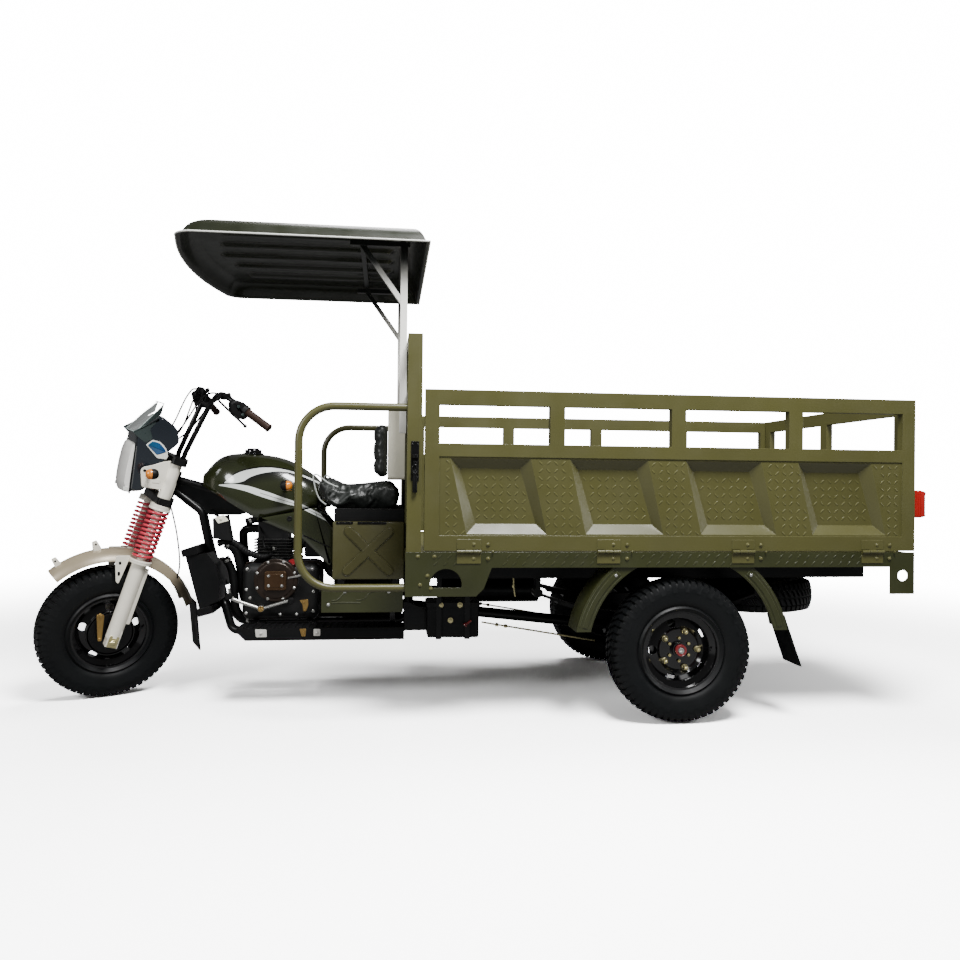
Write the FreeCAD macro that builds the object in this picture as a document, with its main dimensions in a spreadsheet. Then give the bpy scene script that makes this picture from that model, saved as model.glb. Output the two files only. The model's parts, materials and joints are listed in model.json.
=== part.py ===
import FreeCAD, Part
import math
import os
import re
from types import SimpleNamespace

import Sketcher
from FreeCAD import Placement, Rotation, Vector

# A three-wheeled cargo motorcycle with a drop-side bed, a driver's saddle and a canopy.
# Millimetres, +Z up, the front towards -X and the left side towards -Y.
# Places along X are counted from the front edge of the bed's side gates, heights from the ground.

sizes = {
    # Shared clearances, and where the origin lies behind the bed's front edge
    "originBehindBed": 245, "overrun": 5, "seatGap": 0.3, "runGap": 6, "weldLap": 2,
    # Wheels: tyre, tread blocks, rim and nuts
    "wheelRadius": 290, "tyreWide": 142, "tyreWall": 14, "tyreFacets": 44,
    "beadRadius": 152.4, "flangeHigh": 14, "rimWide": 104, "rimWall": 4, "wellDeep": 22,
    "wellWide": 44, "discSet": 18, "discDish": 16, "hubRadius": 42, "hubLong": 62,
    "wheelNuts": 5, "nutRing": 75, "nutRadius": 11, "nutHigh": 14, "handHole": 17,
    "handRing": 112, "capRadius": 22, "capHigh": 12,
    "rearAxlePlace": 1030, "wheelInset": 81, "wheelTrack": "=bedWide - 2 * wheelInset",
    "drumRadius": 108, "drumDeep": 58,
    # Steering axis and fork, drawn along the fork's own axis
    "steerFoot": -1317, "steerFootRise": -9.8, "steerRake": 18.72, "parkedSteer": 28.56,
    "forkForward": 37, "forkHalf": 109, "axleDrop": 1.7, "axleRadius": 12, "legRadius": 31,
    "legTop": 345, "legRidge": 16, "legRidgeDeep": 44, "springTop": 578, "springRadius": 38,
    "springWire": 5.5, "springTurns": 9, "springFacets": 14, "stanchionRadius": 19, "shroudRadius": 27,
    "shroudTop": 784, "yokeThick": 30, "lowerYoke": 600, "stemRadius": 17, "headTubeRadius": 30,
    "plateRadius": 88, "plateThick": 8, "armLong": 92, "armWide": 18, "drumMouth": 24, "frontDrum": 98,
    # Bed, gates and skirt
    "bedLong": 2000, "bedWide": 1300, "gateLow": 690, "gateHigh": 616, "gateDeep": 35,
    "topRail": 58, "midRail": 50, "lowRail": 58, "stileWide": 55, "postWide": 58,
    "midRailPlace": 1050, "panelInset": 4, "sheetThick": 3, "pressDeep": 30, "pressBevel": 38,
    "pressFirst": 98, "pressWide": 312, "pressSlant": 64, "pressPitch": 467, "pressEdge": 6,
    "hingeFirst": 172, "hingeLast": 1816, "hingeWide": 92, "knuckleRadius": 7, "pinRadius": 3.5,
    "leafThick": 3, "leafHigh": 38, "hingeOut": 8, "hingeDrop": 2.5, "floorTop": 685,
    "floorThick": 4, "skirtLow": 625, "skirtFlange": 30, "bearerWide": 40, "endGap": 7,
    "cornerLow": 515, "cornerFront": -70, "cornerBack": 261, "cornerStep": 30, "archPlace": 85,
    "archRadius": 61, "archLow": 549, "archHigh": 11, "rearCorner": 1894, "ovalPlace": 1950,
    "ovalHigh": 590, "ovalRadius": 22,
    "tailThick": 30, "lampOut": 108, "lampWide": 62, "lampHigh": 118, "lampInset": 105,
    "lampPlace": "=bedWide / 2 - lampInset",
    "lampMiddle": 880,
    # Headboard, hoops, canopy
    "pillarFront": -67, "pillarBack": -11, "pillarHigh": 1517, "pillarDeep": 38, "crossBar": 40,
    "hoopRadius": 15, "hoopInset": 29, "hoopOut": "=bedWide / 2 - hoopInset",
    "hoopTop": 1236, "hoopLow": 546, "hoopFront": -474, "hoopBend": 135,
    "canopyBack": 4, "canopyFront": -1012, "canopyHalf": 552, "canopyRim": 1893,
    "canopyTop": 1966, "canopyInset": 62, "canopySkin": 4, "canopyCorner": 80,
    "canopyBow": 58, "runnerFront": -300, "canopyLip": 14, "ridgeHigh": 16, "ridgeWide": 46,
    "canopyPost": 28, "postHalf": 417, "postLow": 1150, "braceReach": -262,
    "braceLow": 1672, "braceSize": 20,
    # Chassis: bed rails, cradle, backbone
    "railHalf": 320, "railWide": 50, "railTop": 632, "railLow": 548, "railFront": -64,
    "railShort": 30, "railBack": "=bedLong - railShort", "beamDeep": 44, "cradleHalf": 120, "cradleLow": 300,
    "cradleFront": -800, "downRadius": 22, "downPlace": -925, "downHigh": 661,
    "radiatorFoot": 400, "spineFront": -660, "spineHigh": 838, "spineBack": -405,
    "spineDrop": 740, "gussetBack": -795, "gussetLow": 796, "gussetHalf": 18,
    "headTop": 752, "headLow": 634, "spineRadius": 21,
    "tankBase": 747,
    # Seat, box, backrest
    "seatHalf": 300, "seatTall": 143, "boxFront": -359, "boxBack": -70, "boxHalf": 400, "boxLow": 552,
    "boxTop": 786, "boxWall": 3, "crossWide": 26, "crossDeep": 6, "seatBaseTop": 838,
    "backHalf": 235, "backFront": -195, "backMiddle": -140, "backLow": 960, "backTop": 1212,
    "shellBack": -67.3, "shellTop": 1273, "shellHalf": 255, "stepLow": 418, "stepTop": 506,
    "stepFront": -401, "stepBack": -72, "stepWide": 120,
    # Tank, side covers, indicator
    "tankFront": -929, "tankBack": -448, "tankTop": 1074, "tankHalf": 152,
    "coverThick": 14, "coverOut": 152,
    "stalkPlace": -570, "stalkHigh": 930, "stalkOut": 205, "stalkRadius": 7, "stalkFoot": 150,
    # Engine, radiator, exhaust
    "crankFront": -760, "crankBack": -430, "crankHalf": 150, "crankLow": 345, "crankTop": 590,
    "barrelPlace": -640, "barrelHalf": 66, "barrelTop": 705, "headTall": 62, "finThick": 5,
    "finPitch": 13, "finOut": 14, "coverPlace": -610, "coverHigh": 524, "coverRadius": 92,
    "coverDeep": 38, "bronzeHalf": 46, "bronzeTall": 41,
    "radiatorTall": 262, "radiatorDeep": 64,
    "radiatorHalf": 180, "radiatorLean": 15, "pipeRadius": 19, "hoseRadius": 13, "carbRadius": 24,
    "carbDrop": 34, "airBoxFront": -500, "airBoxLong": 96, "airBoxHalf": 105, "airBoxTall": 110,
    "reservoirOut": 150, "reservoirIn": 92, "reservoirMiddle": -850, "seatBar": 12, "silencerRadius": 62,
    "silencerLong": 480, "silencerPlace": 120, "silencerHalf": 215, "silencerHigh": 430,
    # Foot pieces
    "boardFront": -751, "boardBack": -64, "boardLow": 288, "boardTop": 338, "boardIn": 180,
    "boardOut": 300, "boardNose": 34, "pegRadius": 13,
    # Rear axle, springs, shaft, mudguards, spare wheel
    "axleTube": 40, "differential": 105, "leafWide": 60, "leafFront": 500, "leafBack": 1480,
    "leafEye": 486, "saddleHigh": 18, "leafPile": 9, "leafCount": 5, "eyeRadius": 20,
    "shaftRadius": 24, "shaftHigh": 430, "guardInner": 384, "guardOuter": 440,
    "guardSkin": 3, "guardInset": 10, "guardFace": "=bedWide / 2 - guardInset", "guardWide": 150,
    "guardLow": 372, "flapThick": 6,
    "flapLow": 222, "flapBack": 1528, "flapTop": 430, "spareMiddle": 446, "sparePlace": 1588,
    "hangerRadius": 8,
    # Lamps, cowl, handlebar, front mudguard: drawn unsteered, beside the steering axis
    "lampFront": -1318, "lampLow": 906, "lampHalf": 96, "cowlHalf": 112, "cowlLong": 238,
    "cowlTall": 337, "screenHalf": 90,
    "bracketFront": -1246, "bracketLow": 936, "bracketTop": 1042, "bracketThick": 5,
    "blinkerOut": 196, "blinkerPlace": -1214,
    "blinkerHigh": 1008, "blinkerRadius": 22, "blinkerLong": 46,
    "barRadius": 11, "barHalf": 392, "barBend": 60, "riserHalf": 50, "riserPlace": -950,
    "riserHigh": 1290, "barPlace": -926, "barHigh": 1340, "barStraight": 243,
    "barEndPlace": -790, "barEndHigh": 1222, "gripRadius": 16.5,
    "gripLong": 122, "leverRadius": 5, "cableRadius": 3.6,
    "mudHalf": 68, "mudSkin": 3, "mudRadius": 324, "mudCrown": 44, "mudBack": 16, "mudFront": 129,
    "flapHalf": 62, "flapFoot": -977, "flapDrop": 163, "leverClamp": 168, "leverTip": -889,
    "leverOut": 380, "leverHigh": 1230,
    # Latches between the front pillars and the side gates
    "latchGap": 0.3, "latchWide": 30, "latchThick": 4, "latchHigh": 150, "latchPlace": -52,
    "latchLow": 956, "latchBolt": 9,
}

doc = FreeCAD.newDocument("CargoTricycle")
sheet = doc.addObject("Spreadsheet::Sheet", "Sizes")
for row, (word, number) in enumerate(sizes.items(), start=1):
    sheet.set("A%d" % row, word)
    sheet.set("B%d" % row, str(number))
    sheet.setAlias("B%d" % row, word)
doc.recompute()
size = SimpleNamespace(**{word: float(sheet.get(word)) for word in sizes})


def bound(text):
    # An expression with the sheet's name put before each size in it
    return re.sub(r"[a-zA-Z]+", lambda found: ("Sizes." if found.group() in sizes else "")
                  + found.group(), text)


# Primitives, bound to the sheet by expressions

def block(name, x, y, z):
    solid = doc.addObject("Part::Box", name)
    for side, axis, (start, end) in zip(("Length", "Width", "Height"), "xyz", (x, y, z)):
        solid.setExpression(side, bound("(%s) - (%s)" % (end, start)))
        solid.setExpression("Placement.Base." + axis, bound(start))
    return solid


axisTurns = {"x": Rotation(Vector(0, 1, 0), 90), "y": Rotation(Vector(1, 0, 0), -90),
             "z": Rotation()}


def rod(name, axis, radius, long, at):
    solid = doc.addObject("Part::Cylinder", name)
    solid.Placement = Placement(Vector(), axisTurns[axis])
    solid.setExpression("Radius", bound(radius))
    solid.setExpression("Height", bound(long))
    for letter, place in zip("xyz", at):
        solid.setExpression("Placement.Base." + letter, bound(place))
    return solid


def fused(name, pieces):
    joined = doc.addObject("Part::MultiFuse", name)
    joined.Shapes = pieces
    return joined


def gathered(name, pieces):
    group = doc.addObject("Part::Compound", name)
    group.Links = pieces
    return group


def less(name, base, tools):
    cut = doc.addObject("Part::Cut", name)
    cut.Base = base
    cut.Tool = tools[0] if len(tools) == 1 else fused(name + "Tools", tools)
    return cut


def mirrored(name, piece):
    other = doc.addObject("Part::Mirroring", name)
    other.Source = piece
    other.Normal = (0, 1, 0)
    return other


def pair(name, piece):
    return gathered(name, [piece, mirrored(name + "Other", piece)])


def formed(name, shape):
    # The shape keeps its own place inside the piece, whose Placement is then free
    piece = doc.addObject("Part::Feature", name)
    piece.Shape = Part.makeCompound([shape])
    return piece


# Part Design bodies from outlines bound to the sheet

def outline(body, role, name, points):
    sketch = body.newObject("Sketcher::SketchObject", name)
    plane = [item for item in body.Origin.OriginFeatures if item.Role == role][0]
    sketch.AttachmentSupport = (plane, [""])
    sketch.MapMode = "FlatFace"
    places = [tuple(float(sheet.evalExpression(bound(text).replace("Sizes.", ""))) for text in point)
              for point in points]
    count = len(places)
    for index in range(count):
        ahead = places[(index + 1) % count]
        sketch.addGeometry(Part.LineSegment(Vector(*places[index], 0), Vector(*ahead, 0)))
    for index in range(count):
        sketch.addConstraint(Sketcher.Constraint("Coincident", index, 2, (index + 1) % count, 1))
    for index, point in enumerate(points):
        for kind, text, place in zip(("DistanceX", "DistanceY"), point, places[index]):
            number = sketch.addConstraint(Sketcher.Constraint(kind, -1, 1, index, 1, place))
            sketch.setExpression("Constraints[%d]" % number, bound(text))
    return sketch


def turned(name, points):
    # Points are (radius, place along the Y axis)
    body = doc.addObject("PartDesign::Body", name)
    sketch = outline(body, "XY_Plane", name + "Outline", points)
    turn = body.newObject("PartDesign::Revolution", name + "Turn")
    turn.Profile = sketch
    turn.ReferenceAxis = (sketch, ["V_Axis"])
    turn.Angle = 360
    return body


def padded(name, points, start, end):
    # Points are (x, z); the pad runs between two places along Y
    body = doc.addObject("PartDesign::Body", name)
    sketch = outline(body, "XZ_Plane", name + "Outline", points)
    sketch.setExpression("AttachmentOffset.Base.z", bound("-(%s)" % end))
    pad = body.newObject("PartDesign::Pad", name + "Pad")
    pad.Profile = sketch
    pad.setExpression("Length", bound("(%s) - (%s)" % (end, start)))
    return body


# Shapes made with Part's own functions, from the same sizes

def corners(points, bend, closed=False):
    # Each rounded corner: where it starts, its middle, where it ends, its centre and its turn
    count = len(points)
    found = {}
    for index in range(count) if closed else range(1, count - 1):
        here = points[index]
        back = points[index - 1] - here
        ahead = points[(index + 1) % count] - here
        turn = math.pi - back.getAngle(ahead)
        if turn < 0.01:
            continue
        reach = min(bend * math.tan(turn / 2), 0.45 * back.Length, 0.45 * ahead.Length)
        toBack, toAhead = Vector(back).normalize(), Vector(ahead).normalize()
        radius = reach / math.tan(turn / 2)
        toMiddle = (toBack + toAhead).normalize()
        depth = radius / math.cos(turn / 2)
        found[index] = (here + toBack * reach, here + toMiddle * (depth - radius), here + toAhead * reach,
                        here + toMiddle * depth, toAhead.cross(toBack), math.degrees(turn))
    return found


def roundedPath(points, bend, closed=False):
    count = len(points)
    rounds = corners(points, bend, closed)
    edges = []
    last = rounds[0][2] if closed and 0 in rounds else points[0]
    order = list(range(1, count)) + ([0] if closed else [])
    for index in order:
        start, middle, end = rounds[index][:3] if index in rounds else 3 * (points[index],)
        if not start.isEqual(last, size.seatGap / 1000):
            edges.append(Part.LineSegment(last, start).toShape())
        if index in rounds:
            edges.append(Part.Arc(start, middle, end).toShape())
        last = end
    return Part.Wire(edges)


def tube(points, radius, bend, closed=False):
    # Round bar: a cylinder along each run and part of a torus round each corner
    count = len(points)
    rounds = corners(points, bend, closed)
    pieces = []
    last = rounds[0][2] if closed else points[0]
    for index in list(range(1, count)) + ([0] if closed else []):
        start = rounds[index][0] if index in rounds else points[index]
        run = start - last
        if run.Length > size.seatGap:
            pieces.append(Part.makeCylinder(radius, run.Length, last, run))
        last = start
        if index in rounds:
            _, _, last, centre, axis, turn = rounds[index]
            disc = Part.Face(Part.Wire(Part.makeCircle(radius, start, run)))
            pieces.append(disc.revolve(centre, axis, turn))
    return pieces[0].fuse(pieces[1:]) if len(pieces) > 1 else pieces[0]


def bar(start, end, wide, deep):
    # A straight rectangular bar between two points
    along = end - start
    section = Part.makePolygon([Vector(-wide / 2, -deep / 2, 0), Vector(wide / 2, -deep / 2, 0),
                                Vector(wide / 2, deep / 2, 0), Vector(-wide / 2, deep / 2, 0),
                                Vector(-wide / 2, -deep / 2, 0)])
    solid = Part.Face(section).extrude(Vector(0, 0, along.Length))
    solid.Placement = Placement(start, Rotation(Vector(0, 0, 1), along))
    return solid


def prism(points, start, end, bend=0):
    # Points are (x, z), extruded between two places along Y
    rim = [Vector(x, start, z) for x, z in points]
    wire = roundedPath(rim, bend, closed=True) if bend else Part.makePolygon(rim + rim[:1])
    return Part.Face(wire).extrude(Vector(0, end - start, 0))


def blended(shape, radius, edges=None):
    return shape.makeFillet(radius, edges if edges else shape.Edges)


def both(shape):
    return Part.makeCompound([shape, shape.mirror(Vector(), Vector(0, 1, 0))])


# Frames that place the finished pieces

def frame(name, placement):
    where = doc.addObject("App::Placement", name)
    where.Placement = placement
    return where


toOrigin = Placement(Vector(-size.originBehindBed, 0, 0), Rotation())
steerFootPoint = Vector(size.steerFoot, 0, size.wheelRadius + size.steerFootRise)
rake = math.radians(size.steerRake)
steerAxis = Vector(math.sin(rake), 0, math.cos(rake))
parked = Placement(Vector(), Rotation(steerAxis, size.parkedSteer), steerFootPoint)
alongFork = Placement(steerFootPoint, Rotation(Vector(0, 1, 0), size.steerRake))

vehicleFrame = frame("VehicleFrame", toOrigin)
steeringFrame = frame("SteeringFrame", toOrigin * parked)
forkFrame = frame("ForkFrame", toOrigin * parked * alongFork)
frontAxle = Placement(Vector(-size.forkForward, 0, -size.axleDrop), Rotation())
frontWheelFrame = frame("FrontWheelFrame", toOrigin * parked * alongFork * frontAxle)
wheelPlace = Vector(size.rearAxlePlace - size.originBehindBed, size.wheelTrack / 2, size.wheelRadius)
leftPlace = Vector(wheelPlace.x, -wheelPlace.y, wheelPlace.z)
leftWheelFrame = frame("LeftWheelFrame", Placement(leftPlace, Rotation()))
rightWheelFrame = frame("RightWheelFrame", Placement(wheelPlace, Rotation(Vector(0, 0, 1), 180)))
flat = Rotation(Vector(1, 0, 0), 90)
sparePlace = Vector(size.sparePlace - size.originBehindBed, 0, size.spareMiddle)
spareFrame = frame("SpareFrame", Placement(sparePlace, flat))

nodes = []


def node(label, piece, where=vehicleFrame):
    piece.Label = label
    piece.setExpression("Placement", where.Name + ".Placement")
    nodes.append(piece)


# Wheels, drawn with their axle along Y and the outer side towards -Y

def tyreSection(clear):
    # Half-section: straight beads that clear the rim, bulging walls, a crowned tread, an even inside
    half, wall, crown = size.tyreWide / 2, size.tyreWall, size.wheelRadius
    bead = (size.beadRadius + size.seatGap) / clear
    seat = size.rimWide / 2 - size.rimWall - size.seatGap
    lipRadius, lip = bead + size.flangeHigh, seat + size.rimWall
    widest, shoulder, treadHalf = (bead + crown) / 2, 0.965 * crown, 0.93 * half
    outside = [(bead, seat), (lipRadius, lip), (widest, half),
               (widest + 0.7 * (shoulder - widest), 0.97 * half), (shoulder, treadHalf),
               (0.991 * crown, treadHalf / 2)]
    inside = [(crown - 2 * wall, treadHalf - wall), (bead, seat - wall)]
    return ([(radius, -place) for radius, place in outside] + [(crown, 0)] + outside[::-1]
            + inside[::-1] + [(radius, -place) for radius, place in inside])


def tyreShape():
    # Flat facets round the wheel, the first corner straight down
    step = 2 * math.pi / size.tyreFacets
    section = tyreSection(math.cos(step / 2))
    rings = [[Vector(radius * math.sin(step * turn), place, -radius * math.cos(step * turn))
              for radius, place in section] for turn in range(int(size.tyreFacets))]
    faces = []
    for ring, following in zip(rings, rings[1:] + rings[:1]):
        quads = zip(ring, ring[1:] + ring[:1], following[1:] + following[:1], following)
        for near, far, farther, nearer in quads:
            faces.append(Part.Face(Part.makePolygon([near, far, farther, nearer, near])))
    return Part.makeSolid(Part.makeShell(faces))


def rimOutline():
    # Half-section of the wheel: flange, bead seat, well, and back along the inside
    edge, wall = "rimWide/2", "rimWall"
    outside = [("beadRadius + flangeHigh", "-(%s)" % edge), ("beadRadius", "rimWall - %s" % edge),
               ("beadRadius", "-wellWide/2 - wellDeep/2"), ("beadRadius - wellDeep", "-wellWide/2"),
               ("beadRadius - wellDeep", "wellWide/2"), ("beadRadius", "wellWide/2 + wellDeep/2"),
               ("beadRadius", "%s - rimWall" % edge), ("beadRadius + flangeHigh", edge)]
    inside = [("beadRadius - %s" % wall, edge), ("beadRadius - %s" % wall, "wellWide/2 + wellDeep/2"),
              ("beadRadius - wellDeep - rimWall", "wellWide/2"),
              ("beadRadius - wellDeep - rimWall", "-wellWide/2"),
              ("beadRadius - %s" % wall, "-wellWide/2 - wellDeep/2"),
              ("beadRadius - %s" % wall, "-(%s)" % edge)]
    return outside + inside


def discShape():
    wall, dish, place = size.rimWall, size.discDish, -size.discSet
    outerRadius = size.beadRadius - size.wellDeep - wall + size.weldLap
    points = [(size.hubRadius - wall, place), (size.hubRadius * 1.9, place),
              (size.handRing - size.handHole, place - dish), (size.handRing + size.handHole, place),
              (outerRadius, place + dish / 2)]
    loop = [Vector(radius, at, 0) for radius, at in points]
    loop += [Vector(radius, at + wall, 0) for radius, at in reversed(points)]
    disc = Part.Face(Part.makePolygon(loop + loop[:1])).revolve(Vector(), Vector(0, 1, 0), 360)
    holes = []
    for index in range(int(size.wheelNuts)):
        hole = Part.makeCylinder(size.handHole, size.discSet * 4,
                                 Vector(size.handRing, -size.discSet * 3, 0), Vector(0, 1, 0))
        hole.rotate(Vector(), Vector(0, 1, 0), 360 / size.wheelNuts * (index + 0.5))
        holes.append(hole)
    return disc.cut(holes)


def drivenHub():
    # Rear hub: brake drum, five nuts and a cap that closes the spindle's bore
    place, outwards = -size.discSet, Vector(0, -1, 0)
    bossLong = size.capHigh * 1.6
    hub = Part.makeCylinder(size.hubRadius, size.drumDeep / 2 - place, Vector(0, place, 0), -outwards)
    drum = Part.makeCylinder(size.drumRadius, size.drumDeep / 2 - place - size.rimWall,
                             Vector(0, place + size.rimWall, 0), -outwards)
    boss = Part.makeCylinder(size.hubRadius * 0.72, bossLong, Vector(0, place, 0), outwards)
    bore = Part.makeCylinder(size.axleRadius + size.seatGap, size.rimWide,
                             Vector(0, place - bossLong, 0), -outwards)
    hub = hub.fuse([drum, boss]).cut(bore)
    cap = Part.makeCone(size.capRadius, size.capRadius * 0.8, size.capHigh,
                        Vector(0, place - bossLong, 0), outwards)
    nuts = []
    for index in range(int(size.wheelNuts)):
        nut = Part.makeCylinder(size.nutRadius, size.nutHigh + size.rimWall,
                                Vector(size.nutRing, place + size.rimWall, 0), outwards)
        nut.rotate(Vector(), Vector(0, 1, 0), 360 / size.wheelNuts * index)
        nuts.append(nut)
    return hub.fuse([cap] + nuts)


def frontHub():
    # Front hub: a drum open towards the brake plate, bored through for the axle
    place, outwards = -size.discSet, Vector(0, -1, 0)
    hub = Part.makeCylinder(size.hubRadius, size.hubLong / 2 - place - size.rimWall,
                            Vector(0, place + size.rimWall, 0), -outwards)
    web = Part.makeCylinder(size.frontDrum, size.rimWall, Vector(0, place + size.rimWall, 0), -outwards)
    drum = Part.makeCylinder(size.frontDrum, size.drumMouth + size.plateThick + size.rimWall,
                             Vector(0, place + size.rimWall, 0), outwards)
    mouth = Part.makeCylinder(size.plateRadius + size.runGap, size.drumMouth * 2 + size.plateThick,
                              Vector(0, place, 0), outwards)
    bore = Part.makeCylinder(size.axleRadius + size.seatGap, size.rimWide * 2,
                             Vector(0, -size.rimWide, 0), -outwards)
    return hub.fuse([web, drum.cut(mouth)]).cut(bore)


def addWheel(name, where, hub):
    node(name + "_tyre", formed(name + "Tyre", tyreShape()), where)
    pieces = [turned(name + "RimTurn", rimOutline()), formed(name + "Disc", discShape()),
              formed(name + "Hub", hub)]
    node(name + "_rim", fused(name + "Rim", pieces), where)


addWheel("front", frontWheelFrame, frontHub())
addWheel("rear_left", leftWheelFrame, drivenHub())
addWheel("rear_right", rightWheelFrame, drivenHub())
node("spare_tyre", formed("SpareTyre", tyreShape()), spareFrame)
spareDisc = formed("SpareDisc", discShape())
node("spare_rim", fused("SpareRim", [turned("SpareRimTurn", rimOutline()), spareDisc]), spareFrame)


def hangerShape():
    # A threaded rod from the cross member down through the spare wheel to a clamp plate
    seat = size.spareMiddle - size.discSet
    plate = Part.makeCylinder(size.hubRadius * 1.3, size.plateThick,
                              Vector(size.sparePlace, 0, seat - size.seatGap), Vector(0, 0, -1))
    stud = Part.makeCylinder(size.hangerRadius, size.railLow - seat + size.plateThick,
                             Vector(size.sparePlace, 0, seat - size.plateThick), Vector(0, 0, 1))
    return plate.fuse(stud)


node("spare_hanger", formed("SpareHanger", hangerShape()))


# Side gates and tailgate: welded rails round a pressed sheet

def pressedSheet(spans, low, high, face, inward):
    # Spans are (start at top, start at bottom, width); the sheet runs the panel's whole length
    thick, deep, bevel = size.sheetThick, size.pressDeep, size.pressBevel
    lap = size.weldLap
    first, last = size.stileWide - lap, spans["long"] - size.stileWide + lap
    slab = Part.makeBox(last - first, thick, high - low + 2 * lap, Vector(first, 0, low - lap))
    pans, hollows = [], []
    edge = size.pressEdge
    for topStart, bottomStart, wide in spans["pans"]:
        rim = [(topStart, high - edge), (topStart + wide, high - edge),
               (bottomStart + wide, low + edge), (bottomStart, low + edge)]
        base = [(topStart + bevel, high - edge - bevel), (topStart + wide - bevel, high - edge - bevel),
                (bottomStart + wide - bevel, low + edge + bevel),
                (bottomStart + bevel, low + edge + bevel)]
        wires = [Part.makePolygon([Vector(x, y, z) for x, z in loop + loop[:1]])
                 for loop, y in ((rim, 0), (base, deep))]
        pan = Part.makeLoft(wires, True, True)
        pans.append(pan.translated(Vector(0, thick, 0)))
        hollows.append(pan)
    sheetPiece = slab.fuse(pans).cut(hollows)
    if inward < 0:
        sheetPiece = sheetPiece.mirror(Vector(), Vector(0, 1, 0))
    return sheetPiece.translated(Vector(0, face, 0))


def hingePlaces():
    step = (size.hingeLast - size.hingeFirst) / 3
    return [size.hingeFirst + step * index for index in range(4)]


def hingeHalf(place, moving):
    # Outer face of the gate at y = 0, bottom of the gate at z = 0, opening towards -Y
    wide, knuckle, thick = size.hingeWide, size.knuckleRadius, size.leafThick
    centre = Vector(place, -size.hingeOut, -size.hingeDrop)
    third, slack = wide / 3, size.hingeDrop / 2
    start = centre.z + knuckle + slack
    along = Vector(1, 0, 0)
    if moving:
        long = third - slack
        leaf = Part.makeBox(wide, thick, size.leafHigh, Vector(place - wide / 2, -thick, start))
        barrel = Part.makeCylinder(knuckle, long, centre - along * long / 2, along)
        tab = Part.makeBox(long, thick, start - centre.z, Vector(place - long / 2, -thick, centre.z))
        bore = Part.makeCylinder(size.pinRadius + size.seatGap, wide, centre - along * wide / 2, along)
        return leaf.fuse([barrel, tab]).cut(bore)
    start = centre.z - knuckle - slack
    leaf = Part.makeBox(wide, thick, size.leafHigh, Vector(place - wide / 2, -thick, start - size.leafHigh))
    pieces = [Part.makeCylinder(size.pinRadius, wide, centre - along * wide / 2, along)]
    for side in (-1, 1):
        long = third - slack
        end = centre + along * (-wide / 2 if side < 0 else wide / 2 - long)
        pieces.append(Part.makeCylinder(knuckle, long, end, along))
        pieces.append(Part.makeBox(long, thick, centre.z - start, Vector(end.x, -thick, start)))
    return leaf.fuse(pieces)


def gateHinges(moving):
    face = -size.bedWide / 2
    return [hingeHalf(place, moving).translated(Vector(0, face, size.gateLow))
            for place in hingePlaces()]


def sideGate(name):
    outer, inner = "-bedWide/2", "-bedWide/2 + gateDeep"
    deep = (outer, inner)
    top = "gateLow + gateHigh"
    long = ("0", "bedLong")
    pieces = [block(name + "Top", long, deep, (top + " - topRail", top)),
              block(name + "Mid", long, deep, ("midRailPlace", "midRailPlace + midRail")),
              block(name + "Low", long, deep, ("gateLow", "gateLow + lowRail")),
              block(name + "Front", ("0", "stileWide"), deep, ("gateLow", top)),
              block(name + "Back", ("bedLong - stileWide", "bedLong"), deep, ("gateLow", top))]
    clear = (size.bedLong - 2 * size.stileWide - 3 * size.postWide) / 4
    for index in range(3):
        start = "stileWide + %d*(bedLong - 2*stileWide - 3*postWide)/4 + %d*postWide" % (index + 1, index)
        pieces.append(block(name + "Post", (start, start + " + postWide"), deep,
                            ("midRailPlace", top)))
    spans = [(size.pressFirst + size.pressPitch * index,
              size.pressFirst + size.pressPitch * index + size.pressSlant, size.pressWide)
             for index in range(4)]
    pressed = pressedSheet({"long": size.bedLong, "pans": spans}, size.gateLow + size.lowRail,
                           size.midRailPlace, -size.bedWide / 2 + size.panelInset, 1)
    pieces.append(formed(name + "Sheet", pressed))
    pieces += [formed(name + "Hinge", hinge) for hinge in gateHinges(True)]
    return fused(name, pieces)


node("left_gate", sideGate("LeftGate"))
node("right_gate", gathered("RightGateSide", [mirrored("RightGateMirror", sideGate("RightGate"))]))


tailHingeShares = (-0.6, -0.2, 0.2, 0.6)


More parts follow.
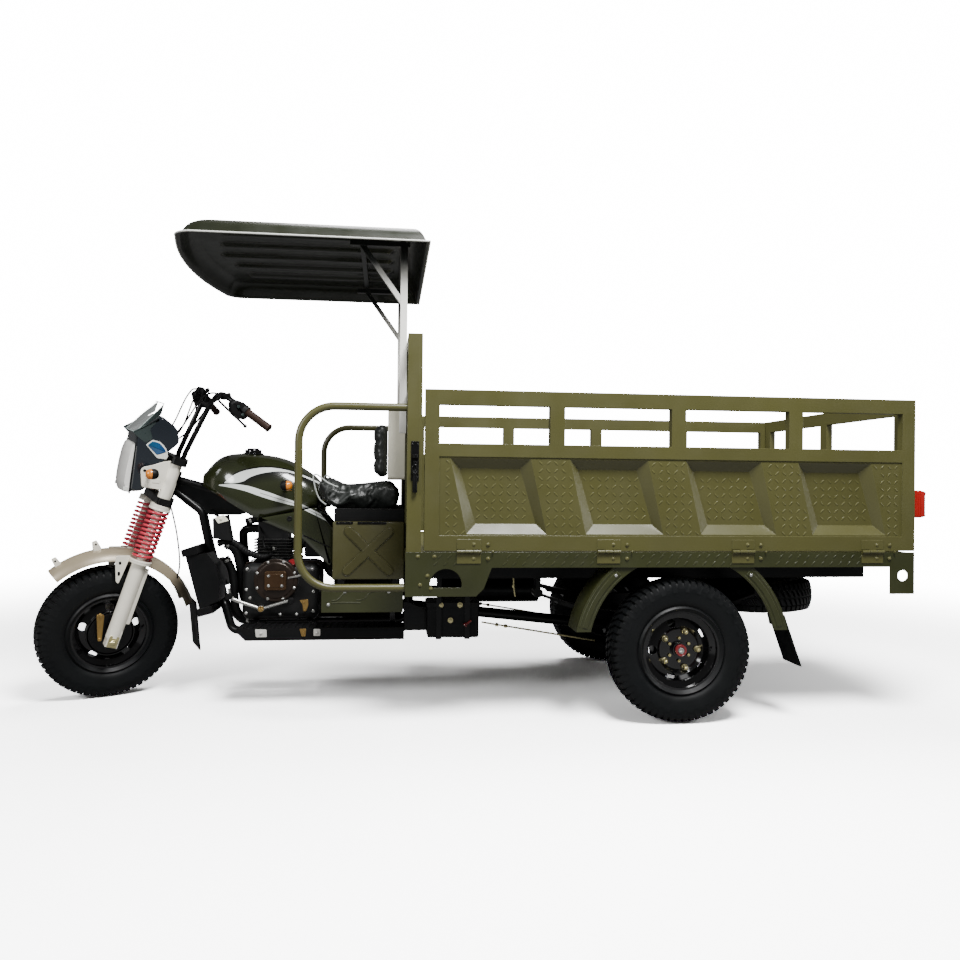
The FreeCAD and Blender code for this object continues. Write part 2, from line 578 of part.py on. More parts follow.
def tailgatePieces():
    half = "bedWide/2 - gateDeep - endGap"
    wide = ("-(%s)" % half, half)
    deep = ("bedLong - tailThick", "bedLong")
    top = "gateLow + gateHigh"
    pieces = [block("TailTop", deep, wide, (top + " - topRail", top)),
              block("TailMid", deep, wide, ("midRailPlace", "midRailPlace + midRail")),
              block("TailLow", deep, wide, ("gateLow", "gateLow + lowRail")),
              block("TailLeft", deep, ("-(%s)" % half, "stileWide - (%s)" % half), ("gateLow", top)),
              block("TailRight", deep, ("%s - stileWide" % half, half), ("gateLow", top)),
              block("TailPost", deep, ("-postWide/2", "postWide/2"), ("midRailPlace", top))]
    long = size.bedWide - 2 * size.gateDeep - 2 * size.endGap
    wideEach = (long - 2 * size.stileWide - 3 * size.pressEdge) / 2
    starts = [size.stileWide + size.pressEdge, long / 2 + size.pressEdge / 2]
    spans = [(start, start, wideEach) for start in starts]
    pressed = pressedSheet({"long": long, "pans": spans}, size.gateLow + size.lowRail,
                           size.midRailPlace, 0, 1)
    # The sheet is drawn like a side gate's and turned to face the rear
    pressed = pressed.translated(Vector(-long / 2, 0, 0))
    pressed.rotate(Vector(), Vector(0, 0, 1), 90)
    pressed.translate(Vector(size.bedLong - size.panelInset, 0, 0))
    hinges = []
    for place in tailHingeShares:
        hinge = hingeHalf(0, True)
        hinge.rotate(Vector(), Vector(0, 0, 1), 90)
        hinges.append(hinge.translated(Vector(size.bedLong, place * long / 2, size.gateLow)))
    return pieces + [formed("TailSheet", pressed)] + [formed("TailHinge", item) for item in hinges]


node("tailgate", fused("Tailgate", tailgatePieces()))


def tailLamp():
    start = size.bedLong
    out = size.lampOut
    housing = Part.makeBox(out, size.lampWide, size.lampHigh,
                           Vector(start, -size.lampPlace - size.lampWide / 2,
                                  size.lampMiddle - size.lampHigh / 2))
    return blended(housing, size.lampWide * 0.2, [edge for edge in housing.Edges
                                                  if edge.BoundBox.XMin > start + out / 2])


node("tail_lamps", formed("TailLamps", both(tailLamp())))


# Bed floor, skirts, fixed hinge leaves and latches

def floorPieces():
    web = "bedWide/2 - floorThick"
    across = ("-(%s)" % web, web)
    pieces = [block("FloorSheet", ("pillarBack", "bedLong - tailThick - endGap"), across,
                    ("floorTop - floorThick", "floorTop"))]
    for index in range(6):
        start = "%d*(bedLong - bearerWide - tailThick)/5" % index
        pieces.append(block("Bearer", (start, start + " + bearerWide"), across,
                            ("railTop", "floorTop - floorThick")))
    return pieces


node("cargo_floor", fused("CargoFloor", floorPieces()))


def skirtSide():
    outer, inner = "-bedWide/2", "-bedWide/2 + floorThick"
    web = block("SkirtWeb", ("cornerFront", "bedLong"), (outer, inner), ("skirtLow", "floorTop"))
    flange = block("SkirtFlange", ("pillarBack + runGap", "bedLong - tailThick"), (outer, outer + " + skirtFlange"),
                   ("skirtLow", "skirtLow + floorThick"))
    frontPlate = padded("FrontPlate", [("cornerFront", "cornerLow"),
                                       ("cornerBack - 2*cornerStep", "cornerLow"),
                                       ("cornerBack - cornerStep", "cornerLow + cornerStep"),
                                       ("cornerBack", "skirtLow"), ("cornerFront", "skirtLow")],
                        outer, inner)
    arch = rod("Arch", "y", "archRadius", "floorThick + 2*overrun",
               ("archPlace", "-bedWide/2 - overrun", "archLow + archHigh"))
    archFoot = block("ArchFoot", ("archPlace - archRadius - overrun", "archPlace + archRadius + overrun"),
                     ("-bedWide/2 - 2*overrun", inner + " + 2*overrun"),
                     ("archLow - archRadius", "archLow"))
    rearPlate = block("RearPlate", ("rearCorner", "bedLong"), (outer, inner),
                      ("cornerLow", "skirtLow"))
    oval = rod("Oval", "y", "ovalRadius", "floorThick + 2*overrun",
               ("ovalPlace", "-bedWide/2 - overrun", "ovalHigh"))
    frontCut = less("FrontCut", frontPlate, [less("ArchCut", arch, [archFoot])])
    rearCut = less("RearCut", rearPlate, [oval])
    return fused("SkirtSide", [web, flange, frontCut, rearCut])


node("side_skirts", pair("SideSkirts", skirtSide()))


def fixedHardware():
    left = gateHinges(False)
    pieces = left + [shape.mirror(Vector(), Vector(0, 1, 0)) for shape in left]
    long = size.bedWide - 2 * size.gateDeep - 2 * size.endGap
    for place in tailHingeShares:
        hinge = hingeHalf(0, False)
        hinge.rotate(Vector(), Vector(0, 0, 1), 90)
        pieces.append(hinge.translated(Vector(size.bedLong, place * long / 2, size.gateLow)))
    return Part.makeCompound(pieces)


node("hinge_leaves", formed("HingeLeaves", fixedHardware()))


def rearBeam():
    return block("RearBeam", ("bedLong - tailThick", "bedLong"),
                 ("-bedWide/2 + floorThick", "bedWide/2 - floorThick"),
                 ("skirtLow", "floorTop - floorThick"))


node("rear_beam", gathered("RearBeamPiece", [rearBeam()]))


# Headboard between the bed and the driver

def headboardPieces():
    side = "bedWide/2 - floorThick"
    inside = "bedWide/2 - floorThick - pillarDeep"
    deep = ("pillarFront", "pillarBack")
    pieces = []
    for name, start, end in (("PillarLeft", "-(%s)" % side, "-(%s)" % inside),
                             ("PillarRight", inside, side)):
        pieces.append(block(name, deep, (start, end), ("cornerLow", "pillarHigh")))
    across = ("-(%s)" % inside, inside)
    slim = ("pillarFront", "pillarFront + crossBar")
    for name, low, tall in (("HeadTop", "pillarHigh - crossBar", "crossBar"),
                            ("HeadRail", "gateLow + gateHigh - topRail", "topRail"),
                            ("HeadLow", "railTop", "floorTop - floorThick - railTop")):
        pieces.append(block(name, slim, across, (low, "%s + %s" % (low, tall))))
    pieces.append(block("HeadSheet", ("pillarFront + crossBar/2", "pillarFront + crossBar/2 + sheetThick"),
                        across, ("floorTop - floorThick", "gateLow + gateHigh - topRail")))
    for index in range(1, 5):
        place = "(%s)*(%d/2.5 - 1)" % (inside, index)
        pieces.append(block("HeadBar", slim, ("%s - postWide/4" % place, "%s + postWide/4" % place),
                            ("gateLow + gateHigh", "pillarHigh - crossBar")))
        pieces.append(block("HeadRib", slim, ("%s - postWide/4" % place, "%s + postWide/4" % place),
                            ("floorTop - floorThick", "gateLow + gateHigh - topRail")))
    return pieces


node("headboard", fused("Headboard", headboardPieces()))


def hoopPoints(side):
    away = side * size.hoopOut
    end = size.pillarFront
    return [Vector(end, away, size.hoopTop), Vector(size.hoopFront, away, size.hoopTop),
            Vector(size.hoopFront, away, size.hoopLow), Vector(end, away, size.hoopLow)]


node("guard_hoops", formed("GuardHoops", both(tube(hoopPoints(-1), size.hoopRadius, size.hoopBend))))


# Canopy: a thin tray with ridges inside, on two posts and two braces

def canopyLoop(inset, high):
    # Plan of the tray: straight rear and sides, round front corners, bowed front edge
    back, front = size.canopyBack - inset, size.canopyFront + inset
    half = size.canopyHalf - inset
    corner, bow = size.canopyCorner, size.canopyBow
    mid = math.sqrt(0.5)

    def at(x, y):
        return Vector(x, y, high)
    turn = front + bow + corner
    nearCorner = at(turn - corner * mid, -half + corner * (1 - mid))
    farCorner = at(turn - corner * mid, half - corner * (1 - mid))
    edges = [Part.LineSegment(at(back, half), at(back, -half)),
             Part.LineSegment(at(back, -half), at(turn, -half)),
             Part.Arc(at(turn, -half), nearCorner, at(front + bow, -half + corner)),
             Part.Arc(at(front + bow, -half + corner), at(front, 0), at(front + bow, half - corner)),
             Part.Arc(at(front + bow, half - corner), farCorner, at(turn, half)),
             Part.LineSegment(at(turn, half), at(back, half))]
    return Part.Wire([edge.toShape() for edge in edges])


ridgeShares = (-0.68, -0.34, 0, 0.34, 0.68)


def canopyShell():
    skin = size.canopySkin
    rim, top = size.canopyRim, size.canopyTop
    lift = skin + size.weldLap
    outer = Part.makeLoft([canopyLoop(0, rim), canopyLoop(size.canopyInset / 3, rim + (top - rim) * 0.62),
                           canopyLoop(size.canopyInset, top)], True, True)
    inner = Part.makeLoft([canopyLoop(skin, rim - size.overrun),
                           canopyLoop(skin + size.canopyInset / 3, rim + (top - rim) * 0.62 - skin),
                           canopyLoop(skin + size.canopyInset, top - skin)], True, True)
    lip = Part.Face(canopyLoop(-size.canopyLip, rim)).extrude(Vector(0, 0, skin))
    lip = lip.cut(Part.Face(canopyLoop(skin / 2, rim - size.overrun)).extrude(
        Vector(0, 0, 2 * size.overrun + skin)))
    tray = outer.cut(inner).fuse(lip)
    ridges = []
    for share in ridgeShares:
        start = size.canopyFront + size.canopyInset + size.canopyBow * (1 + abs(share))
        ridge = Part.makeBox(size.canopyBack - 2 * size.canopyInset - start, size.ridgeWide,
                             size.ridgeHigh + lift,
                             Vector(start, share * (size.canopyHalf - size.canopyInset) - size.ridgeWide / 2,
                                    top - skin - size.ridgeHigh))
        ridges.append(ridge.common(outer))
    return tray.fuse(ridges)


node("canopy_shell", formed("CanopyShell", canopyShell()))


def canopyFramePieces():
    half = size.canopyPost / 2
    under = size.canopyTop - size.canopySkin - size.ridgeHigh
    shapes = []
    for side in (-1, 1):
        away = side * size.postHalf
        post = Part.makeBox(2 * half, 2 * half, under - 2 * size.braceSize - size.postLow,
                            Vector(size.pillarFront - 2 * half, away - half, size.postLow))
        runner = Part.makeBox(size.canopyBack - size.canopyInset - size.runnerFront, 2 * half, size.braceSize,
                              Vector(size.runnerFront, away - half, under - 2 * size.braceSize))
        brace = bar(Vector(size.pillarFront - half, away, size.braceLow),
                    Vector(size.braceReach, away, under - size.braceSize), size.braceSize, size.braceSize)
        shapes += [post, runner, brace]
    for place in (size.braceReach, size.pillarFront - 2 * half):
        shapes.append(Part.makeBox(size.braceSize, 2 * (size.postHalf + half), size.braceSize,
                                   Vector(place, -size.postHalf - half, under - size.braceSize)))
    return shapes[0].fuse(shapes[1:]).removeSplitter()


node("canopy_frame", formed("CanopyFrame", canopyFramePieces()))


# Chassis: bed rails, cradle tubes, backbone and head tube

def alongSteer(reach):
    return steerFootPoint + steerAxis * reach


def bedFramePieces():
    pieces = []
    for name, side in (("RailLeft", "-railHalf"), ("RailRight", "railHalf")):
        pieces.append(block(name, ("railFront", "railBack"), (side + " - railWide/2", side + " + railWide/2"),
                            ("railLow", "railTop")))
    for place in ("railFront", "rearAxlePlace - guardInner", "sparePlace - railWide/2",
                  "railBack - railWide"):
        pieces.append(block("CrossMember", (place, place + " + railWide"), ("-railHalf", "railHalf"),
                            ("railLow", "railTop - overrun")))
    return pieces


node("bed_frame", fused("BedFrame", bedFramePieces()))


def frontFrameShape():
    # Head tube, backbone, down tubes that spread into a cradle, and the bars that carry the rest
    wide, beam = size.railWide, size.beamDeep
    beamLow = size.railLow - beam
    head = Part.makeCylinder(size.headTubeRadius, size.headTop - size.headLow, alongSteer(size.headLow),
                             steerAxis)
    bore = Part.makeCylinder(size.stemRadius + size.seatGap, size.headTop, alongSteer(size.headLow / 2),
                             steerAxis)
    pieces = [tube(spinePoints(), size.spineRadius, wide),
              Part.makeBox(wide, 2 * size.railHalf + wide, beam,
                           Vector(size.railFront, -size.railHalf - wide / 2, beamLow))]
    for side in (-1, 1):
        near = side * size.downRadius * 0.6
        out = side * size.cradleHalf
        down = [alongSteer(size.headLow + size.headTubeRadius * 1.4),
                Vector(size.downPlace - size.downRadius * 1.5, near, size.downHigh + 3 * wide),
                Vector(size.downPlace, near, size.downHigh),
                Vector(downX(size.radiatorFoot), near, size.radiatorFoot),
                Vector(size.cradleFront, out, size.cradleLow),
                Vector(size.railFront + wide / 2, out, size.cradleLow),
                Vector(size.railFront + wide / 2, out, beamLow)]
        pieces.append(tube(down, size.downRadius * 0.8, wide))
    for place in (size.crankFront + wide, size.crankBack - wide, size.stepBack - wide):
        pieces.append(Part.makeBox(beam / 2, 2 * size.boardIn, size.crankLow - size.cradleLow,
                                   Vector(place, -size.boardIn, size.cradleLow)))
    for place in (size.boxFront + beam / 2, size.boxBack - beam):
        pieces.append(Part.makeBox(beam / 2, 2 * size.boxHalf, beam / 2,
                                   Vector(place, -size.boxHalf, size.boxLow - beam / 2)))
    pieces.append(Part.makeBox(size.boxBack - size.boxFront, wide, beam / 2,
                               Vector(size.boxFront, -wide / 2, size.boxLow - beam / 2)))
    rest = Part.makeCylinder(size.stalkRadius, 2 * (size.coverOut - size.seatGap),
                             Vector(size.spineBack, -size.coverOut + size.seatGap,
                                    (size.boxLow + size.boxTop) / 2), Vector(0, 1, 0))
    return head.fuse(pieces + [rest, gusset()]).cut(bore)


def gusset():
    # The deep web that ties the head tube to the backbone and the down tubes
    top, foot = alongSteer(size.headTop - size.headTubeRadius), alongSteer(size.headLow + size.headTubeRadius)
    points = [(top.x, top.z), (size.spineFront, size.spineHigh), (size.gussetBack, size.gussetLow),
              (size.downPlace, size.gussetLow), (foot.x, foot.z)]
    return prism(points, -size.gussetHalf, size.gussetHalf)


def downX(height):
    # The down tubes lean parallel to the radiator behind which they run
    return size.downPlace + (size.downHigh - height) * math.tan(math.radians(size.radiatorLean))


def spinePoints():
    low = size.railLow - size.beamDeep / 2
    return [alongSteer(size.headTop - size.headTubeRadius * 1.4),
            Vector(size.spineFront, 0, size.spineHigh), Vector(size.spineBack, 0, size.spineDrop),
            Vector(size.spineBack, 0, low), Vector(size.railFront, 0, low)]


node("front_frame", formed("FrontFrame", frontFrameShape()))


# Seat, box, backrest, steps

def crossEmboss(side):
    low, high = size.boxLow + size.crossWide, size.boxTop - size.crossWide
    front, back = size.boxFront + size.crossWide, size.boxBack - size.crossWide
    away = side * (size.boxHalf + size.crossDeep / 2)
    arms = [bar(Vector(front, away, low), Vector(back, away, high), size.crossDeep, size.crossWide),
            bar(Vector(front, away, high), Vector(back, away, low), size.crossDeep, size.crossWide)]
    return arms


def seatBoxShape():
    wall = size.boxWall
    outer = Part.makeBox(size.boxBack - size.boxFront, 2 * size.boxHalf, size.boxTop - size.boxLow,
                         Vector(size.boxFront, -size.boxHalf, size.boxLow))
    inner = Part.makeBox(size.boxBack - size.boxFront - 2 * wall, 2 * (size.boxHalf - wall),
                         size.boxTop - size.boxLow, Vector(size.boxFront + wall, wall - size.boxHalf,
                                                           size.boxLow + wall))
    box = outer.cut(inner)
    for side in (-1, 1):
        for arm in crossEmboss(side):
            box = box.fuse(arm)
    return box


node("seat_box", formed("SeatBox", seatBoxShape()))


seatShares = ((-0.98, 0), (0, 0), (0, 0.72), (-0.29, 0.72), (-0.67, 0.62), (-0.93, 0.59),
                   (-1.11, 0.74), (-1.26, 1), (-1.31, 0.93), (-1.21, 0.24), (-1.06, 0.03))


def cushionShape():
    long = size.boxBack - size.boxFront
    points = [(size.boxBack + x * long, size.seatBaseTop + size.seatGap + z * size.seatTall)
              for x, z in seatShares]
    return prism(points, -size.seatHalf, size.seatHalf, size.hoopRadius)


node("seat_cushion", formed("SeatCushion", cushionShape()))
node("seat_base", gathered("SeatBase", [block("SeatBasePan", ("boxFront + boxWall", "boxBack"),
                                           ("-boxHalf + 2*crossWide", "boxHalf - 2*crossWide"),
                                           ("boxTop", "seatBaseTop"))]))


def backPadShape():
    return blended(Part.makeBox(size.backMiddle - size.backFront, 2 * size.backHalf,
                                size.backTop - size.backLow,
                                Vector(size.backFront, -size.backHalf, size.backLow)), size.hoopRadius)


node("back_cushion", formed("BackCushion", backPadShape()))


def backrestShape():
    start = size.backMiddle + size.seatGap
    panel = Part.makeBox(size.shellBack - start, 2 * size.shellHalf, size.shellTop - size.backLow,
                         Vector(start, -size.shellHalf, size.backLow))
    panel = blended(panel, size.hoopRadius, [edge for edge in panel.Edges
                                             if edge.BoundBox.XLength > size.hoopRadius])
    return panel


node("backrest", formed("Backrest", backrestShape()))


def stepShape():
    lip = size.boxWall * 2
    side = Part.makeBox(size.stepBack - size.stepFront, lip, size.stepTop - size.stepLow,
                        Vector(size.stepFront, -size.boxHalf, size.stepLow))
    tread = Part.makeBox(size.stepBack - size.stepFront, size.stepWide, lip,
                         Vector(size.stepFront, -size.boxHalf, size.stepTop - lip))
    straps = [Part.makeBox(lip * 4, lip, size.boxLow - size.beamDeep / 2 - size.stepTop + lip,
                           Vector(place, lip - size.boxHalf, size.stepTop - lip))
              for place in (size.boxFront + size.beamDeep / 2, size.boxBack - size.beamDeep)]
    return both(side.fuse([tread] + straps))


node("step_plates", formed("StepPlates", stepShape()))


# Tank and side covers

tankShares = ((0, 0.13, 0.16, 0.30), (0.09, 0.42, 0.22, 0.62), (0.22, 0.88, 0.34, 0.9),
              (0.38, 1, 0.52, 1), (0.62, 0.92, 0.72, 0.98), (0.82, 0.75, 0.84, 0.88),
              (1, 0.48, 0.92, 0.7))


def tankShape():
    long = size.tankBack - size.tankFront
    base = size.tankBase
    tall = size.tankTop - base
    loops = []
    for place, top, drop, wide in tankShares:
        x = size.tankFront + place * long
        high, half = base + tall * (0.45 + 0.55 * top), wide * size.tankHalf
        low = base + tall * (1 - drop) * 0.5
        middle, reach = (high + low) / 2, (high - low) / 2
        ring = []
        for index in range(12):
            angle = math.radians(30 * index)
            c, s = math.cos(angle), math.sin(angle)
            y = math.copysign(abs(c) ** 0.7, c) * half
            z = math.copysign(abs(s) ** 0.8, s) * reach
            ring.append(Vector(x, y, middle + z))
        curve = Part.BSplineCurve()
        curve.interpolate(Points=ring, PeriodicFlag=True)
        loops.append(Part.Wire(curve.toShape()))
    tank = Part.makeLoft(loops, True, False)
    # A tunnel along the belly lets the tank sit on the backbone
    spine = spinePoints()
    roof = size.spineRadius * 1.08 + size.seatGap
    points = [(spine[0].x, spine[0].z + roof), (spine[1].x, spine[1].z + roof),
              (spine[2].x, spine[2].z + roof), (spine[2].x, 0), (spine[0].x, 0)]
    side = size.spineRadius + size.runGap
    feet = Part.makeCylinder(2 * size.stalkRadius, 2 * size.stalkFoot,
                             Vector(size.stalkPlace, -size.stalkFoot, size.stalkHigh), Vector(0, 1, 0))
    return tank.fuse(feet).cut(prism(points, -side, side))


node("fuel_tank", formed("FuelTank", tankShape()))


coverShares = ((-2.20, 1), (-1.06, 0.68), (-1.04, 0.35), (-1.1, 0), (-1.6, 0.55))


def sideCovers():
    long = size.boxBack - size.boxFront
    tall = size.boxTop - size.stepTop
    points = [(size.boxBack + x * long, size.stepTop + z * tall) for x, z in coverShares]
    return both(prism(points, -size.coverOut - size.coverThick, -size.coverOut, size.coverThick))


node("side_covers", formed("SideCovers", sideCovers()))


# Engine, radiator and exhaust

def engineShape():
    case = Part.makeBox(size.crankBack - size.crankFront, 2 * size.crankHalf, size.crankTop - size.crankLow,
                        Vector(size.crankFront, -size.crankHalf, size.crankLow))
    case = blended(case, size.coverDeep)
    half = size.barrelHalf
    barrel = Part.makeBox(2 * half, 2 * half, size.barrelTop + size.headTall - size.crankTop
                          + size.coverDeep,
                          Vector(size.barrelPlace - half, -half, size.crankTop - size.coverDeep))
    fins = []
    count = int((size.barrelTop - size.crankTop) / size.finPitch)
    for index in range(count):
        out = half + size.finOut
        fins.append(Part.makeBox(2 * out, 2 * out, size.finThick,
                                 Vector(size.barrelPlace - out, -out,
                                        size.crankTop + size.finPitch * (index + 0.5))))
    clutch = Part.makeCylinder(size.coverRadius, size.coverDeep,
                               Vector(size.coverPlace, -size.crankHalf, size.coverHigh), Vector(0, -1, 0))
    return case.fuse([barrel, clutch] + fins)


node("engine_block", formed("EngineBlock", engineShape()))


def bronzeCover():
    start = size.crankHalf + size.coverDeep
    plate = Part.makeBox(2 * size.bronzeHalf, size.coverDeep / 2, 2 * size.bronzeTall,
                         Vector(size.coverPlace - size.bronzeHalf, -start - size.coverDeep / 2,
                                size.coverHigh - size.bronzeTall))
    return blended(plate, size.nutRadius, [edge for edge in plate.Edges
                                           if edge.BoundBox.YLength > size.coverDeep / 3])


node("engine_cover", formed("EngineCover", bronzeCover()))


shroudShares = ((-0.3, 0.08), (-0.3, 0.93), (0.55, 0.90), (0.92, 0.70), (0.92, 0.42), (0.5, 0.10))


def radiatorShape():
    # Drawn upright with its rear face at x = 0, then leaned back against the down tubes
    half, deep, tall = size.radiatorHalf, size.radiatorDeep, size.radiatorTall
    core = Part.makeBox(deep * 0.7, 2 * half * 0.94, tall, Vector(-deep * 0.85, -half * 0.94, 0))
    tanks = [Part.makeBox(deep, 2 * half, tall * 0.12, Vector(-deep, -half, place))
             for place in (-tall * 0.06, tall * 0.94)]
    fan = Part.makeCylinder(half * 0.36, deep * 0.8, Vector(-deep * 0.2, half * 0.56, tall / 2),
                            Vector(1, 0, 0))
    shroud = prism([(deep * x, tall * z) for x, z in shroudShares], -half * 0.94, -half * 0.24)
    pad = Part.makeBox(deep * 0.15, half / 2, tall, Vector(-deep * 0.15, -half / 4, 0))
    shape = core.fuse(tanks + [fan, shroud, pad])
    shape.rotate(Vector(), Vector(0, 1, 0), -size.radiatorLean)
    back = (size.downRadius * 0.8 + size.seatGap) / math.cos(math.radians(size.radiatorLean))
    low = size.radiatorFoot
    return shape.translated(Vector(downX(low) - back, 0, low))


node("radiator", formed("Radiator", radiatorShape()))


def fittingShapes():
    # Hose to the barrel, carburettor and air box behind it, and a reservoir on a bracket
    half, pipe = size.barrelHalf, size.hoseRadius
    hose = tube([Vector(*point) for point in hoseRoute], pipe, 3 * pipe)
    back, middle = size.barrelPlace + half, size.barrelTop - size.carbDrop
    mouth = Part.makeCylinder(size.carbRadius, size.airBoxFront - back + size.weldLap,
                              Vector(back, 0, middle), Vector(1, 0, 0))
    bowl = Part.makeCylinder(size.carbRadius * 0.9, 2 * size.carbRadius,
                             Vector((back + size.airBoxFront) / 2, 0, middle), Vector(0, 0, -1))
    airBox = blended(Part.makeBox(size.airBoxLong, 2 * size.airBoxHalf, size.airBoxTall,
                                  Vector(size.airBoxFront, -size.airBoxHalf, middle - size.airBoxTall / 2)),
                     size.carbRadius / 2)
    bottle = prism(reservoirRoute, -size.reservoirOut, -size.reservoirIn)
    arm = bar(Vector(size.downPlace, 0, size.gussetLow + size.beamDeep / 2),
              Vector(size.reservoirMiddle, -size.reservoirIn - size.weldLap, size.gussetLow - size.beamDeep / 2),
              size.spineRadius, size.seatBar)
    shapes = []
    for shape in (hose, mouth.fuse([bowl, airBox]), bottle.fuse(arm)):
        for tool in (engineShape(), radiatorShape(), frontFrameShape()):
            shape = shape.cut(tool)
        shapes.append(max(shape.Solids, key=lambda solid: solid.Volume))
    return Part.makeCompound(shapes)


# Points that the hose and the reservoir's outline pass through, set by hand
hoseRoute = [(-868, -112, 676), (-812, -112, 690), (-741, -112, 636), (-680, -100, 612), (-640, -60, 628)]
reservoirRoute = [(-880, 700), (-883, 786), (-825, 800), (-817, 762), (-803, 690)]
node("engine_fittings", formed("EngineFittings", fittingShapes()))


def exhaustShape():
    start = Vector(size.barrelPlace - size.barrelHalf, 0, size.barrelTop + size.headTall / 2)
    away = size.silencerHalf
    points = [start, start - Vector(4 * size.pipeRadius, 0, 0),
              Vector(start.x - 4 * size.pipeRadius, away * 0.8, size.crankLow + size.pipeRadius),
              Vector(size.crankBack, away, size.crankLow + size.pipeRadius),
              Vector(size.silencerPlace - 4 * size.pipeRadius, away, size.silencerHigh),
              Vector(size.silencerPlace + size.pipeRadius, away, size.silencerHigh)]
    pipe = tube(points, size.pipeRadius, 3 * size.pipeRadius)
    silencer = Part.makeCylinder(size.silencerRadius, size.silencerLong,
                                 Vector(size.silencerPlace, away, size.silencerHigh), Vector(1, 0, 0))
    return pipe.fuse(silencer)


node("exhaust", formed("Exhaust", exhaustShape()))


# Foot boards and levers

def footBoard():
    points = [(size.boardFront, size.boardLow + size.boardNose), (size.boardFront + size.boardNose, size.boardLow),
              (size.boardBack, size.boardLow), (size.boardBack, size.boardTop),
              (size.boardFront, size.boardTop)]
    return both(prism(points, -size.boardOut, -size.boardIn))


node("foot_boards", formed("FootBoards", footBoard()))


leverShares = ((-1.06, 0.16), (-0.55, 0), (0, 0.15))


def footLever():
    away = -size.boardIn - size.pegRadius * 2
    span = size.crankBack - size.crankFront
    points = [Vector(size.crankFront + (x + 1.0) * span * 0.68, away,
                     size.boardTop + size.pegRadius * 5 + z * span) for x, z in leverShares]
    lever = tube(points, size.stalkRadius, size.pegRadius)
    shaft = Part.makeCylinder(size.stalkRadius, -away - size.crankHalf,
                              Vector(points[1].x, away, points[1].z), Vector(0, 1, 0))
    return both(lever.fuse(shaft))


node("foot_levers", formed("FootLevers", footLever()))


# Rear axle, leaf springs, shaft, mudguards and flaps

def axleShape():
    middle = Vector(size.rearAxlePlace, 0, size.wheelRadius)
    inner = size.wheelTrack / 2 - size.drumDeep / 2 - size.runGap
    beam = Part.makeCylinder(size.axleTube, 2 * inner, middle - Vector(0, inner, 0), Vector(0, 1, 0))
    ball = Part.makeSphere(size.differential, middle)
    nose = Part.makeCone(size.axleTube * 1.3, size.axleTube, size.differential * 0.6,
                         middle - Vector(size.differential * 0.8, 0, 0), Vector(-1, 0, 0))
    spindles = [Part.makeCylinder(size.axleRadius, size.drumDeep, Vector(middle.x, side * inner, middle.z),
                                  Vector(0, side, 0)) for side in (-1, 1)]
    backs = [Part.makeCylinder(size.drumRadius * 0.96, size.rimWall * 2,
                               Vector(middle.x, side * inner, middle.z), Vector(0, -side, 0))
             for side in (-1, 1)]
    return beam.fuse([ball, nose] + spindles + backs)


node("rear_axle", formed("RearAxle", axleShape()))


def leafPack(side):
    # The whole pack is one stepped profile under a shallow bow
    away = side * size.railHalf
    middle = (size.leafFront + size.leafBack) / 2
    half = (size.leafBack - size.leafFront) / 2
    count = int(size.leafCount)
    seat = size.wheelRadius + size.axleTube + size.seatGap + size.saddleHigh
    main = seat + size.leafPile * count
    rise = size.leafEye - main

    def onBow(share, depth):
        return middle + share * half, main + rise * share * share - size.leafPile * depth
    profile = [onBow(index / 8 - 1, 0) for index in range(17)]
    ends = [1 - 0.17 * index for index in range(count)]
    for index, end in enumerate(ends):
        inner = ends[index + 1] if index + 1 < count else 0
        profile += [onBow(end, index + 1), onBow((end + inner) / 2, index + 1), onBow(inner, index + 1)]
    for index, end in reversed(list(enumerate(ends))):
        inner = ends[index + 1] if index + 1 < count else 0
        if inner:
            profile.append(onBow(-inner, index + 1))
        profile += [onBow(-(end + inner) / 2, index + 1), onBow(-end, index + 1)]
    leaves = [prism(profile, away - size.leafWide / 2, away + size.leafWide / 2)]
    for place in (size.leafFront, size.leafBack):
        leaves.append(Part.makeCylinder(size.eyeRadius, size.leafWide,
                                        Vector(place, away - size.leafWide / 2, size.leafEye),
                                        Vector(0, 1, 0)))
        hanger = Part.makeBox(size.eyeRadius, size.leafWide, size.railLow - size.leafEye,
                              Vector(place - size.eyeRadius / 2, away - size.leafWide / 2, size.leafEye))
        leaves.append(hanger)
    saddle = Part.makeBox(size.axleTube * 2, size.leafWide, size.saddleHigh + size.weldLap,
                          Vector(size.rearAxlePlace - size.axleTube, away - size.leafWide / 2,
                                 seat - size.saddleHigh))
    return leaves[0].fuse(leaves[1:] + [saddle])


node("leaf_springs", formed("LeafSprings", Part.makeCompound([leafPack(-1), leafPack(1)])))


def shaftShape():
    start = Vector(size.crankBack, 0, size.shaftHigh)
    end = Vector(size.rearAxlePlace - size.differential * 1.4, 0, size.wheelRadius)
    # The flat ends lean with the shaft, so each stops short by that much
    lean = size.shaftRadius * (start.z - end.z) / (end.x - start.x) + size.seatGap
    along = (end - start).normalize() * lean
    return Part.makeCylinder(size.shaftRadius, (end - start - along * 2).Length, start + along, end - start)


node("drive_shaft", formed("DriveShaft", shaftShape()))


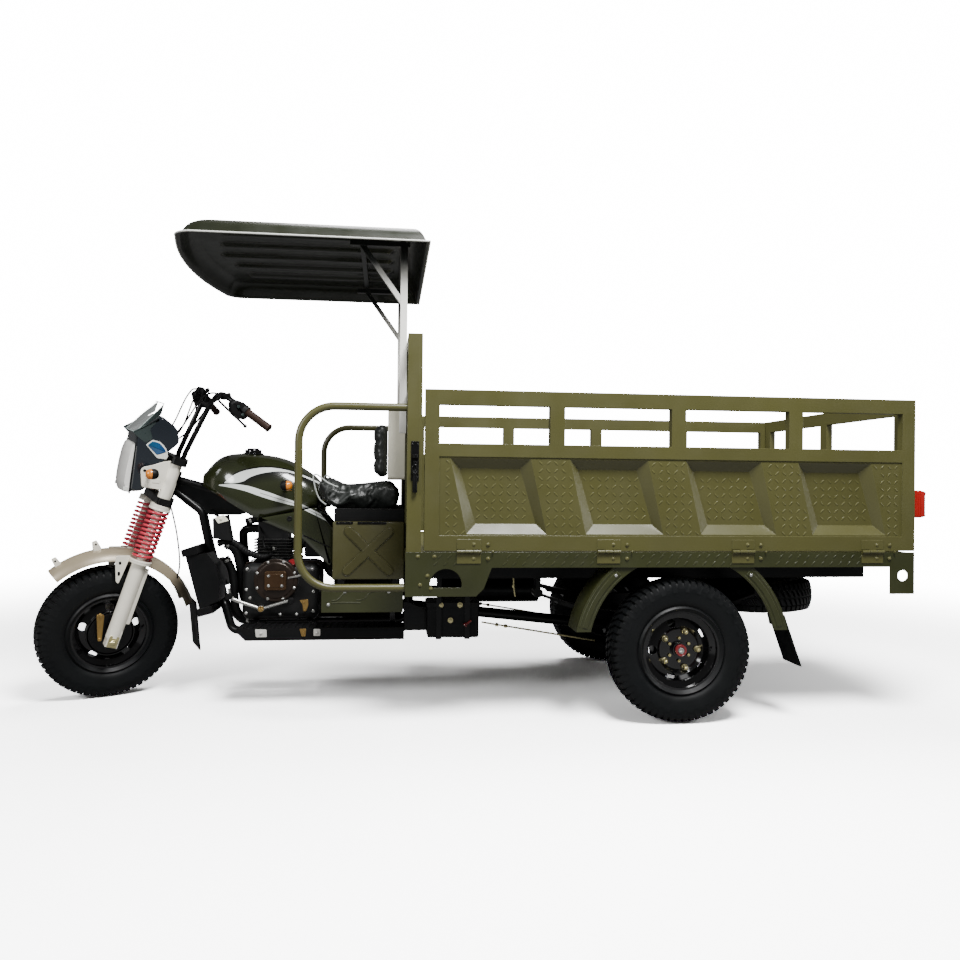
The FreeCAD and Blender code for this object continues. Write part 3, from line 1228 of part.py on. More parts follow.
def guardShape():
    centre = Vector(size.rearAxlePlace, 0, size.wheelRadius)
    face, skin = -size.guardFace, size.guardSkin
    whole = Part.makeCylinder(size.guardOuter, size.guardWide, Vector(centre.x, face, centre.z), Vector(0, 1, 0))
    hollow = Part.makeCylinder(size.guardOuter - skin, size.guardWide,
                               Vector(centre.x, face + skin, centre.z), Vector(0, 1, 0))
    mouth = Part.makeCylinder(size.guardInner, size.guardWide + 2 * size.overrun,
                              Vector(centre.x, face - size.overrun, centre.z), Vector(0, 1, 0))
    band = Part.makeBox(4 * size.guardOuter, size.guardWide, size.skirtLow - size.guardLow,
                        Vector(centre.x - 2 * size.guardOuter, face, size.guardLow))
    return both(whole.cut([hollow, mouth]).common(band))


node("rear_mudguards", formed("RearMudguards", guardShape()))


def rearFlap():
    reach = math.sqrt(size.guardOuter ** 2 - (size.flapTop - size.wheelRadius) ** 2)
    top = size.rearAxlePlace + reach + size.seatGap
    points = [(top, size.flapTop), (top + size.flapThick, size.flapTop),
              (size.flapBack, size.flapLow), (size.flapBack - size.flapThick, size.flapLow)]
    return both(prism(points, -size.guardFace + size.guardSkin * 2, -size.guardFace + size.guardWide))


node("rear_mud_flaps", formed("RearMudFlaps", rearFlap()))


# Fork, drawn along its own axis: X backwards, Z up the steering axis

def forkLeg():
    centre = Vector(-size.forkForward, -size.forkHalf, 0)
    leg = Part.makeCylinder(size.legRadius, size.legTop + size.axleDrop, centre - Vector(0, 0, size.axleDrop),
                            Vector(0, 0, 1))
    ridge = Part.makeBox(size.legRidgeDeep, size.legRidge, size.legTop * 0.72,
                         centre + Vector(0, -size.legRidge / 2, size.legTop * 0.2))
    foot = Part.makeBox(1.6 * size.legRadius, 1.5 * size.legRadius, 2.4 * size.legRadius,
                        centre + Vector(-0.8 * size.legRadius, -0.75 * size.legRadius,
                                        -size.axleDrop - 1.2 * size.legRadius))
    collar = Part.makeCylinder(size.springRadius + 1.2 * size.springWire, size.springWire * 2,
                               centre + Vector(0, 0, size.legTop - 2 * size.springWire), Vector(0, 0, 1))
    cup = Part.makeCylinder(size.springRadius + size.springWire, size.lowerYoke - size.springTop,
                            centre + Vector(0, 0, size.springTop), Vector(0, 0, 1))
    rodUp = Part.makeCylinder(size.stanchionRadius, size.shroudTop - size.legTop,
                              centre + Vector(0, 0, size.legTop), Vector(0, 0, 1))
    shroud = Part.makeCylinder(size.shroudRadius, size.shroudTop - size.lowerYoke - size.yokeThick,
                               centre + Vector(0, 0, size.lowerYoke + size.yokeThick), Vector(0, 0, 1))
    return leg.fuse([ridge, foot, collar, cup, rodUp, shroud])


def forkLegs():
    legs = both(forkLeg())
    axle = Part.makeCylinder(size.axleRadius, 2 * size.forkHalf,
                             Vector(-size.forkForward, -size.forkHalf, -size.axleDrop), Vector(0, 1, 0))
    return legs.Solids[0].fuse([legs.Solids[1], axle])


node("fork_legs", formed("ForkLegs", forkLegs()), forkFrame)


def springCoil(side):
    # A six-sided wire carried round in flat facets, from the leg's collar up to the cup below the yoke
    wire, radius = size.springWire, size.springRadius
    steps = int(size.springTurns * size.springFacets)
    climb = (size.springTop - size.legTop - 2 * wire) / steps
    base = Vector(-size.forkForward, side * size.forkHalf, size.legTop + wire)
    rings = []
    for step in range(steps + 1):
        turn = 2 * math.pi * step / size.springFacets
        away = Vector(math.cos(turn), math.sin(turn), 0)
        middle = base + away * radius + Vector(0, 0, climb * step)
        angles = [math.radians(90 + 60 * corner) for corner in range(6)]
        rings.append([middle + away * (wire * math.cos(angle)) + Vector(0, 0, wire * math.sin(angle))
                      for angle in angles])
    faces = [Part.Face(Part.makePolygon(ring + ring[:1])) for ring in (rings[0], rings[-1])]
    for ring, following in zip(rings, rings[1:]):
        quads = zip(ring, ring[1:] + ring[:1], following[1:] + following[:1], following)
        for near, far, farther, nearer in quads:
            faces += [Part.Face(Part.makePolygon([near, far, farther, near])),
                      Part.Face(Part.makePolygon([near, farther, nearer, near]))]
    return Part.makeSolid(Part.makeShell(faces))


node("fork_springs", formed("ForkSprings", Part.makeCompound([springCoil(-1), springCoil(1)])), forkFrame)


def yokesShape():
    # Two plates that narrow to the stem, so that they swing clear of the frame
    plates = []
    boss, side = size.headTubeRadius, size.forkHalf + size.legRadius + size.runGap
    front, back = -size.forkForward - size.shroudRadius, -size.legRidge / 4
    plan = [(boss, -boss), (boss, boss), (back, side), (front, side), (front, -side), (back, -side)]
    for base in (size.lowerYoke, size.shroudTop):
        rim = [Vector(x, y, base) for x, y in plan]
        plate = Part.Face(roundedPath(rim, boss / 2, closed=True)).extrude(Vector(0, 0, size.yokeThick))
        holes = [Part.makeCylinder(size.stanchionRadius, size.yokeThick * 2,
                                   Vector(-size.forkForward, way * size.forkHalf, base - size.yokeThick / 2),
                                   Vector(0, 0, 1)) for way in (-1, 1)]
        plates.append(plate.cut(holes) if base == size.lowerYoke else plate)
    stem = Part.makeCylinder(size.stemRadius, size.shroudTop - size.lowerYoke,
                             Vector(0, 0, size.lowerYoke), Vector(0, 0, 1))
    return plates[0].fuse([plates[1], stem])


node("fork_yokes", formed("ForkYokes", yokesShape()), forkFrame)


def brakePlate():
    # A fixed plate in the mouth of the front drum, with its brake arm outside
    centre = Vector(-size.forkForward, -size.discSet - size.drumMouth, -size.axleDrop)
    outwards = Vector(0, -1, 0)
    disc = Part.makeCylinder(size.plateRadius, size.plateThick, centre, outwards)
    boss = Part.makeCylinder(size.axleRadius * 2, size.forkHalf - size.legRadius - size.seatGap
                             + centre.y, centre, outwards)
    arm = Part.makeBox(size.armWide, size.plateThick / 2, size.armLong,
                       centre + Vector(-size.plateRadius * 0.7, -size.plateThick * 1.5, -size.armLong / 2))
    bore = Part.makeCylinder(size.axleRadius, 2 * size.forkHalf, centre - outwards * size.forkHalf / 2,
                             outwards)
    return disc.fuse([boss, arm]).cut(bore)


node("front_brake", formed("FrontBrake", brakePlate()), forkFrame)


def lampBrackets():
    # Side plates from the fork's upper tubes to the lamp's shell
    def tubeFront(height):
        return (size.steerFoot + (height - steerFootPoint.z) * math.tan(rake)
                - (size.forkForward + size.shroudRadius) / math.cos(rake) - size.seatGap)
    low, high = size.bracketLow, size.bracketTop
    points = [(size.bracketFront, low), (tubeFront(low), low), (tubeFront(high), high),
              (size.bracketFront, high)]
    start = size.cowlHalf + size.seatGap
    return both(prism(points, -start - size.bracketThick, -start))


node("lamp_brackets", formed("LampBrackets", lampBrackets()), steeringFrame)


# Handlebar, grips, lamp, cowl, screen: drawn unsteered in vehicle places

def barSide(side):
    foot = alongSteer(size.shroudTop + size.yokeThick) + Vector(0, side * size.riserHalf, 0)
    return [foot, foot + steerAxis * size.yokeThick,
            Vector(size.riserPlace, side * size.riserHalf * 1.3, size.riserHigh),
            Vector(size.barPlace, side * size.riserHalf * 2, size.barHigh),
            Vector(size.barPlace, side * size.barStraight, size.barHigh),
            Vector(size.barEndPlace, side * size.barHalf, size.barEndHigh)]


def barShape():
    left, right = [tube(barSide(side), size.barRadius, size.barBend) for side in (-1, 1)]
    cross = Part.makeCylinder(size.barRadius * 0.8, 2 * size.riserHalf * 1.3,
                              Vector(size.riserPlace, -size.riserHalf * 1.3, size.riserHigh),
                              Vector(0, 1, 0))
    return left.fuse([right, cross])


node("handlebar", formed("Handlebar", barShape()), steeringFrame)


def gripShape():
    start, end = barSide(-1)[-2:]
    along = (end - start).normalize()
    grip = Part.makeCylinder(size.gripRadius, size.gripLong, end - along * size.gripLong, along)
    bore = Part.makeCylinder(size.barRadius, size.gripLong * 2, end - along * size.gripLong * 2, along)
    switch = Part.makeCylinder(size.gripRadius * 1.35, size.gripLong * 0.3,
                               end - along * size.gripLong * 1.32, along)
    return both(grip.fuse(switch).cut(bore))


node("hand_grips", formed("HandGrips", gripShape()), steeringFrame)


# Outlines of the lamp unit, as shares of its length behind the lens and its height above the rim
cowlShares = ((0.118, 0.018), (0.349, 0.036), (0.601, 0.234), (0.760, 0.520), (1, 0.665),
              (0.954, 0.843), (0.693, 1), (0.256, 0.780), (0.235, 0.659))
lensShares = ((0.118, 0.018), (0.235, 0.659), (0.160, 0.635), (0.050, 0.377), (0, 0.148),
              (0.017, 0.036))
screenShares = ((0.256, 0.780), (0.693, 1), (0.748, 1.125), (0.727, 1.134), (0.210, 0.798))


def lampPoints(shares, back=0, up=0):
    return [(size.lampFront + x * size.cowlLong + back, size.lampLow + z * size.cowlTall + up)
            for x, z in shares]


node("headlight_cowl", formed("HeadlightCowl", prism(
    lampPoints(cowlShares), -size.cowlHalf, size.cowlHalf, size.hoopRadius)), steeringFrame)
node("headlight_lens", formed("HeadlightLens", prism(
    lampPoints(lensShares, back=-size.seatGap), -size.lampHalf, size.lampHalf)), steeringFrame)
node("windshield", formed("Windshield", prism(
    lampPoints(screenShares, up=size.seatGap), -size.screenHalf, size.screenHalf)), steeringFrame)


def fromWheel(radius, angle, y=0):
    # A place beside the front wheel, by its distance from the axle and its angle above the rear
    turn = math.radians(angle)
    return frontCentre + Vector(radius * math.cos(turn), y, radius * math.sin(turn))


frontCentre = alongFork.multVec(frontAxle.Base)


def mudguardShape():
    # An arched strip bent round the wheel, with a lug on each side for the fork leg
    half, skin, edge = size.mudHalf, size.mudSkin, size.mudRadius
    crown, start = edge + size.mudCrown, size.mudBack
    outside = Part.Arc(fromWheel(edge, start, -half), fromWheel(crown, start),
                       fromWheel(edge, start, half)).toShape()
    inside = Part.Arc(fromWheel(edge, start, half - skin), fromWheel(crown - skin, start),
                      fromWheel(edge, start, skin - half)).toShape()
    ends = [Part.makePolygon([fromWheel(edge, start, side * half), fromWheel(edge, start, side * (half - skin))])
            for side in (1, -1)]
    section = Part.Wire(Part.__sortEdges__([outside, inside] + [end.Edges[0] for end in ends]))
    guard = Part.Face(section).revolve(frontCentre, Vector(0, -1, 0), size.mudFront - start)
    reach = size.forkHalf - size.legRadius - size.seatGap
    lug = Part.makeBox(size.legRadius, reach - half + 2 * skin, 3 * skin)
    lug.Placement = Placement(alongFork.multVec(frontAxle.Base + Vector(-size.legRadius / 2, half - 2 * skin,
                                                                        edge - skin)), alongFork.Rotation)
    return guard.fuse([lug, lug.mirror(Vector(), Vector(0, 1, 0))])


node("front_mudguard", formed("FrontMudguard", mudguardShape()), steeringFrame)


def frontFlap():
    start = size.mudRadius + size.mudCrown + size.seatGap
    top = [fromWheel(start + out, size.mudBack) for out in (0, size.flapThick)]
    points = [(top[0].x, top[0].z), (top[1].x, top[1].z), (size.flapFoot + size.flapThick, size.flapDrop),
              (size.flapFoot, size.flapDrop)]
    return prism(points, -size.flapHalf, size.flapHalf)


node("front_mud_flap", formed("FrontMudFlap", frontFlap()), steeringFrame)


def blinker(start, place, high, out, forward):
    # A stalk out to the side, with a lamp body that looks forwards or backwards
    stalk = Part.makeCylinder(size.stalkRadius, out - start, Vector(place, -start, high), Vector(0, -1, 0))
    body = Part.makeCylinder(size.blinkerRadius, size.blinkerLong,
                             Vector(place - forward * size.blinkerLong / 2, -out, high),
                             Vector(forward, 0, 0))
    return both(stalk.fuse(blended(body, size.blinkerRadius / 3)))


node("front_indicators", formed("FrontIndicators", blinker(
    size.cowlHalf + size.seatGap + size.bracketThick, size.blinkerPlace, size.blinkerHigh,
    size.blinkerOut, 1)), steeringFrame)
node("side_indicators", formed("SideIndicators", blinker(
    size.stalkFoot + size.seatGap, size.stalkPlace, size.stalkHigh, size.stalkOut, -1)))


def leverShape():
    # A clamp round the handlebar, a blade in front of the grip and a ball at its end
    place, wide = Vector(size.barPlace, -size.leverClamp, size.barHigh), 2 * size.gripRadius
    ring = Part.makeCylinder(size.gripRadius, wide, place, Vector(0, -1, 0))
    bore = Part.makeCylinder(size.barRadius, 3 * wide, place + Vector(0, wide, 0), Vector(0, -1, 0))
    tip = Vector(size.leverTip, -size.leverOut, size.leverHigh)
    root = place + Vector(-size.gripRadius * 0.8, -wide / 2, 0)
    blade = tube([root, root + Vector(-size.gripRadius, -wide, -size.gripRadius), tip],
                 size.leverRadius, 2 * wide)
    ball = Part.makeSphere(size.leverRadius * 1.6, tip)
    return both(ring.fuse([blade, ball]).cut(bore))


node("hand_levers", formed("HandLevers", leverShape()), steeringFrame)


def cableRoutes():
    # Hand-set routes, unsteered: two to each side's lever, and the brake cable down to the mudguard
    clampX, clampZ = size.barPlace - size.gripRadius * 0.7, size.barHigh + size.gripRadius * 0.4
    near = size.leverClamp + size.gripRadius
    return [
        [(clampX, near, clampZ), (-968, 160, 1347), (-1003, 125, 1312), (-1035, 88, 1264),
         (-1065, 56, 1212), (-1100, 36, 1160)],
        [(clampX, near, clampZ - size.gripRadius), (-972, 130, 1298), (-1000, 86, 1250),
         (-1028, 50, 1198), (-1058, 22, 1158), (-1100, 12, 1128)],
        [(clampX, -near, clampZ), (-966, -160, 1352), (-990, -134, 1336), (-1020, -110, 1290),
         (-1045, -96, 1240), (-1072, -80, 1190), (-1108, -66, 1150)],
        [(clampX, -near, clampZ - size.gripRadius), (-972, -140, 1296), (-1000, -106, 1240),
         (-1028, -76, 1190), (-1060, -50, 1150), (-1104, -40, 1122)],
        [(-1108, -12, 870), (-1092, -26, 800), (-1078, -40, 720), (-1068, -48, 630), (-1064, -46, 560),
         (-1078, -40, 492)]]


def cableShape():
    hulls = [prism(lampPoints(cowlShares), -size.cowlHalf, size.cowlHalf, size.hoopRadius), leverShape(),
             mudguardShape(), barShape()]
    yokes = yokesShape()
    yokes.Placement = alongFork
    cables = []
    for route in cableRoutes():
        cable = tube([Vector(*point) for point in route], size.cableRadius, size.bedLong)
        for hull in hulls + [yokes]:
            cable = max(cable.cut(hull).Solids, key=lambda piece: piece.Volume)
        cables.append(cable)
    return Part.makeCompound(cables)


node("control_cables", formed("ControlCables", cableShape()), steeringFrame)


def pillarLatch():
    # A drop bolt on each front pillar that catches the side gate's keeper
    out = size.bedWide / 2 - size.floorThick + size.latchGap
    back = Part.makeBox(size.latchWide, size.latchThick, size.latchHigh,
                        Vector(size.latchPlace, -out - size.latchThick, size.latchLow))
    bolt = Part.makeCylinder(size.latchBolt, size.latchHigh * 0.8,
                             Vector(size.latchPlace + size.latchWide / 2, -out - size.latchThick
                                    - size.latchBolt * 0.6, size.latchLow - size.latchHigh * 0.3),
                             Vector(0, 0, 1))
    return both(back.fuse(bolt))


node("gate_latches", formed("GateLatches", pillarLatch()))

doc.recompute()

# Every object must be sound before anything is written
for item in doc.Objects:
    if {"Invalid", "Error"} & set(item.State):
        raise RuntimeError("%s (%s) failed: %s" % (item.Name, item.Label, item.State))
for piece in nodes:
    if piece.Shape.isNull() or not piece.Shape.isValid():
        raise RuntimeError("%s has no sound shape" % piece.Label)
    if not piece.Shape.Solids:
        raise RuntimeError("%s holds no solid" % piece.Label)

os.makedirs("parts", exist_ok=True)
for piece in nodes:
    piece.Shape.exportStep("parts/%s.step" % piece.Label)
    print("%-18s %2d solids  %9.0f cm3" % (piece.Label, len(piece.Shape.Solids), piece.Shape.Volume / 1000))
whole = Part.makeCompound([piece.Shape for piece in nodes]).BoundBox
print("box", [round(value, 1) for value in (whole.XMin, whole.XMax, whole.YMin, whole.YMax,
                                            whole.ZMin, whole.ZMax)])
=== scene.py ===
import json
import math

import bmesh
import bpy
from mathutils import Matrix, Vector, noise

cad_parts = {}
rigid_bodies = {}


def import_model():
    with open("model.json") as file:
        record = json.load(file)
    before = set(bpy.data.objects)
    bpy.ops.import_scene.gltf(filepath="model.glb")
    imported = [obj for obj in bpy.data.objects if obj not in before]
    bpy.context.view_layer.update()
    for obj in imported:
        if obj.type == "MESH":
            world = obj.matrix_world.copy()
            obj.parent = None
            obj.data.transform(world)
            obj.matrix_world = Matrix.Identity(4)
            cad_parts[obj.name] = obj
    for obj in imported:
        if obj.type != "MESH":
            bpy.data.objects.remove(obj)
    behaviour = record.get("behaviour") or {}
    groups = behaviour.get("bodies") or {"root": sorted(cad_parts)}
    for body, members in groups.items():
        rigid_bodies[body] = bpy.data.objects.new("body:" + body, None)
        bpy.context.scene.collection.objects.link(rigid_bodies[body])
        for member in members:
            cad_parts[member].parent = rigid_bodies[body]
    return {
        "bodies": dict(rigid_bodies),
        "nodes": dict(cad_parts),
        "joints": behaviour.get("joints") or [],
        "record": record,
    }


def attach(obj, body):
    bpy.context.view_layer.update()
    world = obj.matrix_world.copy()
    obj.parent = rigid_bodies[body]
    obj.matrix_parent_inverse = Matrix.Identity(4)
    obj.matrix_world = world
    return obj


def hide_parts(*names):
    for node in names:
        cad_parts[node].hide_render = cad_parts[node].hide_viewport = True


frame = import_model()
nodes = frame["nodes"]
joints = {joint["name"]: joint for joint in frame["joints"]}
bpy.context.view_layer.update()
print("frame loaded:", len(nodes), "nodes")

# camera and studio

studio = {
    "eye": (-0.388, -3.730, 0.951), "yaw": 6.573, "pitch": 0.192, "roll": 0.587,
    "lens": 30.35, "sensor": 36,
    # strength of the white surround as the camera sees it, and as it lights the vehicle
    "backdrop": 16.0, "sky": 0.14,
    # place, size, power of each softbox, and what it is aimed at
    "softboxes": [((0.6, -2.7, 4.6), 1.8, 500, (0.2, 0.0, 0.9)),
                  ((-3.6, -3.2, 2.6), 1.4, 110, (-1.0, 0.0, 0.8)),
                  ((0.2, 1.2, 5.2), 3.0, 300, (0.2, 0.0, 0.5)), ((4.2, -1.2, 2.0), 1.4, 40, (1.2, 0.0, 0.8))],
    "floorReach": 9.0, "fade": (2.7, 6.5), "floorShown": 2.9, "floorLit": 0.22,
    "paperGrain": (0.02, 0.99),
}


def addCamera():
    yaw, pitch, roll = (math.radians(studio[word]) for word in ("yaw", "pitch", "roll"))
    forward = Vector((math.sin(yaw) * math.cos(pitch), math.cos(yaw) * math.cos(pitch), math.sin(pitch)))
    level = Vector((math.cos(yaw), -math.sin(yaw), 0))
    over = level.cross(forward)
    right = level * math.cos(roll) + over * math.sin(roll)
    up = over * math.cos(roll) - level * math.sin(roll)
    camera = bpy.data.objects.new("camera", bpy.data.cameras.new("camera"))
    camera.data.lens, camera.data.sensor_width = studio["lens"], studio["sensor"]
    turn = Matrix((right, up, -forward)).transposed().to_4x4()
    camera.matrix_world = Matrix.Translation(studio["eye"]) @ turn
    bpy.context.scene.collection.objects.link(camera)
    bpy.context.scene.camera = camera


def addStudio():
    for place, wide, power, aim in studio["softboxes"]:
        lamp = bpy.data.lights.new("softbox", "AREA")
        lamp.shape, lamp.size, lamp.energy = "DISK", wide, power
        box = bpy.data.objects.new("softbox", lamp)
        box.location = place
        box.rotation_euler = (Vector(aim) - Vector(place)).to_track_quat("-Z", "Y").to_euler()
        bpy.context.scene.collection.objects.link(box)
    world = bpy.data.worlds.new("studio")
    world.use_nodes = True
    tree = world.node_tree
    sky = tree.nodes["Background"]
    sky.inputs["Color"].default_value = (1, 1, 1, 1)
    seen = addNode(tree, "LightPath").outputs["Is Camera Ray"]
    strength = mathNode(tree, "MULTIPLY_ADD", seen, studio["backdrop"] - studio["sky"], studio["sky"])
    tree.links.new(strength, sky.inputs["Strength"])
    bpy.context.scene.world = world
    mesh = bpy.data.meshes.new("floor")
    reach, rise = studio["floorReach"], -0.001
    around = [(x, z, rise) for x, z in corners(-reach, -reach, reach, reach)]
    mesh.from_pydata(around, [], [(0, 1, 2, 3)])
    floor = bpy.data.objects.new("floor", mesh)
    bpy.context.scene.collection.objects.link(floor)
    mesh.materials.append(floorMaterial())


def floorMaterial():
    # white paper: brighter in the picture than it lights the vehicle, and gone into the backdrop further out
    material, tree, shader = newMaterial("floor")
    paper = addNode(tree, "BsdfDiffuse")
    seen = addNode(tree, "LightPath").outputs["Is Camera Ray"]
    lit = studio["floorLit"]
    share = mathNode(tree, "MULTIPLY_ADD", seen, studio["floorShown"] - lit, lit)
    grain = mathNode(tree, "MULTIPLY_ADD", noiseMask(tree, 30, 0.3, 0.7), *studio["paperGrain"])
    tint = addNode(tree, "CombineColor")
    for socket in tint.inputs[:3]:
        tree.links.new(mathNode(tree, "MULTIPLY", share, grain), socket)
    tree.links.new(tint.outputs[0], paper.inputs["Color"])
    reach = addNode(tree, "VectorMath", operation="LENGTH")
    tree.links.new(objectPlace(tree), reach.inputs[0])
    fade = addNode(tree, "MapRange", interpolation_type="SMOOTHSTEP", From_Min=studio["fade"][0],
                   From_Max=studio["fade"][1])
    tree.links.new(reach.outputs["Value"], fade.inputs["Value"])
    gone, mixed = addNode(tree, "BsdfTransparent"), addNode(tree, "MixShader")
    tree.links.new(fade.outputs[0], mixed.inputs[0])
    tree.links.new(paper.outputs[0], mixed.inputs[1])
    tree.links.new(gone.outputs[0], mixed.inputs[2])
    tree.links.new(mixed.outputs[0], tree.nodes["Material Output"].inputs["Surface"])
    tree.nodes.remove(shader)
    return material


# finishes: each a node material in the object's own metres

def newMaterial(name):
    material = bpy.data.materials.new(name)
    material.use_nodes = True
    return material, material.node_tree, material.node_tree.nodes["Principled BSDF"]


def addNode(tree, kind, **values):
    node = tree.nodes.new("ShaderNode" + kind)
    for word, value in values.items():
        if hasattr(node, word):
            setattr(node, word, value)
        else:
            node.inputs[word.replace("_", " ")].default_value = value
    return node


def mathNode(tree, operation, *values, clamp=False):
    node = tree.nodes.new("ShaderNodeMath")
    node.operation, node.use_clamp = operation, clamp
    for socket, value in zip(node.inputs, values):
        if isinstance(value, (int, float)):
            socket.default_value = value
        else:
            tree.links.new(value, socket)
    return node.outputs[0]


def mixColours(tree, share, first, second):
    node = tree.nodes.new("ShaderNodeMix")
    node.data_type = "RGBA"
    for socket, value in ((node.inputs[0], share), (node.inputs[6], first), (node.inputs[7], second)):
        if isinstance(value, bpy.types.NodeSocket):
            tree.links.new(value, socket)
        elif isinstance(value, tuple):
            socket.default_value = (*value, 1)
        else:
            socket.default_value = value
    return node.outputs[2]


def objectPlace(tree):
    return addNode(tree, "TexCoord").outputs["Object"]


def noiseMask(tree, scale, low, high, detail=4):
    # a noise of so many patches a metre, spread between low and high and clamped to 0...1
    cloud = addNode(tree, "TexNoise", Scale=scale, Detail=detail)
    tree.links.new(objectPlace(tree), cloud.inputs["Vector"])
    spread = addNode(tree, "MapRange", From_Min=low, From_Max=high)
    tree.links.new(cloud.outputs["Fac"], spread.inputs["Value"])
    return spread.outputs[0]


def edgeMask(tree, radius):
    # 1 along sharp edges, worked out from a rounded normal
    bevel = addNode(tree, "Bevel", samples=4, Radius=radius)
    flat = addNode(tree, "NewGeometry")
    product = addNode(tree, "VectorMath", operation="DOT_PRODUCT")
    tree.links.new(bevel.outputs[0], product.inputs[0])
    tree.links.new(flat.outputs["Normal"], product.inputs[1])
    spread = addNode(tree, "MapRange", From_Min=0.995, From_Max=0.86)
    tree.links.new(product.outputs["Value"], spread.inputs["Value"])
    return spread.outputs[0], bevel.outputs[0]


# what a look has where it says nothing else, and the shader's socket of each plain value
plainLook = {
    "vary": 0.15, "patch": 5, "speck": 260, "speckShare": 0.18, "speckDark": 0.7, "roughVary": 0.12,
    "grain": 700, "bump": 0.08, "bumpDeep": 0.0006, "edge": None, "edgeShare": 0.6, "edgeRadius": 0.002,
    "dust": None, "metallic": 0, "specular": 0.5, "coat": 0, "coatRoughness": 0.1, "clear": 0, "alpha": 1,
}
lookSockets = {
    "metallic": "Metallic", "specular": "Specular IOR Level", "coat": "Coat Weight",
    "coatRoughness": "Coat Roughness", "clear": "Transmission Weight", "alpha": "Alpha",
}


def madeFinish(name, look):
    # colour, its lighter or darker patches, wear along edges, roughness patches and a fine bump
    material, tree, shader = newMaterial(name)
    look = {**plainLook, **look}
    colour, vary = look["colour"], look["vary"]
    dark = tuple(part * (1 - vary) for part in colour)
    light = tuple(min(1, part * (1 + vary)) for part in colour)
    result = mixColours(tree, noiseMask(tree, look["patch"], 0.3, 0.7), dark, light)
    speck = noiseMask(tree, look["speck"], 0.35, 0.65, detail=2)
    result = mixColours(tree, mathNode(tree, "MULTIPLY", speck, look["speckShare"]), result,
                        tuple(part * look["speckDark"] for part in colour))
    roughness = mathNode(tree, "MULTIPLY_ADD", noiseMask(tree, look["patch"] * 3, 0.3, 0.7),
                         look["roughVary"], look["roughness"] - look["roughVary"] / 2)
    normal = None
    if look["edge"]:
        mask, normal = edgeMask(tree, look["edgeRadius"])
        broken = mathNode(tree, "MULTIPLY", mask, noiseMask(tree, 60, 0.35, 0.6))
        result = mixColours(tree, mathNode(tree, "MULTIPLY", broken, look["edgeShare"]), result, look["edge"])
    if look["dust"]:
        dusty = mathNode(tree, "MULTIPLY", noiseMask(tree, 3, 0.45, 0.8), look["dustShare"])
        result = mixColours(tree, dusty, result, look["dust"])
    grain = addNode(tree, "TexNoise", Scale=look["grain"], Detail=2)
    tree.links.new(objectPlace(tree), grain.inputs["Vector"])
    bump = addNode(tree, "Bump", Strength=look["bump"], Distance=look["bumpDeep"])
    tree.links.new(grain.outputs["Fac"], bump.inputs["Height"])
    if normal is not None:
        tree.links.new(normal, bump.inputs["Normal"])
    tree.links.new(bump.outputs[0], shader.inputs["Normal"])
    tree.links.new(result, shader.inputs["Base Color"])
    tree.links.new(roughness, shader.inputs["Roughness"])
    for word, socket in lookSockets.items():
        shader.inputs[socket].default_value = look[word]
    return material


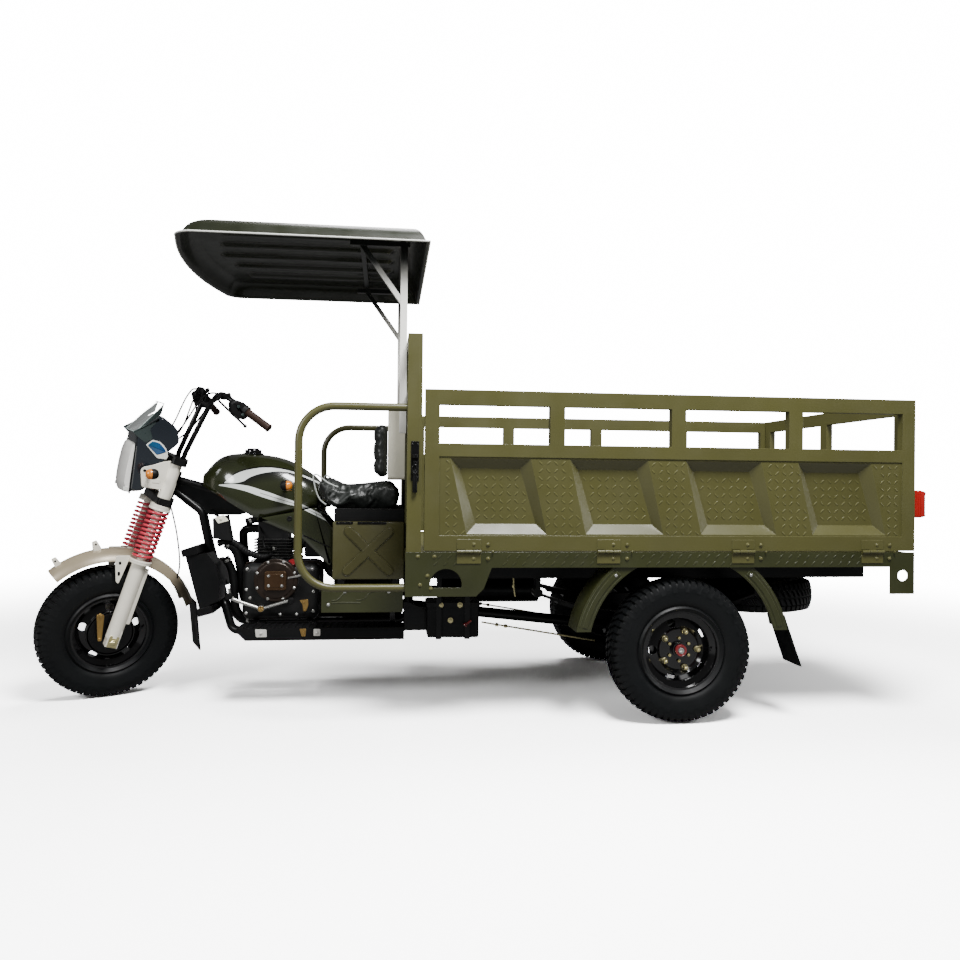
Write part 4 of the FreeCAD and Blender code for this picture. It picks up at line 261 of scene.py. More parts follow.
looks = {
    "olivePaint": {"colour": (0.064, 0.062, 0.0165), "roughness": 0.40, "coat": 0.15, "coatRoughness": 0.22,
                   "vary": 0.10, "patch": 3, "grain": 420, "bump": 0.10, "edge": (0.16, 0.15, 0.07),
                   "edgeShare": 0.5},
    "blackPaint": {"colour": (0.0022, 0.0022, 0.0024), "roughness": 0.34, "specular": 0.22, "coat": 0.06,
                   "vary": 0.2, "grain": 300, "bump": 0.12, "edge": (0.03, 0.03, 0.03), "edgeShare": 0.4},
    "glossBlack": {"colour": (0.0018, 0.0018, 0.0020), "roughness": 0.12, "specular": 0.35, "coat": 0.35,
                   "coatRoughness": 0.05, "vary": 0.2, "roughVary": 0.06, "grain": 260, "bump": 0.05,
                   "edge": (0.02, 0.02, 0.02)},
    "blackPlastic": {"colour": (0.0032, 0.0032, 0.0034), "roughness": 0.5, "specular": 0.2, "grain": 900,
                     "bump": 0.2, "edge": (0.02, 0.02, 0.02)},
    "canopyShell": {"colour": (0.010, 0.012, 0.0055), "roughness": 0.34, "specular": 0.3, "coat": 0.2,
                    "vary": 0.2, "patch": 4, "grain": 120, "bump": 0.06},
    "greyPaint": {"colour": (0.62, 0.61, 0.56), "roughness": 0.36, "metallic": 0.1, "vary": 0.08,
                  "grain": 500, "edge": (0.6, 0.6, 0.58)},
    "champagne": {"colour": (0.86, 0.82, 0.70), "roughness": 0.34, "metallic": 0.12, "coat": 0.25,
                  "vary": 0.06, "grain": 350, "bump": 0.10, "edge": (0.92, 0.90, 0.82), "edgeShare": 0.4},
    # a darker copy of the pale fork paint for the front mudguard: painted shade
    "champagnePaintedShade": {"colour": (0.27, 0.225, 0.155), "roughness": 0.36, "metallic": 0.2, "vary": 0.06,
                  "grain": 350, "bump": 0.10, "edge": (0.72, 0.69, 0.60), "edgeShare": 0.4},
    "redPaint": {"colour": (0.50, 0.030, 0.055), "roughness": 0.28, "coat": 0.4, "vary": 0.12, "grain": 500,
                 "edge": (0.5, 0.1, 0.1), "edgeShare": 0.3},
    "cream": {"colour": (0.84, 0.81, 0.66), "roughness": 0.4, "vary": 0.06, "grain": 600,
              "edge": (0.92, 0.92, 0.84)},
    "castAlloy": {"colour": (0.0075, 0.0075, 0.0075), "roughness": 0.42, "specular": 0.3, "vary": 0.35,
                  "patch": 14, "grain": 900, "bump": 0.35, "edge": (0.20, 0.20, 0.19), "edgeShare": 0.45,
                  "edgeRadius": 0.003},
    "bronze": {"colour": (0.055, 0.028, 0.012), "roughness": 0.36, "metallic": 0.6, "vary": 0.2, "grain": 500,
               "edge": (0.2, 0.14, 0.08)},
    "steel": {"colour": (0.55, 0.55, 0.52), "roughness": 0.28, "metallic": 0.95, "vary": 0.1, "grain": 600,
              "edge": (0.8, 0.8, 0.8)},
    "zinc": {"colour": (0.62, 0.56, 0.30), "roughness": 0.26, "metallic": 0.9, "vary": 0.18, "grain": 600},
    "brass": {"colour": (0.42, 0.27, 0.09), "roughness": 0.3, "metallic": 0.9, "vary": 0.2, "grain": 600},
    "rubber": {"colour": (0.0035, 0.0035, 0.0038), "roughness": 0.6, "specular": 0.15, "vary": 0.2,
               "grain": 800, "bump": 0.25},
    "gripRubber": {"colour": (0.022, 0.010, 0.006), "roughness": 0.5, "specular": 0.2, "vary": 0.2,
                   "grain": 900, "bump": 0.3},
    "tyreRubber": {"colour": (0.0026, 0.0031, 0.0036), "roughness": 0.46, "specular": 0.22, "vary": 0.2,
                   "patch": 7, "bump": 0.25, "dust": (0.03, 0.030, 0.026), "dustShare": 0.08},
    "navyShell": {"colour": (0.0045, 0.0075, 0.0120), "roughness": 0.2, "specular": 0.35, "coat": 0.5,
                  "vary": 0.2, "grain": 400, "bump": 0.05, "edge": (0.05, 0.06, 0.07)},
    "smokedScreen": {"colour": (0.42, 0.47, 0.46), "roughness": 0.08, "clear": 0.72, "coat": 0.3,
                     "vary": 0.04, "roughVary": 0.03, "speckShare": 0, "bump": 0.0},
    # a near-white lens that lets little through: painted reflection of the bright mirror behind the clear
    # glass
    "clearLensAndReflection": {"colour": (0.97, 0.95, 0.90), "roughness": 0.06, "clear": 0.25, "coat": 0.5, "vary": 0.05,
                  "roughVary": 0.03, "speckShare": 0, "bump": 0.02},
    "amberLens": {"colour": (0.85, 0.26, 0.015), "roughness": 0.16, "clear": 0.25, "coat": 0.5, "vary": 0.08,
                  "grain": 300, "bump": 0.1},
    "redLens": {"colour": (0.45, 0.01, 0.008), "roughness": 0.15, "clear": 0.2, "coat": 0.5, "vary": 0.08,
                "grain": 300, "bump": 0.1},
    "leather": {"colour": (0.0085, 0.0105, 0.0090), "roughness": 0.46, "specular": 0.35, "coat": 0.22,
                "coatRoughness": 0.30, "vary": 0.2, "patch": 9, "grain": 520, "bump": 0.35,
                "bumpDeep": 0.0008},
    "oliveWorn": {"colour": (0.080, 0.077, 0.022), "roughness": 0.38, "vary": 0.12, "patch": 8, "grain": 420,
                  "bump": 0.10, "edge": (0.24, 0.23, 0.11), "edgeShare": 0.7, "edgeRadius": 0.0012},
    # olive paint darkened for the skirts, steps and rear mudguards: painted shade for the low parts of the
    # vehicle
    "olivePaintedShade": {"colour": (0.024, 0.027, 0.0075), "roughness": 0.36, "patch": 4, "grain": 420, "bump": 0.10,
                  "edge": (0.12, 0.12, 0.05), "edgeShare": 0.5},
    # olive paint darkened for the seat box: painted shade for its low place under the seat
    "oliveBoxPaintedShade": {"colour": (0.040, 0.038, 0.0100), "roughness": 0.38, "vary": 0.10, "patch": 3, "grain": 420,
                 "edge": (0.11, 0.105, 0.05)},
    "bronzeDark": {"colour": (0.020, 0.012, 0.008), "roughness": 0.34, "metallic": 0.5, "vary": 0.3,
                   "patch": 12, "grain": 500, "edge": (0.10, 0.08, 0.06)},
    "capRed": {"colour": (0.16, 0.010, 0.012), "roughness": 0.25, "coat": 0.4, "vary": 0.1, "grain": 500,
               "edge": (0.3, 0.05, 0.04), "edgeShare": 0.3},
    "trimWhite": {"colour": (0.68, 0.69, 0.64), "roughness": 0.35, "vary": 0.08, "grain": 500,
                  "edge": (0.85, 0.85, 0.8), "edgeShare": 0.3},
    "trimGlass": {"colour": (0.30, 0.36, 0.34), "roughness": 0.2, "vary": 0.1, "grain": 500},
    "greyGreen": {"colour": (0.020, 0.030, 0.029), "roughness": 0.3, "specular": 0.35, "coat": 0.3,
                  "patch": 12, "grain": 400, "edge": (0.2, 0.24, 0.22), "edgeShare": 0.4},
    "blueLens": {"colour": (0.006, 0.040, 0.150), "roughness": 0.12, "coat": 0.6, "vary": 0.3, "patch": 24,
                 "grain": 300, "dust": (0.010, 0.130, 0.060), "dustShare": 0.9},
    "lampMirror": {"colour": (0.95, 0.91, 0.84), "roughness": 0.22, "metallic": 0.9, "vary": 0.35,
                   "patch": 26, "grain": 300, "bump": 0.1},
    "screenClear": {"colour": (0.93, 0.96, 0.94), "roughness": 0.05, "specular": 0.3, "alpha": 0.08,
                    "vary": 0.02, "roughVary": 0.02, "speckShare": 0, "bump": 0.0},
    "piping": {"colour": (0.36, 0.38, 0.36), "roughness": 0.4, "vary": 0.1, "grain": 600},
}
finishes = {name: madeFinish(name, look) for name, look in looks.items()}

# pale enamel, with painted shade ('dark') fading in between 'low' and 'high' under the canopy
postPaintAndShade = {"pale": (0.88, 0.87, 0.81), "dark": (0.010, 0.012, 0.010), "edge": (0.94, 0.93, 0.90),
             "low": 1.74, "high": 1.86, "shift": (0.03, -0.015), "roughness": 0.36}
tankArt = {
    # edges of the side decal as (x, z) in metres, from the nose of the tank to its rear
    "crescentTop": [(-1.087, 0.938), (-1.064, 0.960), (-1.026, 0.984), (-0.971, 1.001), (-0.909, 1.008),
                    (-0.854, 1.004), (-0.791, 0.990), (-0.700, 0.954)],
    "crescentLow": [(-1.087, 0.938), (-1.010, 0.944), (-0.971, 0.966), (-0.909, 0.985), (-0.830, 0.989),
                    (-0.775, 0.976), (-0.700, 0.945)],
    "stripeTop": [(-1.118, 0.931), (-1.009, 0.932), (-0.916, 0.908), (-0.829, 0.878), (-0.774, 0.858),
                  (-0.719, 0.834), (-0.620, 0.785)],
    "stripeLow": [(-1.102, 0.925), (-1.009, 0.908), (-0.915, 0.877), (-0.829, 0.852), (-0.773, 0.838),
                  (-0.719, 0.814), (-0.620, 0.762)],
    # where each band begins, the half width of the stripe's split, and how far the black field fades
    "crescentFrom": -1.085, "outlineFrom": -1.09, "fieldFrom": -1.03, "stripeFrom": -1.11, "splitFrom": -0.93,
    "splitHalf": 0.0017, "fieldFade": 0.045,
    "span": (-1.18, -0.60), "rise": (0.68, 1.08), "outline": 0.006, "soft": 0.0012,
    "olive": (0.016, 0.019, 0.0070), "white": (0.66, 0.69, 0.66), "black": (0.004, 0.004, 0.004),
    "roof": 0.05,
}


def edgeCurve(tree, across, points):
    # the height of one decal edge at each place along the tank
    (start, end), (low, high) = tankArt["span"], tankArt["rise"]
    node = tree.nodes.new("ShaderNodeFloatCurve")
    curve = node.mapping.curves[0]
    shares = [((x - start) / (end - start), (z - low) / (high - low)) for x, z in points]
    curve.points[0].location, curve.points[1].location = shares[0], shares[-1]
    for share in shares[1:-1]:
        curve.points.new(*share)
    node.mapping.update()
    tree.links.new(across, node.inputs["Value"])
    return mathNode(tree, "MULTIPLY_ADD", node.outputs[0], high - low, low)


def tankMaterial():
    material = madeFinish("tankPaint", {"colour": tankArt["olive"], "roughness": 0.16, "vary": 0.08,
                                        "patch": 3, "grain": 300, "bump": 0.03, "coat": 0.8,
                                        "coatRoughness": 0.05, "roughVary": 0.06})
    tree = material.node_tree
    shader = tree.nodes["Principled BSDF"]
    paint = shader.inputs["Base Color"].links[0].from_socket
    parts = addNode(tree, "SeparateXYZ")
    tree.links.new(objectPlace(tree), parts.inputs[0])
    start, end = tankArt["span"]
    across = mathNode(tree, "DIVIDE", mathNode(tree, "SUBTRACT", parts.outputs[0], start), end - start,
                      clamp=True)
    heights = {word: edgeCurve(tree, across, tankArt[word])
               for word in ("crescentTop", "crescentLow", "stripeTop", "stripeLow")}

    def band(top, low, grow):
        # 1 between two edges, each moved outwards by grow
        above = mathNode(tree, "SUBTRACT", parts.outputs[2], mathNode(tree, "SUBTRACT", low, grow))
        below = mathNode(tree, "SUBTRACT", mathNode(tree, "ADD", top, grow), parts.outputs[2])
        return mathNode(tree, "MULTIPLY", *(mathNode(tree, "DIVIDE", reach, tankArt["soft"], clamp=True)
                                            for reach in (above, below)))

    def after(place):
        return mathNode(tree, "GREATER_THAN", parts.outputs[0], place)

    def decal(top, low, grow, word):
        return mathNode(tree, "MULTIPLY", band(heights[top], heights[low], grow), after(tankArt[word]))

    crescent = decal("crescentTop", "crescentLow", 0.0, "crescentFrom")
    around = decal("crescentTop", "crescentLow", tankArt["outline"], "outlineFrom")
    field = decal("crescentLow", "stripeTop", 0.0, "fieldFrom")
    fade = addNode(tree, "MapRange", From_Min=0.0, From_Max=tankArt["fieldFade"], To_Min=1.0, To_Max=0.1)
    tree.links.new(mathNode(tree, "SUBTRACT", heights["crescentLow"], parts.outputs[2]), fade.inputs["Value"])
    stripe = decal("stripeTop", "stripeLow", 0.0, "stripeFrom")
    both = mathNode(tree, "ADD", heights["stripeTop"], heights["stripeLow"])
    heights["split"] = mathNode(tree, "MULTIPLY", both, 0.5)
    split = decal("split", "split", tankArt["splitHalf"], "splitFrom")
    colour = mixColours(tree, mathNode(tree, "MULTIPLY", field, fade.outputs[0]), paint, tankArt["black"])
    colour = mixColours(tree, around, colour, tankArt["black"])
    for mask in (crescent, stripe):
        colour = mixColours(tree, mask, colour, tankArt["white"])
    colour = mixColours(tree, split, colour, tankArt["black"])
    side = addNode(tree, "MapRange", From_Min=tankArt["roof"] - 0.004, From_Max=tankArt["roof"])
    tree.links.new(mathNode(tree, "ABSOLUTE", parts.outputs[1]), side.inputs["Value"])
    tree.links.new(mixColours(tree, side.outputs[0], paint, colour), shader.inputs["Base Color"])
    return material


finishes["tankPaint"] = tankMaterial()


def postMaterial():
    # pale enamel that gives way to painted shade, dark near the top under the canopy
    material, tree, shader = newMaterial("postPaintAndShade")
    split = addNode(tree, "SeparateXYZ")
    tree.links.new(objectPlace(tree), split.inputs[0])
    shift = mathNode(tree, "MULTIPLY_ADD", noiseMask(tree, 9, 0.3, 0.7), *postPaintAndShade["shift"])
    step = addNode(tree, "MapRange", interpolation_type="SMOOTHSTEP", From_Min=postPaintAndShade["low"],
                   From_Max=postPaintAndShade["high"])
    tree.links.new(mathNode(tree, "ADD", split.outputs["Z"], shift), step.inputs["Value"])
    mask, normal = edgeMask(tree, 0.002)
    worn = mixColours(tree, mathNode(tree, "MULTIPLY", mask, noiseMask(tree, 50, 0.35, 0.6)),
                      postPaintAndShade["pale"], postPaintAndShade["edge"])
    tree.links.new(mixColours(tree, step.outputs[0], worn, postPaintAndShade["dark"]), shader.inputs["Base Color"])
    tree.links.new(normal, shader.inputs["Normal"])
    shader.inputs["Roughness"].default_value = postPaintAndShade["roughness"]
    return material


finishes["postPaintAndShade"] = postMaterial()
nodeFinishes = {
    "olivePaint": ["left_gate", "right_gate", "tailgate", "cargo_floor", "hinge_leaves",
                   "rear_beam", "headboard", "guard_hoops", "seat_box"],
    # the low parts take the olive darkened as painted shade
    "olivePaintedShade": ["side_skirts", "step_plates", "rear_mudguards"],
    "blackPaint": ["bed_frame", "front_frame", "exhaust", "rear_axle", "leaf_springs", "drive_shaft",
                   "handlebar", "radiator", "gate_latches", "fork_yokes", "front_brake"],
    "glossBlack": ["front_rim", "rear_left_rim", "rear_right_rim", "spare_rim"],
    "blackPlastic": ["seat_base", "hand_levers", "engine_fittings"],
    # the canopy frame's paint carries painted shade near its top
    "canopyShell": ["canopy_shell"], "postPaintAndShade": ["canopy_frame"],
    # the front mudguard takes the fork's paint darkened as painted shade
    "champagne": ["fork_legs", "lamp_brackets"], "champagnePaintedShade": ["front_mudguard"],
    "redPaint": ["fork_springs"], "cream": ["backrest"], "castAlloy": ["engine_block"],
    "bronze": ["engine_cover"], "steel": ["foot_levers", "spare_hanger"],
    "rubber": ["foot_boards", "rear_mud_flaps", "front_mud_flap", "control_cables"],
    "gripRubber": ["hand_grips"], "navyShell": ["headlight_cowl"], "smokedScreen": ["windshield"],
    # the headlight lens carries a painted reflection in its near-white colour
    "clearLensAndReflection": ["headlight_lens"], "amberLens": ["front_indicators", "side_indicators"],
    "redLens": ["tail_lamps"], "tankPaint": ["fuel_tank", "side_covers"],
    "tyreRubber": ["front_tyre", "rear_left_tyre", "rear_right_tyre", "spare_tyre"],
    "leather": ["seat_cushion", "back_cushion"],
}


def paintNodes():
    for finish, names in nodeFinishes.items():
        for name in names:
            for holder in nodes[name].material_slots:
                holder.material = finishes[finish]
    print("nodes painted")


# making pieces

def piece(name, shape, finish, body, degrees=35):
    # an object that rides on a body, shaded smooth but for edges over so many degrees
    mesh = bpy.data.meshes.new(name)
    mesh.from_pydata([tuple(point) for point in shape[0]], [], shape[1])
    mesh.materials.append(finishes[finish])
    mesh.shade_smooth()
    mesh.set_sharp_from_angle(angle=math.radians(degrees))
    made = bpy.data.objects.new(name, mesh)
    bpy.context.scene.collection.objects.link(made)
    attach(made, body)
    return made


def addMesh(points, faces, morePoints, moreFaces):
    start = len(points)
    points.extend(morePoints)
    faces.extend([tuple(start + index for index in face) for face in moreFaces])


def ringFaces(count, length, closed=True):
    # quads between rows of the same length
    faces = []
    for row in range(count - 1):
        for index in range(length if closed else length - 1):
            after = (index + 1) % length
            faces.append((row * length + index, row * length + after, (row + 1) * length + after,
                          (row + 1) * length + index))
    return faces


# tyres: a lathe form with lug rows that wrap over the shoulders

tyre = {
    "radius": 0.2895, "half": 0.0705, "bead": 0.1535, "beadHalf": 0.0497, "groove": 0.0085,
    "shoulder": 0.2780, "treadHalf": 0.0620, "pitches": 62, "turns": 124, "lugGap": 0.26,
    # lug rows as shares across the tread: over the shoulder with its two ends in turn, and near the middle
    "shoulderLug": (0.62, 0.8, 1.0, 1.2), "lugEnds": (1.38, 1.62), "shoulderLean": 0.10,
    "middleLug": (0.08, 0.22, 0.38, 0.52), "middleWide": 0.66, "middleLean": 0.55, "middleShift": 0.3,
    "wallDrop": 0.052, "wallSteps": 14, "mouldRibs": (4, 9, 11), "ribHigh": 0.0012,
}
wheels = {
    "front_tyre": ("front_wheel", "front_wheel_spin"),
    "rear_left_tyre": ("rear_wheel_left", "rear_wheel_left_spin"),
    "rear_right_tyre": ("rear_wheel_right", "rear_wheel_right_spin"), "spare_tyre": ("vehicle", None),
}
spare = {"place": (1.343, 0, 0.446)}


def wheelTurn(name, outward=False):
    # from the wheel's own axes, its axle along Y, to its place
    # outward puts the near side out on the right too
    joint = wheels[name][1]
    if joint is None:
        return Matrix.Translation(spare["place"]) @ Matrix.Rotation(math.radians(90), 4, "X")
    turn = Vector((0, 1, 0)).rotation_difference(Vector(joints[joint]["axis"])).to_matrix().to_4x4()
    turn = Matrix.Translation(joints[joint]["pos_m"]) @ turn
    return turn @ Matrix.Rotation(math.pi, 4, "Z") if outward and name == "rear_right_tyre" else turn


def tyreSide(share):
    # outline of the tread and shoulder: share -1...1 across, beyond that down the wall
    reach = abs(share)
    if reach <= 1:
        place = reach * tyre["treadHalf"]
        radius = tyre["radius"] - (tyre["radius"] - tyre["shoulder"]) * reach ** 2.2
    else:
        drop = reach - 1
        place = tyre["treadHalf"] + (tyre["half"] - tyre["treadHalf"]) * math.sin(min(drop, 1) * math.pi / 2)
        radius = tyre["shoulder"] - tyre["wallDrop"] * drop
    return Vector((radius, math.copysign(place, share)))


def tyreCarcass(points, faces):
    # groove floor across the tread, then a bulging wall with two mould ribs down to the bead
    profile = []
    for step in range(13):
        share = -1 + step / 6
        spot = tyreSide(share)
        profile.append((spot.x - tyre["groove"], spot.y * 0.985))
    wall = []
    for step in range(1, tyre["wallSteps"] + 1):
        share = step / tyre["wallSteps"]
        radius = tyre["shoulder"] - tyre["groove"] * (1 - share) + (tyre["bead"] - tyre["shoulder"]) * share
        bulge = math.sin(math.pi * min(1, share * 1.05 + 0.16)) ** 0.6 if share < 0.8 else None
        place = tyre["beadHalf"] + (tyre["half"] - 0.0008 - tyre["beadHalf"]) * (
            bulge if bulge is not None else max(0, (1 - share) / 0.2) * 0.86)
        if step in tyre["mouldRibs"]:
            place += tyre["ribHigh"]
        wall.append((radius, place))
    profile = [(radius, -place) for radius, place in reversed(wall)] + profile + wall
    rows = [[Vector((radius * math.cos(angle), place, radius * math.sin(angle))) for radius, place in profile]
            for angle in (2 * math.pi * turn / tyre["turns"] for turn in range(tyre["turns"] + 1))]
    addMesh(points, faces, [point for row in rows for point in row],
            ringFaces(len(rows), len(profile), closed=False))


def tyreLug(points, faces, turn, shares, wide, lean):
    # one block: a strip that follows the outline from share to share, its top a little narrower
    rows = []
    for step, share in enumerate(shares):
        spot = tyreSide(share)
        along = (step / (len(shares) - 1) - 0.5) * lean
        for level, grow in ((0, 1.0), (1, 0.86)):
            half = wide * grow / 2
            radius = spot.x - (tyre["groove"] + 0.002 if level == 0 else 0.0)
            push = 0 if abs(share) <= 1 else (0.0005 if level else -0.003)
            for side in (-1, 1):
                angle = turn + (side * half + along) / tyre["radius"]
                place = spot.y + math.copysign(push, share)
                rows.append(Vector((radius * math.cos(angle), place, radius * math.sin(angle))))
    made, count = [], len(shares)
    for step in range(count - 1):
        low, high = step * 4, step * 4 + 4
        made += [(low + 2, low + 3, high + 3, high + 2), (low, low + 2, high + 2, high),
                 (low + 3, low + 1, high + 1, high + 3)]
    last = (count - 1) * 4
    made += [(0, 1, 3, 2), (last + 1, last, last + 2, last + 3)]
    addMesh(points, faces, rows, made)


def addTyre(name):
    points, faces = [], []
    tyreCarcass(points, faces)
    pitch = 2 * math.pi / tyre["pitches"]
    wide = tyre["radius"] * pitch
    for index in range(tyre["pitches"]):
        turn = index * pitch
        for side in (-1, 1):
            half = pitch / 2 if side > 0 else 0
            shoulder = (*tyre["shoulderLug"], tyre["lugEnds"][index % 2])
            tyreLug(points, faces, turn + half, [side * share for share in shoulder],
                    wide * (1 - tyre["lugGap"]), wide * tyre["shoulderLean"] * side)
            tyreLug(points, faces, turn + half + pitch * tyre["middleShift"],
                    [side * share for share in tyre["middleLug"]], wide * tyre["middleWide"],
                    wide * tyre["middleLean"] * side)
    body = wheels[name][0]
    made = piece(name.replace("_tyre", "_tread"), ([wheelTurn(name) @ point for point in points], faces),
                 "tyreRubber", body, 32)
    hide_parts(name)
    return made


# shapes that many pieces share: each adds to a pair of lists, points and faces

def placed(place, axis, roll=0):
    # local Z along the axis
    turn = Vector(axis).normalized().to_track_quat("Z", "Y")
    return Matrix.Translation(place) @ turn.to_matrix().to_4x4() @ Matrix.Rotation(roll, 4, "Z")


def flank(x, out, z, side):
    # a place on the vehicle's flank, local Z outwards
    return placed((x, side * out, z), (0, side, 0))


def mirrored(point, side):
    return Vector((point[0], side * point[1], point[2]))


def corners(start, low, end, high):
    return [(start, low), (end, low), (end, high), (start, high)]


def flankRoute(route, y):
    return [Vector((x, y, z)) for x, z in route]


def shapes(count):
    return [([], []) for _ in range(count)]


def addRows(shape, rows, closed=True, capped=True):
    length = len(rows[0])
    faces = ringFaces(len(rows), length, closed)
    if capped:
        faces += [tuple(reversed(range(length))), tuple(range((len(rows) - 1) * length, len(rows) * length))]
    addMesh(*shape, [point for row in rows for point in row], faces)


def lathe(shape, where, profile, steps=24):
    # profile is a run of (radius, height) round local Z
    angles = [2 * math.pi * step / steps for step in range(steps)]
    addRows(shape, [[where @ Vector((radius * math.cos(angle), radius * math.sin(angle), high))
                     for angle in angles] for radius, high in profile])


def bolt(shape, place, axis, radius, high, roll=0.3):
    # washer, hexagon with a turned top, and the stud's end
    where = placed(place, axis, roll)
    lathe(shape, where, [(radius * 1.4, -0.001), (radius * 1.5, 0.12 * high), (radius * 1.4, 0.24 * high)],
          18)
    lathe(shape, where, [(radius * 1.1, 0.1 * high), (radius * 1.1, 0.85 * high), (radius * 0.94, high)], 6)
    lathe(shape, where, [(radius * 0.6, 0.9 * high), (radius * 0.56, 1.22 * high),
                         (radius * 0.4, 1.3 * high)], 12)


def smoothRoute(route, count=8):
    # a smooth run through given points
    points = [Vector(point) for point in route]
    path, last = [], len(points) - 1
    for index in range(last):
        before, start, end = points[max(index - 1, 0)], points[index], points[index + 1]
        after = points[min(index + 2, last)]
        for step in range(count):
            share = step / count
            path.append(0.5 * (2 * start + (end - before) * share
                               + (2 * before - 5 * start + 4 * end - after) * share ** 2
                               + (3 * start - before - 3 * end + after) * share ** 3))
    return path + [points[-1]]


def sweep(shape, path, radius, sides=10, closed=False):
    # a round tube along a path; radius is one number, or one for each point
    radii = radius if isinstance(radius, list) else [radius] * len(path)
    rows, up, last = [], None, len(path) - 1
    for index, spot in enumerate(path):
        ahead = (path[min(index + 1, last)] - path[max(index - 1, 0)]).normalized()
        up = ahead.orthogonal().normalized() if up is None else (up - ahead * up.dot(ahead)).normalized()
        side = ahead.cross(up)
        rows.append([spot + (up * math.cos(angle) + side * math.sin(angle)) * radii[index]
                     for angle in (2 * math.pi * step / sides for step in range(sides))])
    addRows(shape, rows, capped=not closed)


def inset(outline, away):
    # an outline that runs anticlockwise, drawn in by so much
    count, made = len(outline), []
    for index in range(count):
        here = Vector(outline[index])
        back = (here - Vector(outline[index - 1])).normalized()
        ahead = (Vector(outline[(index + 1) % count]) - here).normalized()
        normal = Vector((-back.y - ahead.y, back.x + ahead.x)).normalized()
        reach = away / max(0.35, math.sqrt(max(0, (1 + back.dot(ahead)) / 2)))
        made.append(here + normal * reach)
    return made


def rounded(outline, radius, steps=4):
    # the outline with its corners turned
    count, made = len(outline), []
    for index in range(count):
        here, back = Vector(outline[index]), Vector(outline[index - 1])
        ahead = Vector(outline[(index + 1) % count])
        start = here + (back - here).normalized() * min(radius, (back - here).length * 0.45)
        end = here + (ahead - here).normalized() * min(radius, (ahead - here).length * 0.45)
        for step in range(steps + 1):
            share = step / steps
            made.append(start * (1 - share) ** 2 + here * 2 * share * (1 - share) + end * share ** 2)
    return made


def rectangle(wide, high, radius=0.0, steps=4):
    outline = [(-wide / 2, -high / 2), (wide / 2, -high / 2), (wide / 2, high / 2), (-wide / 2, high / 2)]
    return rounded(outline, radius, steps) if radius else [Vector(corner) for corner in outline]


def slab(shape, where, outline, thick, bevel=0.001, dome=0.0):
    # a stamped plate from local z = 0 to its thickness, its rims broken; dome raises the middle
    rows = [(inset(outline, bevel), 0), (outline, bevel), (outline, thick - bevel),
            (inset(outline, bevel), thick)]
    if dome:
        rows += [(inset(outline, bevel * 3), thick + dome * 0.55), (inset(outline, bevel * 6), thick + dome)]
    addRows(shape, [[where @ Vector((point[0], point[1], high)) for point in row] for row, high in rows])


def anticlockwise(outline):
    area = sum(outline[index - 1][0] * point[1] - point[0] * outline[index - 1][1]
               for index, point in enumerate(outline))
    return outline if area >= 0 else outline[::-1]


def sidePlate(shape, outline, out, thick, side, turn=None, bevel=0.001, dome=0.0):
    # a plate that stands on a flank at y = side * out, from an outline in x and z
    points = anticlockwise([Vector((point[0], point[1])) for point in outline])
    if side < 0:
        where = Matrix(((1, 0, 0, 0), (0, 0, -1, -out), (0, 1, 0, 0), (0, 0, 0, 1)))
    else:
        where = Matrix(((-1, 0, 0, 0), (0, 0, 1, out), (0, 1, 0, 0), (0, 0, 0, 1)))
        points = [Vector((-point.x, point.y)) for point in reversed(points)]
    slab(shape, (turn or Matrix.Identity(4)) @ where, points, thick, bevel, dome)


# steering parts are drawn straight ahead, then turned with the parked bar

steering = {"foot": (-1.562, 0.0, 0.2802), "rake": 18.72, "parked": 28.56}
steerFoot = Vector(steering["foot"])
steerLine = Vector((math.sin(math.radians(steering["rake"])), 0, math.cos(math.radians(steering["rake"]))))
steerTurn = (Matrix.Translation(steerFoot) @ Matrix.Rotation(math.radians(steering["parked"]), 4, steerLine)
             @ Matrix.Translation(-steerFoot))
forkTurn = steerTurn @ Matrix.Translation(steerFoot) @ Matrix.Rotation(math.radians(steering["rake"]), 4, "Y")

# chequer plate: two lattices of raised bars, a quarter turn apart

# front edge of the bed, from which the starts of pressings and hinges are counted
bedFront = -0.245
gatePlate = {
    "long": 2.0, "face": 0.646, "floor": 0.616, "front": 0.055, "back": 1.945, "low": 0.748, "high": 1.050,
    "first": 0.098, "wide": 0.312, "pitch": 0.467, "slant": 0.064, "pressLow": 0.754, "pressHigh": 1.044,
    "bevel": 0.038, "presses": 4,
}
tailPlate = {
    "half": 0.608, "face": 1.751, "floor": 1.721, "front": -0.550, "back": 0.550, "low": 0.748, "high": 1.050,
    "starts": (-0.547, 0.003), "wide": 0.544, "pressLow": 0.754, "pressHigh": 1.044, "bevel": 0.038,
}
chequer = {"pitch": 0.0300, "long": 0.0235, "wide": 0.0064, "high": 0.0017, "margin": 0.0095}


def chequerBar(shape, where, lean):
    # one raised bar: a pointed oval foot and a narrow crest
    half, side, high = chequer["long"] / 2, chequer["wide"] / 2, chequer["high"]
    turn = where @ Matrix.Rotation(lean, 4, "Z")
    rows = []
    for grow, slim, level in ((1.0, 1.0, -0.0006), (0.93, 0.80, high * 0.65), (0.72, 0.30, high)):
        row = []
        for across, along in ((-1, 0), (-0.62, -0.8), (0, -1), (0.62, -0.8), (1, 0), (0.62, 0.8), (0, 1),
                              (-0.62, 0.8)):
            row.append(turn @ Vector((across * half * grow, along * side * slim, level)))
        rows.append(row)
    addRows(shape, rows)


def inSpan(value, start, end):
    return start + chequer["margin"] <= value <= end - chequer["margin"]


